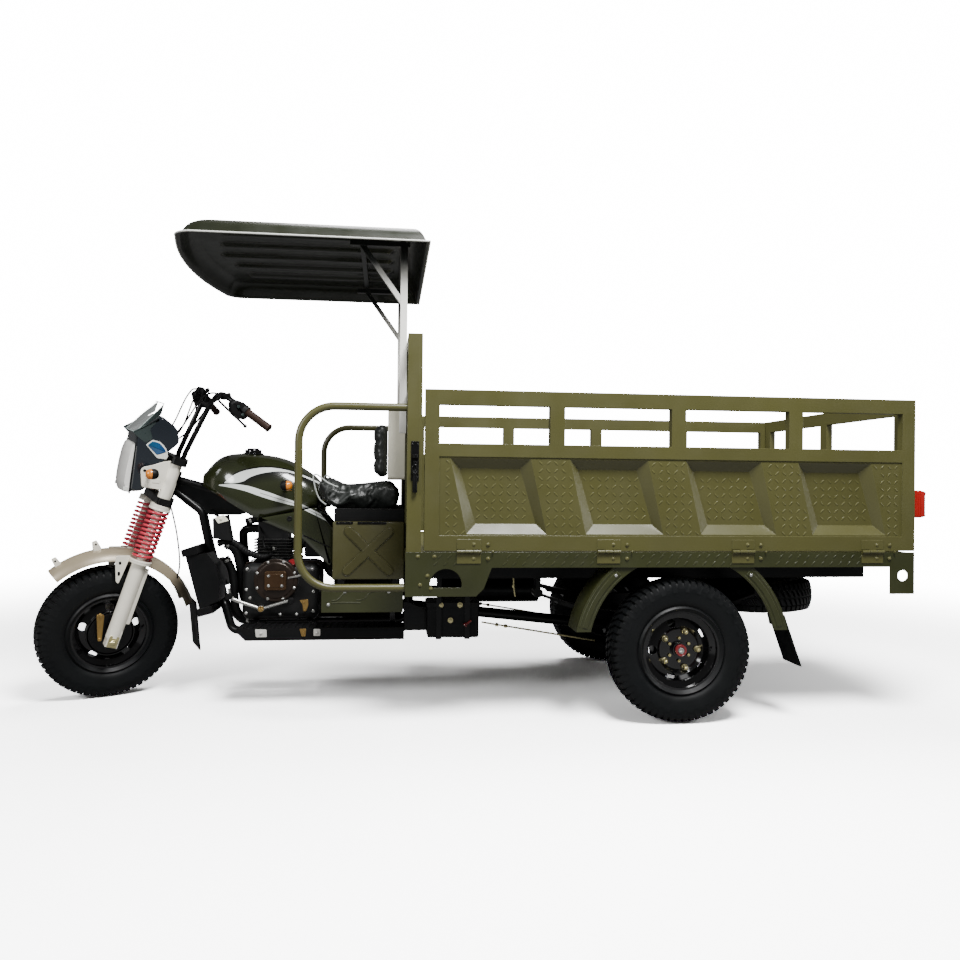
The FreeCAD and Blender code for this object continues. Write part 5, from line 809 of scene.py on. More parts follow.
def plateLevel(along, high, presses, plate):
    # 'face' between the pressings, 'floor' inside them, None on a bevel or too near an edge
    slant = plate.get("slant", 0) / (plate["pressHigh"] - plate["pressLow"])
    lean = slant * (plate["pressHigh"] - high)
    bevel, margin = plate["bevel"], chequer["margin"]
    for start in presses:
        left, right = start + lean, start + lean + plate["wide"]
        if inSpan(along, left + bevel, right - bevel) and inSpan(high, plate["pressLow"] + bevel,
                                                                  plate["pressHigh"] - bevel):
            return "floor"
        if left - margin < along < right + margin:
            return None
    return "face" if inSpan(along, plate["front"], plate["back"]) and inSpan(high, plate["low"],
                                                                               plate["high"]) else None


def addChequer(name, body, plate, presses, toWorld):
    shape = [], []
    pitch = chequer["pitch"]
    rows = int((plate["high"] - plate["low"]) / pitch) + 2
    columns = int((plate["back"] - plate["front"]) / pitch) + 2
    for row in range(rows):
        for column in range(columns):
            along = plate["front"] + 0.004 + column * pitch
            high = plate["low"] + 0.012 + row * pitch
            level = plateLevel(along, high, presses, plate)
            if level:
                lean = math.radians(45 if (row + column) % 2 else -45)
                chequerBar(shape, toWorld(along, high, plate[level]), lean)
    piece(name, shape, "oliveWorn", body, 40)


def addGatePlates():
    presses = [gatePlate["first"] + gatePlate["pitch"] * index for index in range(gatePlate["presses"])]
    for name, side in (("left", -1), ("right", 1)):
        addChequer(name + "_gate_chequer", name + "_gate", gatePlate, presses,
                   lambda along, high, out: flank(along + bedFront, out, high, side))
    addChequer("tailgate_chequer", "tailgate", tailPlate, tailPlate["starts"],
               lambda along, high, out: placed((out, along, high), (1, 0, 0)))


# hinges: two bolts on each leaf, and the pin's rolled ends

hinge = {"starts": (0.172, 0.720, 1.268, 1.816), "wide": 0.092, "face": 0.653, "movingHigh": 0.7147,
         "fixedHigh": 0.6602, "pin": (0.658, 0.6875), "pinRadius": 0.0052, "boltRadius": 0.0052,
         "boltHigh": 0.0031, "boltShares": (0.2, 0.8), "tailShares": (-0.6, -0.2, 0.2, 0.6),
         "tailFace": 1.758}


def addHinges():
    for name, side in (("left", -1), ("right", 1)):
        moving, fixed = shapes(2)
        for start in hinge["starts"]:
            for share in hinge["boltShares"]:
                x = start + bedFront + share * hinge["wide"]
                bolt(moving, (x, side * hinge["face"], hinge["movingHigh"]), (0, side, 0),
                     hinge["boltRadius"], hinge["boltHigh"], x * 9)
                bolt(fixed, (x, side * hinge["face"], hinge["fixedHigh"]), (0, side, 0), hinge["boltRadius"],
                     hinge["boltHigh"], x * 7)
            for end, way in ((start + bedFront, -1), (start + bedFront + hinge["wide"], 1)):
                lathe(fixed, placed((end, side * hinge["pin"][0], hinge["pin"][1]), (way, 0, 0)),
                      [(hinge["pinRadius"], -0.002), (hinge["pinRadius"], 0.0015),
                       (hinge["pinRadius"] * 0.7, 0.003)], 14)
        piece(name + "_gate_hinge_bolts", moving, "oliveWorn", name + "_gate")
        piece(name + "_skirt_hinge_bolts", fixed, "oliveWorn", "vehicle")


# wheels: nuts, hub bolts and caps, drawn about the wheel's own centre with the outside at -Y

wheelTrim = {"nutRing": 0.075, "nutPlace": -0.0325, "nuts": 5,
             "hubRing": 0.0455, "hubBolts": 6, "hubPlace": -0.0255, "hubRadius": 0.0042,
             "capPlace": -0.049, "capRadius": 0.023, "valveRing": 0.128}


def addWheelTrim():
    for name in ("rear_left_tyre", "rear_right_tyre"):
        turn = wheelTurn(name, outward=True)
        nuts, cap, jewel = shapes(3)
        for index in range(wheelTrim["nuts"]):
            angle = 2 * math.pi * index / wheelTrim["nuts"]
            place = (wheelTrim["nutRing"] * math.cos(angle), wheelTrim["nutPlace"] + 0.002,
                     wheelTrim["nutRing"] * math.sin(angle))
            where = placed(place, (0, -1, 0), angle)
            lathe(nuts, where, [(0.0128, -0.012), (0.0128, -0.001), (0.0112, 0.001)], 18)
            lathe(nuts, where, [(0.0098, -0.001), (0.0098, 0.0085), (0.0084, 0.0105)], 6)
            lathe(nuts, where, [(0.0058, 0.009), (0.0056, 0.0155), (0.0042, 0.017)], 12)
        for index in range(wheelTrim["hubBolts"]):
            angle = 2 * math.pi * (index + 0.5) / wheelTrim["hubBolts"]
            place = (wheelTrim["hubRing"] * math.cos(angle), wheelTrim["hubPlace"],
                     wheelTrim["hubRing"] * math.sin(angle))
            bolt(nuts, place, (0, -1, 0), wheelTrim["hubRadius"], 0.005, angle)
        where = placed((0, wheelTrim["capPlace"], 0), (0, -1, 0))
        radius = wheelTrim["capRadius"]
        lathe(cap, where, [(radius, -0.011), (radius, -0.001), (radius * 0.93, 0.0012),
                           (radius * 0.9, 0.0006), (radius * 0.62, 0.0008), (radius * 0.58, 0.0)], 36)
        lathe(jewel, where, [(radius * 0.5, -0.001), (radius * 0.5, 0.0012), (radius * 0.42, 0.0022),
                             (radius * 0.2, 0.0026)], 28)
        for angle in (math.pi / 2, math.pi * 7 / 6, math.pi * 11 / 6):
            spot = (radius * 0.31 * math.cos(angle), wheelTrim["capPlace"] - 0.0012,
                    radius * 0.31 * math.sin(angle))
            slab(jewel, placed(spot, (0, -1, 0), angle), rectangle(0.009, 0.0024, 0.001, 2), 0.002, 0.0004)
        stem = name.replace("_tyre", "")
        for word, shape, finish, slot in (("nuts", nuts, "zinc", "steel"),
                                          ("cap", cap, "capRed", "red_spring"),
                                          ("jewel", jewel, "steel", "steel")):
            piece(stem + "_" + word, ([turn @ point for point in shape[0]], shape[1]), finish,
                  wheels[name][0])


def addValves():
    # a rubber valve stem through each rim
    for name in wheels:
        shape = [], []
        turn = wheelTurn(name, outward=True)
        start = Vector((wheelTrim["valveRing"], -0.024, 0))
        lean = Vector((-0.35, -0.94, 0)).normalized()
        where = placed(start, lean)
        lathe(shape, where, [(0.0052, -0.006), (0.0056, 0.002), (0.0036, 0.006), (0.0036, 0.020),
                             (0.0042, 0.0205), (0.0042, 0.028), (0.003, 0.030)], 14)
        piece(name.replace("_tyre", "_valve"), ([turn @ point for point in shape[0]], shape[1]), "rubber",
              wheels[name][0])


# fork springs: a smooth coil on each leg, between cream seats

coil = {"forward": 0.037, "half": 0.109, "low": 0.3495, "high": 0.5765, "turns": 11.0, "radius": 0.0385,
        "wire": 0.0060, "steps": 26, "sides": 10, "seatRadius": 0.0432}


def addSprings():
    wire, seats = shapes(2)
    for side in (-1, 1):
        base = Vector((-coil["forward"], side * coil["half"], 0))
        count = int(coil["turns"] * coil["steps"])
        low, high = coil["low"] + coil["wire"], coil["high"] - coil["wire"]
        path = []
        for step in range(count + 1):
            share, angle = step / count, 2 * math.pi * step / coil["steps"]
            # the turns lie closer together in the middle than at the ends
            climb = share + 0.012 * math.sin(2 * math.pi * share)
            spot = Vector((coil["radius"] * math.cos(angle), coil["radius"] * math.sin(angle),
                           low + (high - low) * climb))
            path.append(forkTurn @ (base + spot))
        sweep(wire, path, coil["wire"], coil["sides"])
        for place, way in ((coil["low"] - 0.004, 1), (coil["high"] + 0.004, -1)):
            where = forkTurn @ placed(base + Vector((0, 0, place)), (0, 0, way))
            radius = coil["seatRadius"]
            lathe(seats, where, [(radius * 0.96, -0.004), (radius + 0.002, -0.002), (radius + 0.002, 0.0035),
                                 (radius * 0.98, 0.005), (radius * 0.6, 0.0055)], 40)
    made = piece("fork_coils", wire, "redPaint", "steering", 60)
    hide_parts("fork_springs")
    piece("spring_seats", seats, "champagne", "steering")


# canopy: one sheet drawn from the lip up the wall and over the roof, with channels pressed along it

canopy = {
    "back": -0.241, "front": -1.257, "half": 0.552, "rim": 1.893, "top": 1.9655, "inset": 0.062,
    "corner": 0.080, "bow": 0.058, "lip": 0.0135, "skin": 0.004, "ridges": (-0.68, -0.34, 0.0, 0.34, 0.68),
    "ridgeDeep": 0.0145, "ridgeHalf": 0.025, "ridgeSoft": 0.011, "sideSteps": 44, "endSteps": 96,
    "cornerSteps": 12, "roofRows": 46, "ridgeFade": 0.025, "ridgeBow": 0.03, "spine": (0.42, 0.40),
    "crown": 0.0012,
    # the wall above its rolled lip: how far in, at each share of its height
    "wall": ((0.0052, 0.20), (0.0118, 0.42), (0.0200, 0.63), (0.0300, 0.80), (0.0420, 0.92), (0.0530, 0.98)),
}


def arcPoints(start, middle, end, count):
    # count points of the arc through three places, the last left out
    ax, ay, bx, by, cx, cy = *start, *middle, *end
    d = 2 * (ax * (by - cy) + bx * (cy - ay) + cx * (ay - by))
    a, b, c = ax * ax + ay * ay, bx * bx + by * by, cx * cx + cy * cy
    ux = (a * (by - cy) + b * (cy - ay) + c * (ay - by)) / d
    uy = (a * (cx - bx) + b * (ax - cx) + c * (bx - ax)) / d
    radius = math.hypot(ax - ux, ay - uy)
    first, last = math.atan2(ay - uy, ax - ux), math.atan2(cy - uy, cx - ux)
    turn = (last - first + math.pi) % (2 * math.pi) - math.pi
    return [Vector((ux + radius * math.cos(first + turn * step / count),
                    uy + radius * math.sin(first + turn * step / count))) for step in range(count)]


def linePoints(start, end, count):
    return [Vector(start).lerp(Vector(end), step / count) for step in range(count)]


def canopyLoop(draw):
    # plan of the tray drawn in by so much: straight rear and sides, round front corners, bowed front
    back, front = canopy["back"] - draw, canopy["front"] + draw
    half, corner, bow = canopy["half"] - draw, canopy["corner"], canopy["bow"]
    turn, bend = front + bow + corner, corner * math.sqrt(0.5)
    loop = linePoints((back, half), (back, -half), canopy["endSteps"])
    loop += linePoints((back, -half), (turn, -half), canopy["sideSteps"])
    loop += arcPoints((turn, -half), (turn - bend, -half + corner - bend), (front + bow, -half + corner),
                      canopy["cornerSteps"])
    loop += arcPoints((front + bow, -half + corner), (front, 0), (front + bow, half - corner),
                      canopy["endSteps"])
    loop += arcPoints((front + bow, half - corner), (turn - bend, half - corner + bend), (turn, half),
                      canopy["cornerSteps"])
    return loop + linePoints((turn, half), (back, half), canopy["sideSteps"])


def ease(value):
    value = min(1.0, max(0.0, value))
    return value * value * (3 - 2 * value)


def roofSink(x, y):
    # depth of the channels pressed into the roof
    inner, sink = canopy["half"] - canopy["inset"], 0.0
    for share in canopy["ridges"]:
        start = (canopy["front"] + canopy["inset"] + canopy["bow"] * (1 + abs(share))
                 + canopy["ridgeBow"] * abs(share))
        end = canopy["back"] - 2 * canopy["inset"]
        soft = canopy["ridgeSoft"]
        across = (canopy["ridgeHalf"] + soft - abs(y - share * inner)) / (2 * soft)
        along = min(x - start, end - x) / canopy["ridgeFade"]
        sink = max(sink, ease(across) * ease(along))
    return sink * canopy["ridgeDeep"]


def addCanopy():
    rim, top = canopy["rim"], canopy["top"]
    rise = top - rim - canopy["skin"]
    wall = [(-canopy["lip"], 0.0008), (-canopy["lip"] * 0.9, 0.0020), (-canopy["lip"] * 0.45, 0.0022),
            (-0.0010, 0.0026), (0.0012, 0.0060)]
    wall += [(draw, share * rise) for draw, share in canopy["wall"]] + [(canopy["inset"], rise)]
    rows = [[Vector((spot.x, spot.y, rim + high)) for spot in canopyLoop(draw)] for draw, high in wall]
    edge, (ahead, behind) = canopyLoop(canopy["inset"]), canopy["spine"]
    for row in range(1, canopy["roofRows"] + 1):
        share = row / canopy["roofRows"]
        spots = []
        for spot in edge:
            middle = min(max(spot.x, canopy["front"] + ahead), canopy["back"] - behind)
            x, y = spot.x + (middle - spot.x) * share, spot.y * (1 - share)
            crown = canopy["crown"] * math.sin(math.pi * min(1, share) / 2)
            spots.append(Vector((x, y, rim + rise + crown - roofSink(x, y))))
        rows.append(spots)
    shape = [], []
    addRows(shape, rows, capped=False)
    made = piece("canopy_sheet", shape, "canopyShell", "vehicle", 50)
    thicken = made.modifiers.new("skin", "SOLIDIFY")
    thicken.thickness, thicken.offset = canopy["skin"] * 0.72, 1.0
    weld = made.modifiers.new("weld", "WELD")
    weld.merge_threshold = 0.0002
    made.modifiers.move(1, 0)
    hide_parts("canopy_shell")
    trim = [], []
    loop = [Vector((spot.x, spot.y, rim + 0.0012)) for spot in canopyLoop(-canopy["lip"] + 0.001)]
    sweep(trim, loop + loop[:1], 0.0034, 8, closed=True)
    piece("canopy_edge_trim", trim, "trimWhite", "vehicle", 60)


# cushions: a smaller closed form, swollen by cloth, then seams, wrinkles and piping

def evaluatedMesh(made):
    graph = bpy.context.evaluated_depsgraph_get()
    return bpy.data.meshes.new_from_object(made.evaluated_get(graph), depsgraph=graph)


def remeshed(name, points, faces, voxel):
    mesh = bpy.data.meshes.new(name)
    mesh.from_pydata([tuple(point) for point in points], [], faces)
    form = bmesh.new()
    form.from_mesh(mesh)
    bmesh.ops.recalc_face_normals(form, faces=form.faces)
    form.to_mesh(mesh)
    form.free()
    made = bpy.data.objects.new(name, mesh)
    bpy.context.scene.collection.objects.link(made)
    voxels = made.modifiers.new("voxels", "REMESH")
    voxels.mode, voxels.voxel_size = "VOXEL", voxel
    bpy.context.view_layer.update()
    made.data = evaluatedMesh(made)
    made.modifiers.clear()
    return made


cover = {"frames": 20, "pressure": 4.0, "tension": 9, "bending": 0.4, "quality": 5, "seatedBand": 0.004,
         "voxel": 0.006, "quickVoxel": 0.010}


def swell(made, travel, keepLow):
    # cloth under pressure, no point moving further than travel or under keepLow
    start = [vertex.co.copy() for vertex in made.data.vertices]
    settings = made.modifiers.new("cloth", "CLOTH").settings
    settings.use_pressure, settings.uniform_pressure_force = True, cover["pressure"]
    settings.tension_stiffness, settings.bending_stiffness = cover["tension"], cover["bending"]
    settings.effector_weights.gravity = 0
    settings.quality = cover["quality"]
    scene = bpy.context.scene
    for frame in range(cover["frames"]):
        scene.frame_set(frame + 1)
    grown = evaluatedMesh(made)
    made.modifiers.clear()
    for vertex, old, new in zip(made.data.vertices, start, grown.vertices):
        move = new.co - old
        if move.length > travel:
            move *= travel / move.length
        place = old + move
        if old.z < keepLow + cover["seatedBand"] or place.z < keepLow:
            place.z = max(min(place.z, old.z), keepLow)
        vertex.co = place
    scene.frame_set(1)


def cushion(name, shape, travel, keepLow):
    # remeshed into voxels, then swollen by cloth
    made = remeshed(name, *shape, cover["voxel"])
    swell(made, travel, keepLow)
    return made


def wrinkle(made, strength, stretch, scale, weight):
    # folds of clear wrap, drawn out along one way; weight says how much at each place
    mesh = made.data
    normals = [vertex.normal.copy() for vertex in mesh.vertices]
    for vertex, normal in zip(mesh.vertices, normals):
        spot = Vector((vertex.co.x * stretch[0], vertex.co.y * stretch[1], vertex.co.z * stretch[2]))
        fold = noise.noise(spot * scale) + 0.5 * noise.noise(spot * scale * 2.3 + Vector((7, 3, 1)))
        ridge = (1 - abs(fold)) ** 3
        vertex.co += normal * (strength * (ridge - 0.45) * weight(vertex.co))


seat = {
    "back": -0.315, "long": 0.289, "base": 0.8383, "tall": 0.143, "half": 0.300, "draw": 0.010,
    "travel": 0.024,
    # side view in shares of its length and height, from the rear's foot
    "outline": [(-0.98, 0.0), (-0.5, 0.0), (0, 0), (0, 0.36), (0, 0.72), (-0.29, 0.72), (-0.67, 0.62),
                (-0.93, 0.59), (-1.11, 0.74), (-1.26, 1.0), (-1.31, 0.93), (-1.27, 0.55), (-1.21, 0.24),
                (-1.06, 0.03)],
    "wrinkle": 0.0042, "channels": (-0.52, 0.52), "channelDeep": 0.005, "channelWide": 0.012,
    "channelFrom": 0.30,
}
backPad = {
    "front": -0.440, "back": -0.385, "half": 0.235, "low": 0.960, "top": 1.212, "draw": 0.008,
    "travel": 0.013, "wrinkle": 0.0034, "channels": (-0.34, 0.34), "channelDeep": 0.006, "channelWide": 0.010,
    "corner": 0.045,
}


def seatOutline(draw):
    outline = [(seat["back"] + x * seat["long"], seat["base"] + z * seat["tall"]) for x, z in seat["outline"]]
    return inset(rounded(outline, 0.020, 3), draw)


def rowAcross(outline, across, grow, forward=0.0, turn=None):
    # the side outline at y = across, grown about its own middle and moved in x
    middle = sum((Vector(point) for point in outline), Vector((0, 0))) / len(outline)
    row = [Vector((middle.x + (point[0] - middle.x) * grow + forward, across,
                   middle.y + (point[1] - middle.y) * grow)) for point in outline]
    return [turn @ point for point in row] if turn else row


def softLoft(outline, half, tuck, steps=16):
    # the side outline carried across, its ends drawn in and rounded
    shares = [-1 + 2 * step / steps for step in range(steps + 1)]
    return [rowAcross(outline, half * share, 1 - tuck * abs(share) ** 5) for share in shares]


def addSeat():
    outline = seatOutline(seat["draw"])
    shape = [], []
    addRows(shape, softLoft(outline, seat["half"] - seat["draw"] - 0.004, 0.10))
    made = cushion("seat_saddle", shape, seat["travel"], seat["base"] + 0.0004)
    top = seat["base"] + seat["channelFrom"] * seat["tall"]

    def weight(spot):
        return ease((spot.z - seat["base"] - 0.012) / 0.03)
    # two sewn channels run back over the seat
    for vertex in made.data.vertices:
        spot = vertex.co
        for share in seat["channels"]:
            near = math.exp(-((spot.y - share * seat["half"]) / seat["channelWide"]) ** 2)
            spot.z -= seat["channelDeep"] * near * ease((spot.z - top) / 0.02)
    wrinkle(made, seat["wrinkle"], (1.0, 0.32, 0.42), 38, weight)
    finishSoft(made, "seat_cushion")
    piping = [], []
    route = [(point[0], point[1]) for point in seatOutline(-0.001)]
    route = [point for point in route if point[1] > seat["base"] + 0.012]
    for side in (-1, 1):
        line = [(x, side * (seat["half"] + 0.0005), z) for x, z in route[2:]
                if x < seat["back"] - 0.93 * seat["long"] or z < seat["base"] + 0.03]
        if len(line) > 3:
            sweep(piping, smoothRoute(line, 6), 0.0030, 8)
    piece("seat_piping", piping, "piping", "vehicle", 60)


def finishSoft(made, node):
    made.data.materials.clear()
    made.data.materials.append(finishes["leather"])
    smooth = made.modifiers.new("smooth", "SUBSURF")
    smooth.levels = smooth.render_levels = 1
    made.data.shade_smooth()
    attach(made, "vehicle")
    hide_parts(node)


def addBackPad():
    draw = backPad["draw"]
    middle = (backPad["low"] + backPad["top"]) / 2
    tall, wide = backPad["top"] - backPad["low"] - 2 * draw, 2 * (backPad["half"] - draw)
    outline = rectangle(wide, tall, backPad["corner"], 6)
    where = Matrix(((0, 0, 1, backPad["front"] + draw), (1, 0, 0, 0), (0, 1, 0, middle), (0, 0, 0, 1)))
    shape = [], []
    slab(shape, where, outline, backPad["back"] - backPad["front"] - draw - 0.002, 0.012)
    made = cushion("back_pad", shape, backPad["travel"], 0.0)
    for vertex in made.data.vertices:
        spot = vertex.co
        spot.x = min(spot.x, backPad["back"] - 0.0006)
        for share in backPad["channels"]:
            near = math.exp(-((spot.z - middle - share * tall / 2) / backPad["channelWide"]) ** 2)
            spot.x += backPad["channelDeep"] * near * ease((backPad["back"] - 0.02 - spot.x) / 0.015)
    wrinkle(made, backPad["wrinkle"], (0.6, 0.5, 1.0), 34,
            lambda spot: ease((backPad["back"] - 0.012 - spot.x) / 0.015))
    finishSoft(made, "back_cushion")


# tank and side covers

def along(table, place):
    # a smooth value between the rows of a table of (place, value)
    if place <= table[0][0]:
        return table[0][1]
    for index in range(len(table) - 1):
        if place <= table[index + 1][0]:
            (x0, y0), (x1, y1) = table[index], table[index + 1]
            before = table[index - 1] if index else table[index]
            after = table[index + 2] if index + 2 < len(table) else table[index + 1]
            share, step = (place - x0) / (x1 - x0), x1 - x0
            rise0 = (y1 - before[1]) / (x1 - before[0]) * step
            rise1 = (after[1] - y0) / (after[0] - x0) * step
            square, cube = share * share, share ** 3
            return ((2 * cube - 3 * square + 1) * y0 + (cube - 2 * square + share) * rise0
                    + (3 * square - 2 * cube) * y1 + (cube - square) * rise1)
    return table[-1][1]


tank = {
    "start": -1.186, "end": -0.690, "rows": 60,
    "top": [(-1.186, 0.985), (-1.165, 1.012), (-1.130, 1.046), (-1.090, 1.064), (-1.040, 1.071),
            (-0.990, 1.0705), (-0.920, 1.065), (-0.859, 1.054), (-0.802, 1.033), (-0.752, 1.004),
            (-0.706, 0.972), (-0.690, 0.955)],
    "wing": [(-1.186, 0.922), (-1.136, 0.896), (-1.069, 0.858), (-1.001, 0.818), (-0.958, 0.793),
             (-0.925, 0.793), (-0.853, 0.807), (-0.785, 0.823), (-0.690, 0.842)],
    "half": [(-1.186, 0.060), (-1.150, 0.094), (-1.080, 0.132), (-1.000, 0.150), (-0.900, 0.156),
             (-0.800, 0.150), (-0.740, 0.140), (-0.690, 0.124)],
    "crease": [(-1.186, 0.012), (-1.100, 0.020), (-0.960, 0.026), (-0.900, 0.018), (-0.690, 0.014)],
    # shares of the half width: down from the top by shares of the height, and in under the wing in metres
    "crown": ((0.0, 0.0), (0.16, 0.006), (0.34, 0.028), (0.52, 0.075), (0.68, 0.150), (0.81, 0.255),
              (0.905, 0.385), (0.965, 0.520), (0.992, 0.640)),
    "belly": ((0.935, 0.0), (0.915, 0.001), (0.85, 0.012), (0.55, 0.030), (0.0, 0.040)),
    "cap": (-0.985, 0.0, 1.0705), "capRadius": 0.036,
    "coverOut": 0.1665, "coverThick": 0.013,
    "cover": [(-0.946, 0.7860), (-0.889, 0.7635), (-0.795, 0.723), (-0.742, 0.695), (-0.692, 0.645),
              (-0.628, 0.580), (-0.6175, 0.600), (-0.6175, 0.745), (-0.630, 0.7585), (-0.673, 0.812),
              (-0.688, 0.8375), (-0.782, 0.8165), (-0.863, 0.8015), (-0.925, 0.7895)],
    "ledge": [(-0.745, 0.7195), (-0.631, 0.6675), (-0.626, 0.6600), (-0.744, 0.7120)],
    "stud": (-0.803, 0.788),
}


def tankLoop(x):
    # one cross-section: crown, shoulder, flank, then the crease and the belly drawn in
    top, wing = along(tank["top"], x), along(tank["wing"], x)
    half, crease = along(tank["half"], x), along(tank["crease"], x)
    tall = top - wing
    side = [(share, top - drop * tall) for share, drop in tank["crown"]]
    side += [(1.0, wing + crease + 0.10 * tall), (0.995, wing + crease), (0.975, wing + 0.5 * crease)]
    side += [(share, wing + rise) for share, rise in tank["belly"]]
    left = [Vector((x, -share * half, high)) for share, high in side]
    right = [Vector((x, share * half, high)) for share, high in side[-2:0:-1]]
    return left + right


def addTank():
    shape, rows = ([], []), []
    for row in range(tank["rows"] + 1):
        share = row / tank["rows"]
        rows.append(tankLoop(tank["start"] + (tank["end"] - tank["start"]) * share))
    # both ends are drawn in so that they close round
    for index, shift in ((0, -1), (-1, 1)):
        base = rows[index]
        middle = sum(base, Vector()) / len(base)
        for grow, out in ((0.97, 0.003), (0.90, 0.006), (0.72, 0.008)):
            ring = [middle + (point - middle) * grow + Vector((shift * out, 0, 0)) for point in base]
            rows.insert(0, ring) if index == 0 else rows.append(ring)
    addRows(shape, rows)
    made = piece("tank_shell", shape, "tankPaint", "vehicle", 40)
    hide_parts("fuel_tank")
    cap = [], []
    where, radius = placed(tank["cap"], (0, 0, 1)), tank["capRadius"]
    lathe(cap, where, [(radius * 1.25, -0.006), (radius * 1.25, 0.001), (radius * 1.12, 0.004),
                       (radius, 0.005), (radius, 0.014), (radius * 0.94, 0.018), (radius * 0.5, 0.0195)], 48)
    slab(cap, where @ Matrix.Translation((0, 0, 0.018)), rectangle(0.05, 0.012, 0.005), 0.007, 0.0015)
    piece("filler_cap", cap, "glossBlack", "vehicle")


def addCovers():
    plates, lower, studs = shapes(3)
    out, thick = tank["coverOut"], tank["coverThick"]
    for side in (-1, 1):
        sidePlate(plates, rounded(tank["cover"], 0.008, 3), out - thick, thick - 0.002, side, None, 0.0022,
                  0.0025)
        sidePlate(lower, tank["ledge"], out - 0.0035, 0.0055, side, None, 0.0012)
        x, z = tank["stud"]
        lathe(studs, flank(x, out + 0.0015, z, side),
              [(0.0115, -0.004), (0.0115, 0.0008), (0.0098, 0.0022), (0.0062, 0.0024), (0.0058, 0.0006)], 24)
    made = piece("cover_panels", plates, "tankPaint", "vehicle", 30)
    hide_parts("side_covers")
    piece("cover_ledges", lower, "glossBlack", "vehicle", 30)
    piece("cover_studs", studs, "blackPlastic", "vehicle", 30)


# lamp unit, drawn straight ahead and then turned

lampUnit = {
    "front": -1.563, "low": 0.906, "long": 0.238, "tall": 0.337, "cowlHalf": 0.1115, "lensHalf": 0.0955,
    "lensBulge": 0.012, "flutes": 96, "fluteDeep": 0.016,
    # the screen's bow and drop towards its sides, how much it narrows upwards, its thickness and its columns
    "screenHalf": 0.090, "screenBow": 0.020, "screenDrop": 0.006, "screenTaper": 0.030, "screenSkin": 0.0026,
    "screenSteps": 24,
    "cowl": [(0.135, 0.030), (0.349, 0.036), (0.601, 0.234), (0.760, 0.520), (1, 0.665), (0.954, 0.843),
             (0.693, 1), (0.256, 0.780), (0.240, 0.659)],
    "lens": [(0.118, 0.018), (0.232, 0.655), (0.160, 0.635), (0.100, 0.53), (0.050, 0.377), (0.018, 0.25),
             (0, 0.148), (0.017, 0.036)],
    "screen": [(0.160, 0.812), (0.232, 0.865), (0.420, 1.000), (0.560, 1.090), (0.665, 1.165)],
    "screenFoot": [(0.242, 0.700), (0.262, 0.790), (0.400, 0.865), (0.560, 0.945), (0.700, 1.010)],
    "sideLens": [(-1.462, 1.119), (-1.441, 1.136), (-1.414, 1.128), (-1.396, 1.107), (-1.386, 1.089),
                 (-1.424, 1.077), (-1.446, 1.101)],
    "sideRim": [(-1.468, 1.121), (-1.441, 1.141), (-1.411, 1.133), (-1.391, 1.111), (-1.380, 1.089),
                (-1.379, 1.068), (-1.386, 1.057), (-1.423, 1.063), (-1.452, 1.100)],
    "mark": [(-1.556, 0.925), (-1.538, 0.925), (-1.536, 0.941), (-1.554, 0.941)],
    "band": [(-1.520, 1.176), (-1.508, 1.160), (-1.468, 1.127), (-1.440, 1.148), (-1.452, 1.186),
             (-1.410, 1.232), (-1.462, 1.206)],
}


def lampPlace(share):
    return Vector((lampUnit["front"] + share[0] * lampUnit["long"],
                   lampUnit["low"] + share[1] * lampUnit["tall"]))


def crossLoft(shape, outline, half, tuck, bulge=0.0, rows=16, power=6):
    # the side outline carried across with its ends drawn in; bulge holds the middle forward
    shares = [math.sin((-1 + 2 * step / rows) * math.pi / 2) for step in range(rows + 1)]
    addRows(shape, [rowAcross(outline, half * share, 1 - tuck * abs(share) ** power, bulge * share * share,
                              steerTurn) for share in shares])


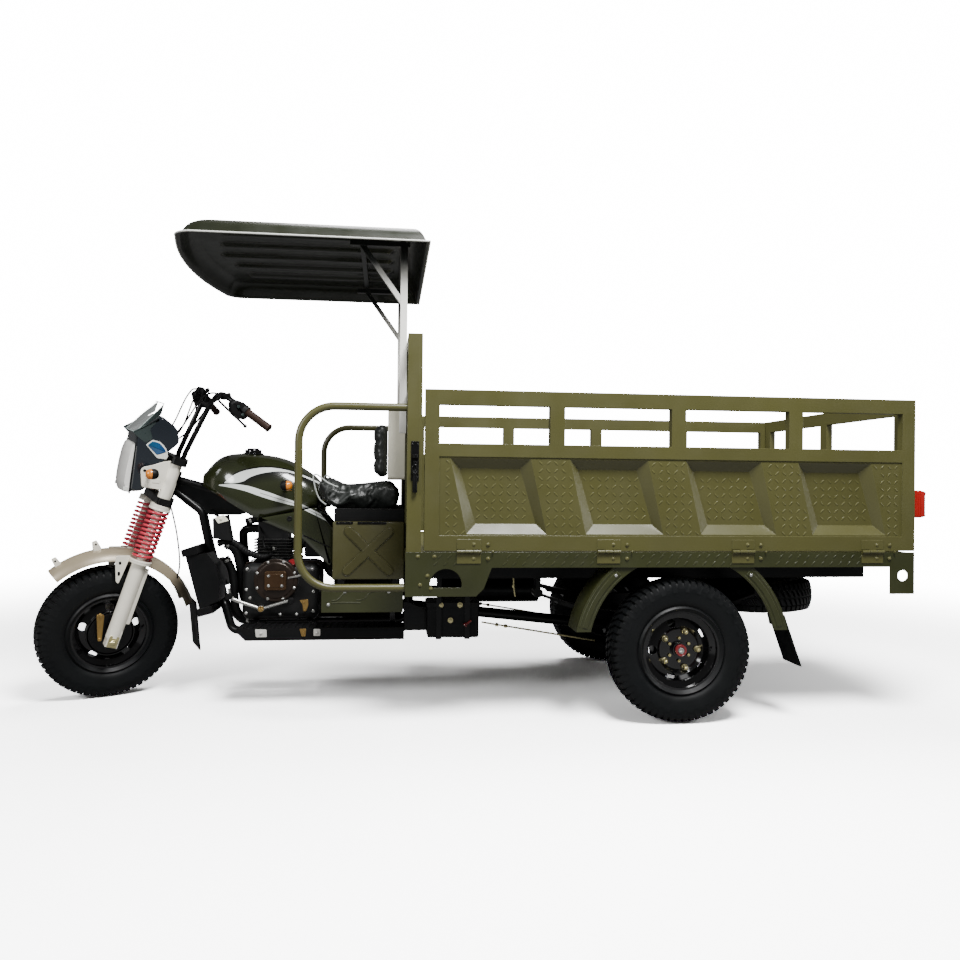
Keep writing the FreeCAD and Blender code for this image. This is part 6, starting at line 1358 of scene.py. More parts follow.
def addLampUnit():
    cowl, lens, reflector = shapes(3)
    outline = rounded([lampPlace(share) for share in lampUnit["cowl"]], 0.016, 4)
    outline = anticlockwise(inset(outline, 0.0004))
    crossLoft(cowl, outline, lampUnit["cowlHalf"], 0.07, rows=22, power=8)
    made = piece("lamp_cowl", cowl, "navyShell", "steering", 42)
    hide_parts("headlight_cowl")

    outline = anticlockwise([lampPlace(share) for share in lampUnit["lens"]])
    crossLoft(lens, rounded(outline, 0.006, 2), lampUnit["lensHalf"], 0.06, lampUnit["lensBulge"], 22, 6)
    # a near-white lens: painted reflection of the mirror behind it
    made = piece("lamp_lens", lens, "clearLensAndReflection", "steering", 45)
    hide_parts("headlight_lens")
    # fluted mirror just inside the lens
    small = inset(rounded(outline, 0.006, 2), 0.005)
    rows = []
    for step in range(lampUnit["flutes"] + 1):
        share = -1 + 2 * step / lampUnit["flutes"]
        grow = 1 - 0.08 * abs(share) ** 6 + (lampUnit["fluteDeep"] if step % 4 in (1, 2) else 0.0)
        rows.append(rowAcross(small, (lampUnit["lensHalf"] - 0.004) * share, grow,
                              lampUnit["lensBulge"] * share * share, steerTurn))
    addRows(reflector, rows)
    piece("lamp_mirror", reflector, "lampMirror", "steering", 25)

    rim, bands, jewels, rims, marks = shapes(5)
    for side in (-1, 1):
        edge = [lampPlace((0.118, 0.018)), lampPlace((0.170, 0.32)), lampPlace((0.236, 0.66))]
        path = [steerTurn @ Vector((spot.x + 0.004, side * (lampUnit["lensHalf"] - 0.001),
                                    spot.y)) for spot in edge]
        sweep(rim, smoothRoute(path, 10), 0.0040, 10)
        sidePlate(bands, rounded(lampUnit["band"], 0.006, 3), lampUnit["cowlHalf"] - 0.0050, 0.0055, side,
                  steerTurn, 0.001, 0.0005)
        sidePlate(rims, rounded(lampUnit["sideRim"], 0.004, 3), lampUnit["cowlHalf"] - 0.004, 0.0055, side,
                  steerTurn, 0.0008)
        sidePlate(jewels, rounded(lampUnit["sideLens"], 0.004, 3), lampUnit["cowlHalf"] - 0.002, 0.0050, side,
                  steerTurn, 0.0008, 0.0008)
        sidePlate(marks, rounded(lampUnit["mark"], 0.002, 2), lampUnit["lensHalf"] - 0.003, 0.0042, side,
                  steerTurn, 0.0006)
    piece("lamp_rim", rim, "blackPlastic", "steering", 50)
    piece("cowl_bands", bands, "greyGreen", "steering", 30)
    piece("cowl_lens_rims", rims, "trimWhite", "steering", 30)
    piece("cowl_lenses", jewels, "blueLens", "steering", 30)
    piece("lamp_marks", marks, "trimWhite", "steering", 30)


def screenSpot(spot, share, across, sink=0.0):
    # a place on the bowed screen: share 0...1 from its foot to its top, across -1...1, sunk by so much
    return steerTurn @ Vector((spot.x + lampUnit["screenBow"] * across * across,
                               across * (lampUnit["screenHalf"] - lampUnit["screenTaper"] * share ** 2),
                               spot.y - lampUnit["screenDrop"] * across * across - sink))


def addScreen():
    # a thin bowed screen above the cowl, with cheeks that close the gap below it and a bright rolled edge
    clear, foot, edge = shapes(3)
    half, bow, taper = lampUnit["screenHalf"], lampUnit["screenBow"], lampUnit["screenTaper"]
    tops = smoothRoute([(*lampPlace(share), 0) for share in lampUnit["screen"]], 5)
    feet = smoothRoute([(*lampPlace(share), 0) for share in lampUnit["screenFoot"]], 5)
    last, steps = len(tops) - 1, lampUnit["screenSteps"]
    size, count = last + 1, lampUnit["screenSteps"] + 1
    columns = [-1 + 2 * step / steps for step in range(count)]
    points = [screenSpot(spot, index / last, across, sink) for sink in (0, lampUnit["screenSkin"])
              for across in columns for index, spot in enumerate(tops)]
    under = count * size
    faces = ringFaces(count, size, closed=False)
    faces += [tuple(under + index for index in reversed(face)) for face in faces]
    for step in range(steps):
        for index in (0, last):
            a, b = step * size + index, (step + 1) * size + index
            faces.append((a, b, under + b, under + a))
    for index in range(last):
        for step in (0, steps):
            a, b = step * size + index, step * size + index + 1
            faces.append((a, b, under + b, under + a))
    addMesh(*clear, points, faces)
    made = piece("wind_screen", clear, "screenClear", "steering", 40)
    for side in (-1, 1):
        rows = []
        for index, (top, low) in enumerate(zip(tops, feet)):
            out = side * (half - taper * (index / last) ** 2 - 0.0006)
            high, down = Vector((top.x + bow, top.y - 0.0095)), Vector((low.x, low.y))
            row = []
            for place, shares in ((out, (0, 1, 2, 3, 4)), (out - side * 0.0024, (4, 3, 2, 1, 0))):
                for share in (step / 4 for step in shares):
                    spot = high.lerp(down, share)
                    row.append(steerTurn @ Vector((spot.x, place * (1 + 0.10 * share), spot.y)))
            rows.append(row)
        addRows(foot, rows)
        sweep(edge, [screenSpot(spot, index / last, side, 0.0015) for index, spot in enumerate(tops)], 0.0019,
              8)
    for index in (0, last):
        sweep(edge, [screenSpot(tops[index], index / last, across, 0.0013) for across in columns], 0.0019, 8)
    piece("screen_cheeks", foot, "greyGreen", "steering", 40)
    piece("screen_edge", edge, "trimGlass", "steering", 50)
    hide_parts("windshield")


# lamp brackets, indicators

bracket = {
    "out": 0.1175,
    "outline": [(-1.4905, 1.012), (-1.482, 1.0265), (-1.441, 1.0345), (-1.395, 1.049), (-1.345, 1.053),
                (-1.345, 0.95), (-1.368, 0.883), (-1.413, 0.886), (-1.4015, 0.926), (-1.436, 0.9325),
                (-1.4865, 0.943)],
    "hole": (-1.474, 1.012), "slot": (-1.366, 1.001), "emboss": (-1.428, 0.966),
}
blinkers = {"front": (-1.459, 0.196, 1.008), "side": (-0.815, 0.205, 0.930), "radius": 0.0215, "long": 0.052}


def blinkerShape(shape, lens, place, out, high, side, forward, turn):
    # housing behind, a domed amber lens ahead of it, the stalk's rubber foot below
    start = Vector((place, side * out, high))
    where = turn @ placed(start, (forward, 0, 0))
    radius, long = blinkers["radius"], blinkers["long"]
    lathe(lens, where, [(radius * 0.99, 0.0), (radius * 0.98, long * 0.20), (radius * 0.90, long * 0.34),
                        (radius * 0.72, long * 0.44), (radius * 0.42, long * 0.50),
                        (radius * 0.1, long * 0.52)], 36)
    where = turn @ placed(start, (-forward, 0, 0))
    lathe(shape, where, [(radius * 1.04, -0.003), (radius * 1.04, long * 0.12), (radius * 0.95, long * 0.30),
                         (radius * 0.72, long * 0.42), (radius * 0.4, long * 0.47)], 36)
    path = [turn @ Vector((place - forward * 0.004, side * reach, high - drop)) for reach, drop in
            ((out - 0.004, 0.010), (out - 0.022, 0.010), (out - 0.045, 0.004), (out - 0.075, 0.0))]
    sweep(shape, smoothRoute(path, 5), 0.0078, 12)


def addBlinkers():
    for word, body in (("front", "steering"), ("side", "vehicle")):
        place, out, high = blinkers[word]
        shape, lens = shapes(2)
        for side in (-1, 1):
            blinkerShape(shape, lens, place, out, high, side, -1 if word == "front" else 1,
                         steerTurn if word == "front" else Matrix.Identity(4))
        made = piece(word + "_indicator_lenses", lens, "amberLens", body, 50)
        piece(word + "_indicator_housings", shape, "blackPlastic", body, 50)
        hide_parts(word + "_indicators")


def addBracketTrim():
    plates, dark = shapes(2)
    for side in (-1, 1):
        sidePlate(plates, rounded(bracket["outline"], 0.009, 4), bracket["out"] - 0.003, 0.0052, side,
                  steerTurn, 0.0011)
        x, z = bracket["emboss"]
        emboss = [(x - 0.017, z - 0.008), (x + 0.015, z - 0.011), (x + 0.017, z + 0.006),
                  (x - 0.004, z + 0.010), (x - 0.015, z + 0.007)]
        sidePlate(plates, rounded(emboss, 0.003, 3), bracket["out"] + 0.0018, 0.0020, side, steerTurn, 0.0008)
        x, z = bracket["hole"]
        where = steerTurn @ flank(x, bracket["out"] + 0.0020, z, side)
        lathe(dark, where, [(0.0062, -0.001), (0.0062, 0.0006), (0.0048, 0.0009)], 20)
        x, z = bracket["slot"]
        slot = [(x - 0.012, z - 0.026), (x - 0.002, z - 0.029), (x + 0.014, z + 0.012),
                (x + 0.012, z + 0.029), (x + 0.001, z + 0.025), (x - 0.013, z - 0.002)]
        sidePlate(dark, rounded(slot, 0.005, 3), bracket["out"] + 0.0018, 0.0012, side, steerTurn, 0.0004)
    made = piece("bracket_plates", plates, "champagne", "steering", 30)
    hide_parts("lamp_brackets")
    piece("bracket_openings", dark, "blackPlastic", "steering", 30)


# seat box: a folded shell with a wide rounded cross pressed out of each flank

seatBox = {
    "front": -0.604, "back": -0.315, "low": 0.552, "high": 0.786, "half": 0.400, "corner": 0.006,
    "arms": (((-0.540, 0.7490), (-0.375, 0.5855)), ((-0.377, 0.7465), (-0.545, 0.5870))), "armHalf": 0.0195,
    "crossHigh": 0.0050, "hinges": ((-0.590, -0.523), (-0.504, -0.387)), "hingeHigh": 0.783,
}


def capsule(start, end, half, steps=10):
    # a bar with round ends
    first, last = Vector(start), Vector(end)
    turn = math.atan2(last.y - first.y, last.x - first.x)
    made = []
    for spot, begin in ((last, turn - math.pi / 2), (first, turn + math.pi / 2)):
        for step in range(steps + 1):
            angle = begin + math.pi * step / steps
            made.append(spot + Vector((math.cos(angle), math.sin(angle))) * half)
    return made


def addSeatBox():
    box, trim = shapes(2)
    low, high, half = seatBox["low"], seatBox["high"], seatBox["half"]
    outline = rounded(corners(seatBox["front"], low, seatBox["back"], high), seatBox["corner"], 4)
    ends = ((0.0040, half), (0.0012, half - 0.0012), (0, half - 0.0040))
    rows = [(away, -out) for away, out in ends] + [(away, out) for away, out in reversed(ends)]
    addRows(box, [[Vector((point.x, y, point.y)) for point in inset(outline, away)] for away, y in rows])
    for side in (-1, 1):
        for index, (start, end) in enumerate(seatBox["arms"]):
            sidePlate(box, capsule(start, end, seatBox["armHalf"]), half - 0.0008,
                      seatBox["crossHigh"] + index * 0.0001, side, None, 0.0040)
        for start, end in seatBox["hinges"]:
            leaf = corners(start, seatBox["hingeHigh"] - 0.006, end, seatBox["hingeHigh"] + 0.004)
            sidePlate(trim, rounded(leaf, 0.002, 2), half, 0.0026, side, None, 0.0006)
            for share in (0.15, 0.5, 0.85):
                spot = (start + share * (end - start), side * (half + 0.002), seatBox["hingeHigh"] - 0.002)
                bolt(trim, spot, (0, side, 0), 0.0022, 0.0018, share * 5)
    # the box shell takes the olive darkened as painted shade
    made = piece("box_shell", box, "oliveBoxPaintedShade", "vehicle", 32)
    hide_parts("seat_box")
    piece("box_hinges", trim, "blackPaint", "vehicle", 32)


# steps: a pressed crease and the studs that hold the tread

stepPlate = {"out": 0.400, "creases": [((-0.605, 0.467), (-0.582, 0.470), (-0.557, 0.496), (-0.541, 0.504)),
                                       ((-0.605, 0.457), (-0.560, 0.459), (-0.489, 0.458)),
                                       ((-0.505, 0.468), (-0.474, 0.474), (-0.452, 0.498), (-0.430, 0.504))],
             "studs": ((-0.618, 0.451), (-0.552, 0.503), (-0.375, 0.502)),
             "cleats": 7, "cleatFrom": -0.625, "cleatPitch": 0.040, "cleatOut": 0.375, "cleatHigh": 0.5066,
             "cleatHalf": (0.018, 0.003), "cleatLean": 35}


def addStepTrim():
    folds, studs = shapes(2)
    for side in (-1, 1):
        out = side * stepPlate["out"]
        for route in stepPlate["creases"]:
            sweep(folds, smoothRoute(flankRoute(route, out), 6), 0.0022, 8)
        for x, z in stepPlate["studs"]:
            bolt(studs, (x, out, z), (0, side, 0), 0.0050, 0.0045, x * 11)
        for index in range(stepPlate["cleats"]):
            x = stepPlate["cleatFrom"] + index * stepPlate["cleatPitch"]
            where = placed((x, side * stepPlate["cleatOut"], stepPlate["cleatHigh"]), (0, 0, 1),
                           math.radians(stepPlate["cleatLean"] * (-1) ** index))
            long, wide = stepPlate["cleatHalf"]
            slab(folds, where, rounded(corners(-long, -wide, long, wide), 0.002, 3), 0.0026, 0.0008)
    # the creases and cleats take the olive darkened as painted shade
    piece("step_folds", folds, "olivePaintedShade", "vehicle")
    piece("step_studs", studs, "steel", "vehicle")


# foot pedals: a bent flat-ended rod on a pivot, with a rubber at each end

pedal = {"out": 0.206, "route": ((-1.046, 0.492), (-1.041, 0.462), (-1.028, 0.446), (-0.975, 0.427),
                                 (-0.918, 0.4065), (-0.905, 0.4065), (-0.850, 0.4235), (-0.785, 0.4425)),
         "radius": 0.0078, "pivot": (-0.912, 0.4065), "shaftFoot": 0.150, "ribs": 7, "ribStep": 0.005}


def bentRoute(route, bend, steps=5):
    # an open run of straights with turned corners
    points = [Vector(point) for point in route]
    path = [points[0]]
    for before, here, after in zip(points, points[1:], points[2:]):
        start = here + (before - here).normalized() * min(bend, (before - here).length * 0.48)
        end = here + (after - here).normalized() * min(bend, (after - here).length * 0.48)
        for step in range(steps + 1):
            share = step / steps
            path.append(start * (1 - share) ** 2 + here * 2 * share * (1 - share) + end * share ** 2)
    return path + [points[-1]]


def addPedals():
    rods, pads, pivots = shapes(3)
    for side in (-1, 1):
        route = flankRoute(pedal["route"], side * pedal["out"])
        path = bentRoute(route, 0.012, 4)
        radii = [pedal["radius"] * (0.82 if index < 3 else 1) for index in range(len(path))]
        sweep(rods, path, radii, 14)
        x, z = pedal["pivot"]
        where = flank(x, pedal["out"], z, side)
        lathe(rods, where, [(0.0075, -(pedal["out"] - pedal["shaftFoot"])), (0.0075, -0.016),
                            (0.0135, -0.014), (0.0145, -0.012), (0.0145, 0.009), (0.0130, 0.011)], 26)
        lathe(pivots, where, [(0.0118, 0.010), (0.0125, 0.0115), (0.0118, 0.0135)], 22)
        lathe(pivots, where, [(0.0088, 0.0125), (0.0088, 0.0195), (0.0074, 0.0212)], 6)
        for spot in (route[-1], route[1]):
            where = placed(spot, (0, side, 0))
            lathe(rods, where, [(0.0085, -0.008), (0.0085, 0.012)], 16)
            ribs = [(0.0105, 0.010)]
            for index in range(pedal["ribs"]):
                start = 0.012 + index * pedal["ribStep"]
                ribs += [(0.0130, start), (0.0130, start + 0.0028), (0.0112, start + 0.0036)]
            lathe(pads, where, ribs + [(0.0105, 0.049)], 20)
    made = piece("pedal_rods", rods, "steel", "vehicle", 40)
    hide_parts("foot_levers")
    piece("pedal_pads", pads, "rubber", "vehicle", 40)
    piece("pedal_pivots", pivots, "brass", "vehicle", 40)


# foot boards: ribbed treads, the peg bracket and its two brass stays

board = {"inner": 0.184, "outer": 0.296, "top": 0.338, "out": 0.3003,
         "bracket": [(-0.922, 0.336), (-0.876, 0.334), (-0.874, 0.303), (-0.918, 0.303)],
         "stay": [(-0.742, 0.336), (-0.714, 0.336), (-0.717, 0.304), (-0.733, 0.304)],
         "tab": [(-0.684, 0.335), (-0.656, 0.335), (-0.656, 0.306), (-0.684, 0.306)],
         "hanger": [(-0.752, 0.444), (-0.715, 0.448), (-0.713, 0.424), (-0.722, 0.396), (-0.735, 0.396),
                    (-0.738, 0.424)], "hangerOut": 0.222, "hangerRod": (-0.7285, 0.404),
         "hangerBolt": (-0.732, 0.434), "boltHigh": 0.319,
         "treads": 23, "treadFrom": -0.966, "treadPitch": 0.0285, "treadWide": 0.012}


def addBoardTrim():
    treads, greys, golds = shapes(3)
    for side in (-1, 1):
        for index in range(board["treads"]):
            x = board["treadFrom"] + index * board["treadPitch"]
            where = placed((x, side * (board["inner"] + board["outer"]) / 2, board["top"] - 0.0006),
                           (0, 0, 1))
            slab(treads, where, rectangle(board["treadWide"], board["outer"] - board["inner"], 0.004, 3),
                 0.0042, 0.0012)
        for key, shape in (("bracket", greys), ("tab", greys), ("stay", golds)):
            sidePlate(shape, rounded(board[key], 0.004, 3), board["out"] - 0.0008, 0.0040, side, None, 0.0009)
            x = sum(point[0] for point in board[key]) / 4
            bolt(shape, (x, side * (board["out"] + 0.003), board["boltHigh"]), (0, side, 0),
                 0.0046, 0.0045, x * 7)
        sidePlate(golds, rounded(board["hanger"], 0.005, 3), board["hangerOut"], 0.0040, side, None, 0.0009)
        x, z = board["hangerRod"]
        sweep(golds, [Vector((x, side * y, z)) for y in (board["hangerOut"], 0.1900, 0.1300)], 0.0050, 10)
        for (x, z), radius, high, roll in ((board["hangerRod"], 0.0052, 0.0050, 0.4),
                                           (board["hangerBolt"], 0.0046, 0.0045, 0.9)):
            bolt(golds, (x, side * (board["hangerOut"] + 0.0035), z), (0, side, 0), radius, high, roll)
    piece("board_treads", treads, "rubber", "vehicle")
    piece("board_brackets", greys, "greyPaint", "vehicle", 32)
    piece("board_stays", golds, "brass", "vehicle", 32)


# engine: covers with their bolts, plug and lead, shift arm, oil cap and breather hose

engine = {"centre": (-0.855, 0.524), "radius": 0.0905, "face": 0.188, "case": 0.150,
          "plate": (0.046, 0.041), "plateThick": 0.0190,
          "caseBolts": ((-0.982, 0.568), (-0.984, 0.480), (-0.968, 0.444), (-0.984, 0.378), (-0.705, 0.568),
                        (-0.700, 0.470), (-0.700, 0.385), (-0.840, 0.372), (-0.770, 0.372)),
          "faceBolts": 8, "seamOut": 0.055,
          "seam": [(-1.0055, 0.3445), (-0.6745, 0.3445), (-0.6745, 0.5905), (-1.0055, 0.5905)],
          "oilCap": (-0.791, 0.130, 0.594), "plug": (-0.882, -0.075, 0.650),
          "shift": ((-0.800, 0.535), (-0.770, 0.541), (-0.744, 0.546), (-0.727, 0.530))}
hose = {"route": ((-1.113, -0.112, 0.676), (-1.057, -0.112, 0.690), (-0.986, -0.112, 0.636),
                  (-0.925, -0.100, 0.612), (-0.885, -0.060, 0.628)), "radius": 0.0132}

# radiator hoses down to the engine, and the loom that lies along the frame under the tank
coolant = {"runs": ((((-1.098, -0.020, 0.668), (-1.052, -0.020, 0.645), (-1.031, -0.020, 0.560),
                      (-1.027, -0.020, 0.480), (-1.012, -0.020, 0.415), (-0.975, -0.020, 0.398)), 0.0190),
                    (((-1.094, -0.050, 0.610), (-1.062, -0.050, 0.560), (-1.052, -0.050, 0.466),
                      (-1.050, -0.050, 0.395), (-1.026, -0.050, 0.348), (-0.975, -0.050, 0.338)), 0.0175),
                    (((-1.010, -0.020, 0.766), (-0.941, -0.020, 0.784), (-0.841, -0.020, 0.808),
                      (-0.761, -0.020, 0.827), (-0.640, -0.020, 0.852)), 0.0150))}


def addEngineTrim():
    covers, plate, bolts, reds = shapes(4)
    x, z = engine["centre"]
    for side in (-1, 1):
        face = engine["face"] if side < 0 else engine["case"]
        where = flank(x, face, z, side)
        radius = engine["radius"]
        lathe(covers, where, [(radius * 1.015, -0.012), (radius * 1.015, 0.0018), (radius * 0.985, 0.0040),
                              (radius * 0.93, 0.0046), (radius * 0.90, 0.0036), (radius * 0.86, 0.0036),
                              (radius * 0.82, 0.0062), (radius * 0.70, 0.0072), (radius * 0.30, 0.0078)], 64)
        for index in range(engine["faceBolts"]):
            angle = 2 * math.pi * (index + 0.5) / engine["faceBolts"]
            spot = (x + radius * 0.93 * math.cos(angle), side * (face + 0.004),
                    z + radius * 0.93 * math.sin(angle))
            bolt(bolts, spot, (0, side, 0), 0.0040, 0.0040, angle)
        wide, tall = engine["plate"]
        outline = corners(x - wide, z - tall, x + wide, z + tall)
        thick = engine["plateThick"] if side < 0 else 0.0110
        sidePlate(plate, rounded(outline, 0.012, 5), face, thick, side, None, 0.0025)
        small = rounded(inset(outline, 0.012), 0.006, 4)
        sidePlate(plate, small, face + thick - 0.001, 0.0024, side, None, 0.0012)
        for across in (-0.60, 0.60):
            for up in (-0.52, 0.52):
                bolt(bolts, (x + across * wide, side * (face + thick + 0.0006), z + up * tall), (0, side, 0),
                     0.0044, 0.0040, across + up)
        for spotX, spotZ in engine["caseBolts"]:
            bolt(bolts, (spotX, side * (engine["case"] - 0.001), spotZ), (0, side, 0), 0.0046, 0.0050,
                 spotX * 13)
        # split line round the case
        rim = [Vector((point.x, side * engine["seamOut"], point.y))
               for point in rounded(engine["seam"], 0.030, 6)]
        sweep(covers, rim + rim[:2], 0.0038, 8, True)
        shift = flankRoute(engine["shift"], side * (engine["face"] + 0.006))
        sweep(bolts, smoothRoute(shift, 6), [0.0050] * 16 + [0.0062] * 3, 10)
        shaftX, shaftZ = engine["shift"][0]
        sweep(bolts, [Vector((shaftX, side * y, shaftZ)) for y in (0.140, 0.196)], 0.0055, 12)
    x, y, z = engine["oilCap"]
    for side in (-1, 1):
        where = placed((x, side * y, z - 0.010), (0, side * 0.75, 1))
        lathe(reds, where, [(0.0150, -0.006), (0.0150, 0.008), (0.0185, 0.009), (0.0190, 0.018),
                            (0.0165, 0.0205), (0.0100, 0.0195)], 30)
    made = piece("engine_plates", plate, "bronze", "vehicle", 32)
    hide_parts("engine_cover")
    piece("engine_covers", covers, "bronzeDark", "vehicle", 30)
    piece("engine_bolts", bolts, "steel", "vehicle")
    piece("oil_caps", reds, "capRed", "vehicle")


def addEngineHoses():
    ribs, leads, plugs, clips = shapes(4)
    path = smoothRoute(bentRoute(hose["route"], 0.030, 4), 5)
    radii = [hose["radius"] + (0.0022 if index % 4 in (1, 2) else 0.0) for index in range(len(path))]
    sweep(ribs, path, radii, 16)
    x, y, z = engine["plug"]
    where = placed((x, y, z), (-0.55, -0.8, 0.15))
    lathe(plugs, where, [(0.0085, -0.014), (0.0085, 0.002), (0.0062, 0.004), (0.0062, 0.016),
                         (0.0050, 0.020)], 18)
    lathe(leads, where, [(0.0078, 0.012), (0.0086, 0.015), (0.0086, 0.034), (0.0060, 0.038)], 18)
    tip = where @ Vector((0, 0, 0.036))
    lead = [tip, tip + Vector((-0.012, -0.012, 0.006)), Vector((-0.930, -0.085, 0.715)),
            Vector((-0.955, -0.050, 0.770)), Vector((-0.985, -0.030, 0.812))]
    sweep(leads, smoothRoute(lead, 8), 0.0034, 10)
    bracketOutline = [(-1.121, 0.789), (-1.082, 0.802), (-1.060, 0.776), (-1.104, 0.764)]
    sidePlate(clips, rounded(bracketOutline, 0.004, 3), 0.1502, 0.0034, -1, None, 0.0009)
    bolt(clips, (-1.092, -0.1536, 0.784), (0, -1, 0), 0.0046, 0.0042, 0.2)
    pipes, bands = shapes(2)
    for route, radius in coolant["runs"]:
        path = smoothRoute(bentRoute(route, 0.045, 4), 5)
        sweep(pipes, path, radius, 18)
        for index in (3, len(path) - 4):
            along = path[index + 1] - path[index - 1]
            lathe(bands, placed(path[index], along), [(radius, -0.006), (radius + 0.0016, -0.005),
                                                      (radius + 0.0016, 0.005), (radius, 0.006)], 24)
    piece("coolant_hoses", pipes, "rubber", "vehicle", 40)
    piece("hose_bands", bands, "steel", "vehicle", 40)
    piece("breather_hose", ribs, "rubber", "vehicle", 40)
    piece("plug_lead", leads, "rubber", "vehicle", 40)
    piece("plug_body", plugs, "trimWhite", "vehicle", 40)
    piece("reservoir_clip", clips, "cream", "vehicle", 32)


# under the bed: a battery box on the left rail, the brake rods and the zinc bolts

underBed = {
    "boxOutline": [(-0.213, 0.300), (0.004, 0.298), (0.004, 0.449), (-0.213, 0.451)], "boxOut": 0.335,
    "boxDeep": 0.130, "boxLid": [(-0.217, 0.425), (0.008, 0.425), (0.008, 0.447), (-0.217, 0.447)],
    "straps": (-0.165, -0.045), "strapHalf": 0.011, "strapLow": 0.2955, "strapTop": 0.552,
    "bolts": ((-0.157, 0.436), (-0.076, 0.436), (-0.116, 0.372)),
    "handle": ((-0.056, 0.350), (-0.048, 0.358), (-0.029, 0.371)),
    "rod": ((0.020, 0.357), (0.081, 0.346), (0.124, 0.339), (0.300, 0.309), (0.515, 0.273)),
    "rodNuts": (0.086, 0.124), "hangRod": ((0.157, 0.590), (0.160, 0.507), (0.167, 0.463)),
    "rodOut": 0.300, "hangOut": 0.285, "rodRadius": 0.0036,
    "stay": [(-0.312, 0.440), (-0.290, 0.440), (-0.205, 0.400), (-0.205, 0.318), (-0.222, 0.318),
             (-0.308, 0.318)],
}


def addUnderBed():
    box, stays, golds, reds = shapes(4)
    out, deep = underBed["boxOut"], underBed["boxDeep"]
    outline = rounded(underBed["boxOutline"], 0.010, 4)
    sidePlate(box, outline, out - deep, deep, -1, None, 0.0035)
    sidePlate(box, rounded(underBed["boxLid"], 0.004, 3), out - deep - 0.004, deep + 0.008, -1, None, 0.0015)
    for x in underBed["straps"]:
        strap = corners(x - underBed["strapHalf"], underBed["strapLow"],
                        x + underBed["strapHalf"], underBed["strapTop"])
        sidePlate(stays, rounded(strap, 0.002, 2), out + 0.0035, 0.0028, -1, None, 0.0007)
        where = placed((x, -(out - deep / 2), underBed["strapLow"]), (0, 0, -1))
        slab(stays, where, rectangle(2 * underBed["strapHalf"], deep + 0.010, 0.002, 2), 0.0028, 0.0007)
    sidePlate(stays, rounded(underBed["stay"], 0.006, 3), out - 0.075, 0.0045, -1, None, 0.0010)
    for x, z in underBed["bolts"]:
        bolt(golds, (x, -(out + 0.0035), z), (0, -1, 0), 0.0080, 0.0065, x * 5)
    route = smoothRoute(flankRoute(underBed["handle"], -(out + 0.010)), 6)
    sweep(reds, route, [0.0098] * 4 + [0.0070] * 3 + [0.0045] * 6, 12)
    for side in (-1, 1):
        rod = flankRoute(underBed["rod"], side * underBed["rodOut"])
        sweep(golds, rod, underBed["rodRadius"], 10)
        for x in underBed["rodNuts"]:
            spot = rod[1] + (rod[-1] - rod[1]) * ((x - rod[1].x) / (rod[-1].x - rod[1].x))
            where = placed(spot, rod[-1] - rod[1])
            lathe(golds, where, [(0.0085, -0.006), (0.0085, 0.005), (0.0070, 0.006)], 6)
        hang = flankRoute(underBed["hangRod"], side * underBed["hangOut"])
        sweep(golds, smoothRoute(hang, 5), underBed["rodRadius"], 10)
        where = placed(hang[1], hang[2] - hang[0])
        lathe(golds, where, [(0.0080, -0.005), (0.0080, 0.005)], 6)
    piece("battery_box", box, "blackPlastic", "vehicle", 32)
    piece("battery_straps", stays, "blackPaint", "vehicle", 32)
    piece("brake_rods", golds, "zinc", "vehicle")
    piece("battery_switch", reds, "capRed", "vehicle", 40)


# hand controls: ribbed grips, switch housings and lever perches, drawn straight ahead

grip = {"start": (-1.171, 0.243, 1.340), "end": (-1.035, 0.392, 1.222), "long": 0.122, "radius": 0.0165,
        "ribs": 20, "switch": [(-1.176, 1.321), (-1.162, 1.331), (-1.140, 1.331), (-1.093, 1.298),
                               (-1.086, 1.279), (-1.117, 1.249), (-1.150, 1.256), (-1.172, 1.277)],
        "switchIn": 0.272, "switchThick": 0.050, "perch": (-1.171, 0.168, 1.340)}


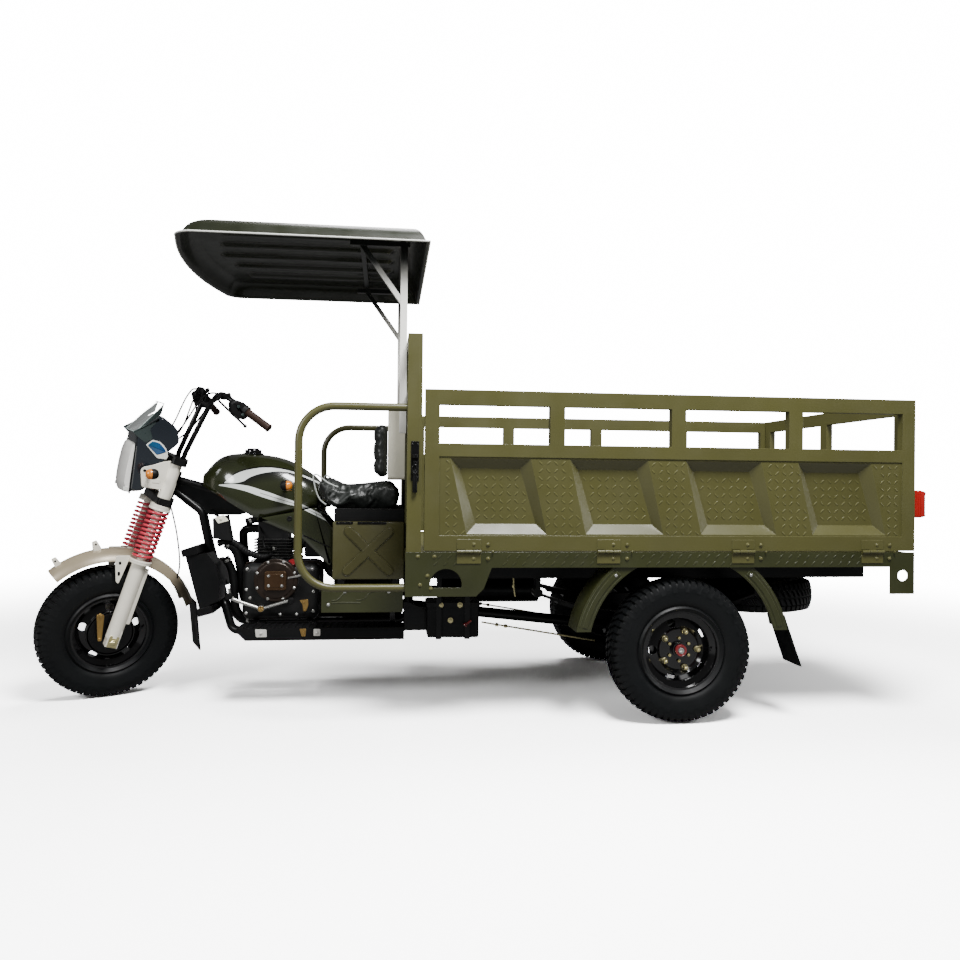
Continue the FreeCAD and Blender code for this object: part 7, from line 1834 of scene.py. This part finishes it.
def addControls():
    grips, housings, buttons, whites = shapes(4)
    for side in (-1, 1):
        start, end, perch = (mirrored(grip[word], side) for word in ("start", "end", "perch"))
        way = (end - start).normalized()
        foot = end - way * grip["long"]
        where = steerTurn @ placed(foot, way)
        radius, long = grip["radius"], grip["long"]
        lathe(housings, where, [(0.0150, -0.044), (0.0225, -0.042), (0.0230, -0.022), (0.0215, -0.020),
                                (0.0215, -0.018), (0.0230, -0.016), (0.0230, 0.002), (0.0180, 0.005)], 32)
        profile = [(radius * 1.18, 0.0), (radius * 1.22, 0.004), (radius * 1.0, 0.008)]
        step = (long - 0.020) / grip["ribs"]
        for index in range(grip["ribs"]):
            at = 0.010 + index * step
            profile += [(radius * 0.95, at), (radius * 1.01, at + step * 0.25),
                        (radius * 1.01, at + step * 0.7)]
        profile += [(radius * 0.98, long - 0.008), (radius * 1.10, long - 0.006),
                    (radius * 1.10, long - 0.001), (radius * 0.80, long + 0.002)]
        lathe(grips, where, profile, 28)
        sidePlate(housings, rounded(grip["switch"], 0.008, 4), grip["switchIn"], grip["switchThick"], side,
                  steerTurn, 0.006, 0.001)
        out = grip["switchIn"] + grip["switchThick"] + 0.0005
        for x, z, size, shape in ((-1.146, 1.306, 0.0065, buttons), (-1.120, 1.292, 0.0040, whites),
                                  (-1.128, 1.272, 0.0065, buttons)):
            where = steerTurn @ flank(x, out, z, side)
            lathe(shape, where, [(size, -0.002), (size, 0.0030), (size * 0.85, 0.0042)], 18)
        # clamp and pivot of the hand lever
        where = steerTurn @ placed(perch, (0, side, 0))
        lathe(housings, where, [(0.0150, -0.012), (0.0165, -0.010), (0.0165, 0.010), (0.0150, 0.012)], 24)
        where = steerTurn @ placed(perch + Vector((0.028, 0, -0.001)), (0.25, 0, 1))
        lathe(housings, where, [(0.0085, -0.010), (0.0095, -0.008), (0.0095, 0.009), (0.0080, 0.011)], 20)
        lathe(whites, where, [(0.0050, 0.010), (0.0050, 0.014), (0.0040, 0.0155)], 6)
        arm = [mirrored(offset, side) for offset in ((0.010, 0, 0), (0.028, 0, 0), (0.030, 0.018, -0.004))]
        sweep(housings, [steerTurn @ (perch + offset) for offset in arm], 0.0072, 12)
    made = piece("grip_sleeves", grips, "gripRubber", "steering", 40)
    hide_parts("hand_grips")
    piece("switch_housings", housings, "blackPlastic", "steering", 36)
    piece("switch_buttons", buttons, "greyGreen", "steering", 36)
    piece("control_studs", whites, "steel", "steering", 36)


# fork feet, mudguard lugs and the brake arm

forkTrim = {"half": 0.109, "plate": (0.040, 0.050),
            "lugs": (((-1.816, 0.624), (-1.799, 0.633), (-1.775, 0.600), (-1.797, 0.578)),
                     ((-1.660, 0.687), (-1.642, 0.694), (-1.626, 0.664), (-1.632, 0.632), (-1.656, 0.634))),
            "lugHoles": ((-1.803, 0.620), (-1.648, 0.681)), "lugOut": 0.011,
            "bracket": [(-1.585, 0.619), (-1.581, 0.645), (-1.523, 0.641), (-1.551, 0.572), (-1.573, 0.521),
                        (-1.583, 0.531)], "bracketOut": 0.0945,
            "slots": ((-1.566, 0.612, 0.014), (-1.571, 0.566, 0.018)),
            "arm": [(-1.655, 0.387), (-1.640, 0.392), (-1.624, 0.383), (-1.636, 0.268), (-1.652, 0.270)],
            "armOut": 0.0700, "foot": (-0.037, -0.012)}


def addForkTrim():
    nuts, lugs, arms, dark = shapes(4)
    for side in (-1, 1):
        x, z = forkTrim["foot"]
        spot = Vector((x, side * (forkTrim["half"] + 0.0270), z))
        where = forkTurn @ placed(spot, (0, side, 0))
        slab(nuts, where, rectangle(*forkTrim["plate"], 0.004, 3), 0.0030, 0.0008)
        lathe(nuts, where, [(0.0165, 0.002), (0.0165, 0.005)], 24)
        lathe(nuts, where, [(0.0125, 0.004), (0.0125, 0.0120), (0.0105, 0.0140)], 6)
        lathe(nuts, where, [(0.0070, 0.012), (0.0068, 0.0200), (0.0052, 0.0215)], 14)
        for outline in forkTrim["lugs"]:
            sidePlate(lugs, rounded(outline, 0.004, 3), forkTrim["lugOut"], 0.0030, side, steerTurn, 0.0008)
        sidePlate(lugs, rounded(forkTrim["bracket"], 0.008, 4), forkTrim["bracketOut"] - 0.0035, 0.0035, side,
                  steerTurn, 0.0009)
        for x, z, long in forkTrim["slots"]:
            slot = corners(x - 0.005, z - long / 2, x + 0.005, z + long / 2)
            sidePlate(dark, rounded(slot, 0.0045, 4), forkTrim["bracketOut"] - 0.0003, 0.0008, side,
                      steerTurn, 0.0003)
        for x, z in forkTrim["lugHoles"]:
            where = steerTurn @ flank(x, forkTrim["lugOut"] + 0.0028, z, side)
            lathe(dark, where, [(0.0042, -0.001), (0.0042, 0.0006)], 16)
    sidePlate(arms, rounded(forkTrim["arm"], 0.006, 4), forkTrim["armOut"], 0.0045, -1, steerTurn, 0.0010)
    for x, z in ((-1.639, 0.378), (-1.645, 0.278)):
        where = steerTurn @ placed((x, -(forkTrim["armOut"] + 0.004), z), (0, -1, 0))
        lathe(arms, where, [(0.0078, -0.001), (0.0078, 0.0045), (0.0064, 0.0060)], 6)
    piece("axle_nuts", nuts, "zinc", "steering", 32)
    piece("mudguard_lugs", lugs, "champagne", "steering", 32)
    piece("lug_slots", dark, "blackPlastic", "steering", 32)
    piece("brake_arm", arms, "brass", "steering", 32)


# rear mudguards: a pressed rib along each flank, drawn about the wheel's centre

guard = {"centre": (0.785, 0.290), "inner": 0.388, "outer": 0.432, "face": 0.640, "low": 0.372, "high": 0.612,
         "ribIn": 0.400, "ribOut": 0.421, "lift": 0.012, "steps": 18, "bead": 0.0026, "beadSides": 8,
         "studOut": 0.4105, "studBack": 0.04}


def addGuardTrim():
    ribs, studs = shapes(2)
    centreX, centreZ = guard["centre"]
    for side in (-1, 1):
        for forward in (-1, 1):
            first = math.asin((guard["low"] + guard["lift"] - centreZ) / guard["ribIn"])
            last = math.asin((guard["high"] - centreZ) / guard["ribOut"])
            angles = [first + (last - first) * step / guard["steps"] for step in range(guard["steps"] + 1)]
            outline = [(centreX + forward * guard["ribOut"] * math.cos(angle),
                        centreZ + guard["ribOut"] * math.sin(angle)) for angle in angles]
            outline += [(centreX + forward * guard["ribIn"] * math.cos(angle),
                         centreZ + guard["ribIn"] * math.sin(angle)) for angle in reversed(angles)]
            sidePlate(ribs, outline, guard["face"] - 0.0006, 0.0034, side, None, 0.0016)
            for radius in (guard["inner"] + 0.0025, guard["outer"] - 0.001):
                path = [Vector((centreX + forward * radius * math.cos(angle), side * (guard["face"] - 0.001),
                                centreZ + radius * math.sin(angle))) for angle in angles]
                sweep(ribs, path, guard["bead"], guard["beadSides"])
            angle, out = last - guard["studBack"], guard["studOut"]
            bolt(studs, (centreX + forward * out * math.cos(angle), side * (guard["face"] + 0.002),
                         centreZ + out * math.sin(angle)), (0, side, 0), 0.0046, 0.0040, angle)
    # the ribs take the olive darkened as painted shade
    piece("guard_ribs", ribs, "olivePaintedShade", "vehicle", 32)
    piece("guard_studs", studs, "steel", "vehicle", 32)


# tailgate: hinge bolts, and a lamp on each post

tailLamp = {"front": 1.755, "back": 1.863, "low": 0.821, "high": 0.939, "inner": 0.514, "outer": 0.576,
            "base": 0.022, "corner": 0.009, "ribs": 5, "ribStep": 0.012, "boltHalf": 0.027}


def addTailgateTrim():
    moving, fixed, housings, lenses, ribs = shapes(5)
    for share in hinge["tailShares"]:
        middle = share * tailPlate["half"]
        for away in (-tailLamp["boltHalf"], tailLamp["boltHalf"]):
            bolt(moving, (hinge["tailFace"], middle + away, hinge["movingHigh"]), (1, 0, 0),
                 hinge["boltRadius"], hinge["boltHigh"], share * 9)
            bolt(fixed, (hinge["tailFace"], middle + away, hinge["fixedHigh"]), (1, 0, 0),
                 hinge["boltRadius"], hinge["boltHigh"], share * 7)
    wide, tall = tailLamp["outer"] - tailLamp["inner"], tailLamp["high"] - tailLamp["low"]
    for side in (-1, 1):
        spot = (tailLamp["front"], side * (tailLamp["inner"] + wide / 2),
                (tailLamp["low"] + tailLamp["high"]) / 2)
        where = placed(spot, (1, 0, 0), math.pi / 2)
        outline = rectangle(wide, tall, tailLamp["corner"], 5)
        turned = outline if abs((where @ Vector((0, 1, 0)) - Vector(spot)).z) > 0.5 else [
            Vector((-point.y, point.x)) for point in outline]
        slab(housings, where, turned, tailLamp["base"], 0.003)
        long = tailLamp["back"] - tailLamp["front"]
        rows = [(0.0030, tailLamp["base"] - 0.002), (0.0030, tailLamp["base"] + 0.004), (0.0022, long * 0.55),
                (0.0036, long * 0.86), (0.0075, long * 0.96), (0.0140, long)]
        addRows(lenses, [[where @ Vector((point.x, point.y, high)) for point in inset(turned, away)]
                         for away, high in rows])
        for index in range(tailLamp["ribs"]):
            high = tailLamp["base"] + (index + 1) * tailLamp["ribStep"]
            ring = [where @ Vector((point.x, point.y, high)) for point in inset(turned, 0.0026)]
            sweep(ribs, ring + ring[:2], 0.0013, 6, True)
    piece("tailgate_hinge_bolts", moving, "oliveWorn", "tailgate")
    piece("beam_hinge_bolts", fixed, "oliveWorn", "vehicle")
    made = piece("tail_lamp_lenses", lenses, "redLens", "tailgate", 40)
    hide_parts("tail_lamps")
    piece("tail_lamp_housings", housings, "blackPlastic", "tailgate", 32)
    piece("tail_lamp_ribs", ribs, "redLens", "tailgate", 40)


# pillar latches: rivets, the bolt's guides and a finger ring

latch = {"middle": -0.282, "low": 0.956, "high": 1.106, "boltX": -0.282, "boltOut": 0.6555,
         "plateOut": 0.650, "rivetHalf": 0.010, "rivets": (0.08, 0.92), "guides": (0.22, 0.62),
         "ring": {"out": 0.6660, "high": 1.000, "wide": 0.011, "tall": 0.016, "wire": 0.0020, "steps": 28}}


def addLatchTrim():
    trim = [], []
    tall, hoop = latch["high"] - latch["low"], latch["ring"]
    for side in (-1, 1):
        for share in latch["rivets"]:
            z = latch["low"] + share * tall
            for away in (-latch["rivetHalf"], latch["rivetHalf"]):
                bolt(trim, (latch["middle"] + away, side * latch["plateOut"], z), (0, side, 0),
                     0.0030, 0.0026, z * 40)
        for share in latch["guides"]:
            where = placed((latch["boltX"], side * latch["boltOut"], latch["low"] + share * tall), (0, 0, 1))
            lathe(trim, where, [(0.0112, -0.007), (0.0120, -0.006), (0.0120, 0.006), (0.0112, 0.007)], 24)
        angles = [2 * math.pi * step / hoop["steps"] for step in range(hoop["steps"] + 1)]
        ring = [Vector((latch["boltX"] + hoop["wide"] * math.cos(angle), side * hoop["out"],
                        hoop["high"] + hoop["tall"] * math.sin(angle))) for angle in angles]
        sweep(trim, ring + ring[1:2], hoop["wire"], 8, True)
    piece("latch_trim", trim, "blackPaint", "vehicle", 36)


# skirts: bolts round the oval opening, and the chequer that shows on their flanks

skirt = {"bolts": ((-0.268, 0.668), (-0.230, 0.595), (-0.205, 0.668), (-0.258, 0.560), (-0.217, 0.546)),
         "face": 0.650, "start": -0.20, "end": 1.72, "rows": ((0.0, 0.641), (0.015, 0.668)), "pitch": 0.038,
         "hingeClear": (0.022, 0.034)}


def addSkirtTrim():
    studs, bars = shapes(2)
    before, after = skirt["hingeClear"]
    for side in (-1, 1):
        for x, z in skirt["bolts"]:
            bolt(studs, (x, side * skirt["face"], z), (0, side, 0), 0.0052, 0.0042, x * 17)
        for shift, z in skirt["rows"]:
            for index in range(int((skirt["end"] - skirt["start"]) / skirt["pitch"])):
                x = skirt["start"] + shift + index * skirt["pitch"]
                if any(start + bedFront - before < x < start + bedFront + hinge["wide"] + after
                       for start in hinge["starts"]):
                    continue
                chequerBar(bars, flank(x, skirt["face"], z, side), math.radians(-45 * side))
    piece("skirt_studs", studs, "oliveWorn", "vehicle")
    # the skirt chequer takes the olive darkened as painted shade
    piece("skirt_chequer", bars, "olivePaintedShade", "vehicle", 40)


addCamera()
addStudio()
paintNodes()
for name in wheels:
    addTyre(name)
print("tyres made")
addWheelTrim()
addValves()
print("wheel trim made")
addGatePlates()
addHinges()
print("gate plates and hinges made")
addSprings()
addCanopy()
print("springs and canopy made")
addSeat()
addBackPad()
print("cushions made")
addTank()
addCovers()
addLampUnit()
addScreen()
addBracketTrim()
addBlinkers()
print("tank and lamp unit made")
addSeatBox()
addStepTrim()
addPedals()
addBoardTrim()
addEngineTrim()
addEngineHoses()
addUnderBed()
print("box, pedals, engine and underside made")
addControls()
addForkTrim()
addGuardTrim()
addTailgateTrim()
addLatchTrim()
addSkirtTrim()
print("controls, fork, guards and tailgate made")
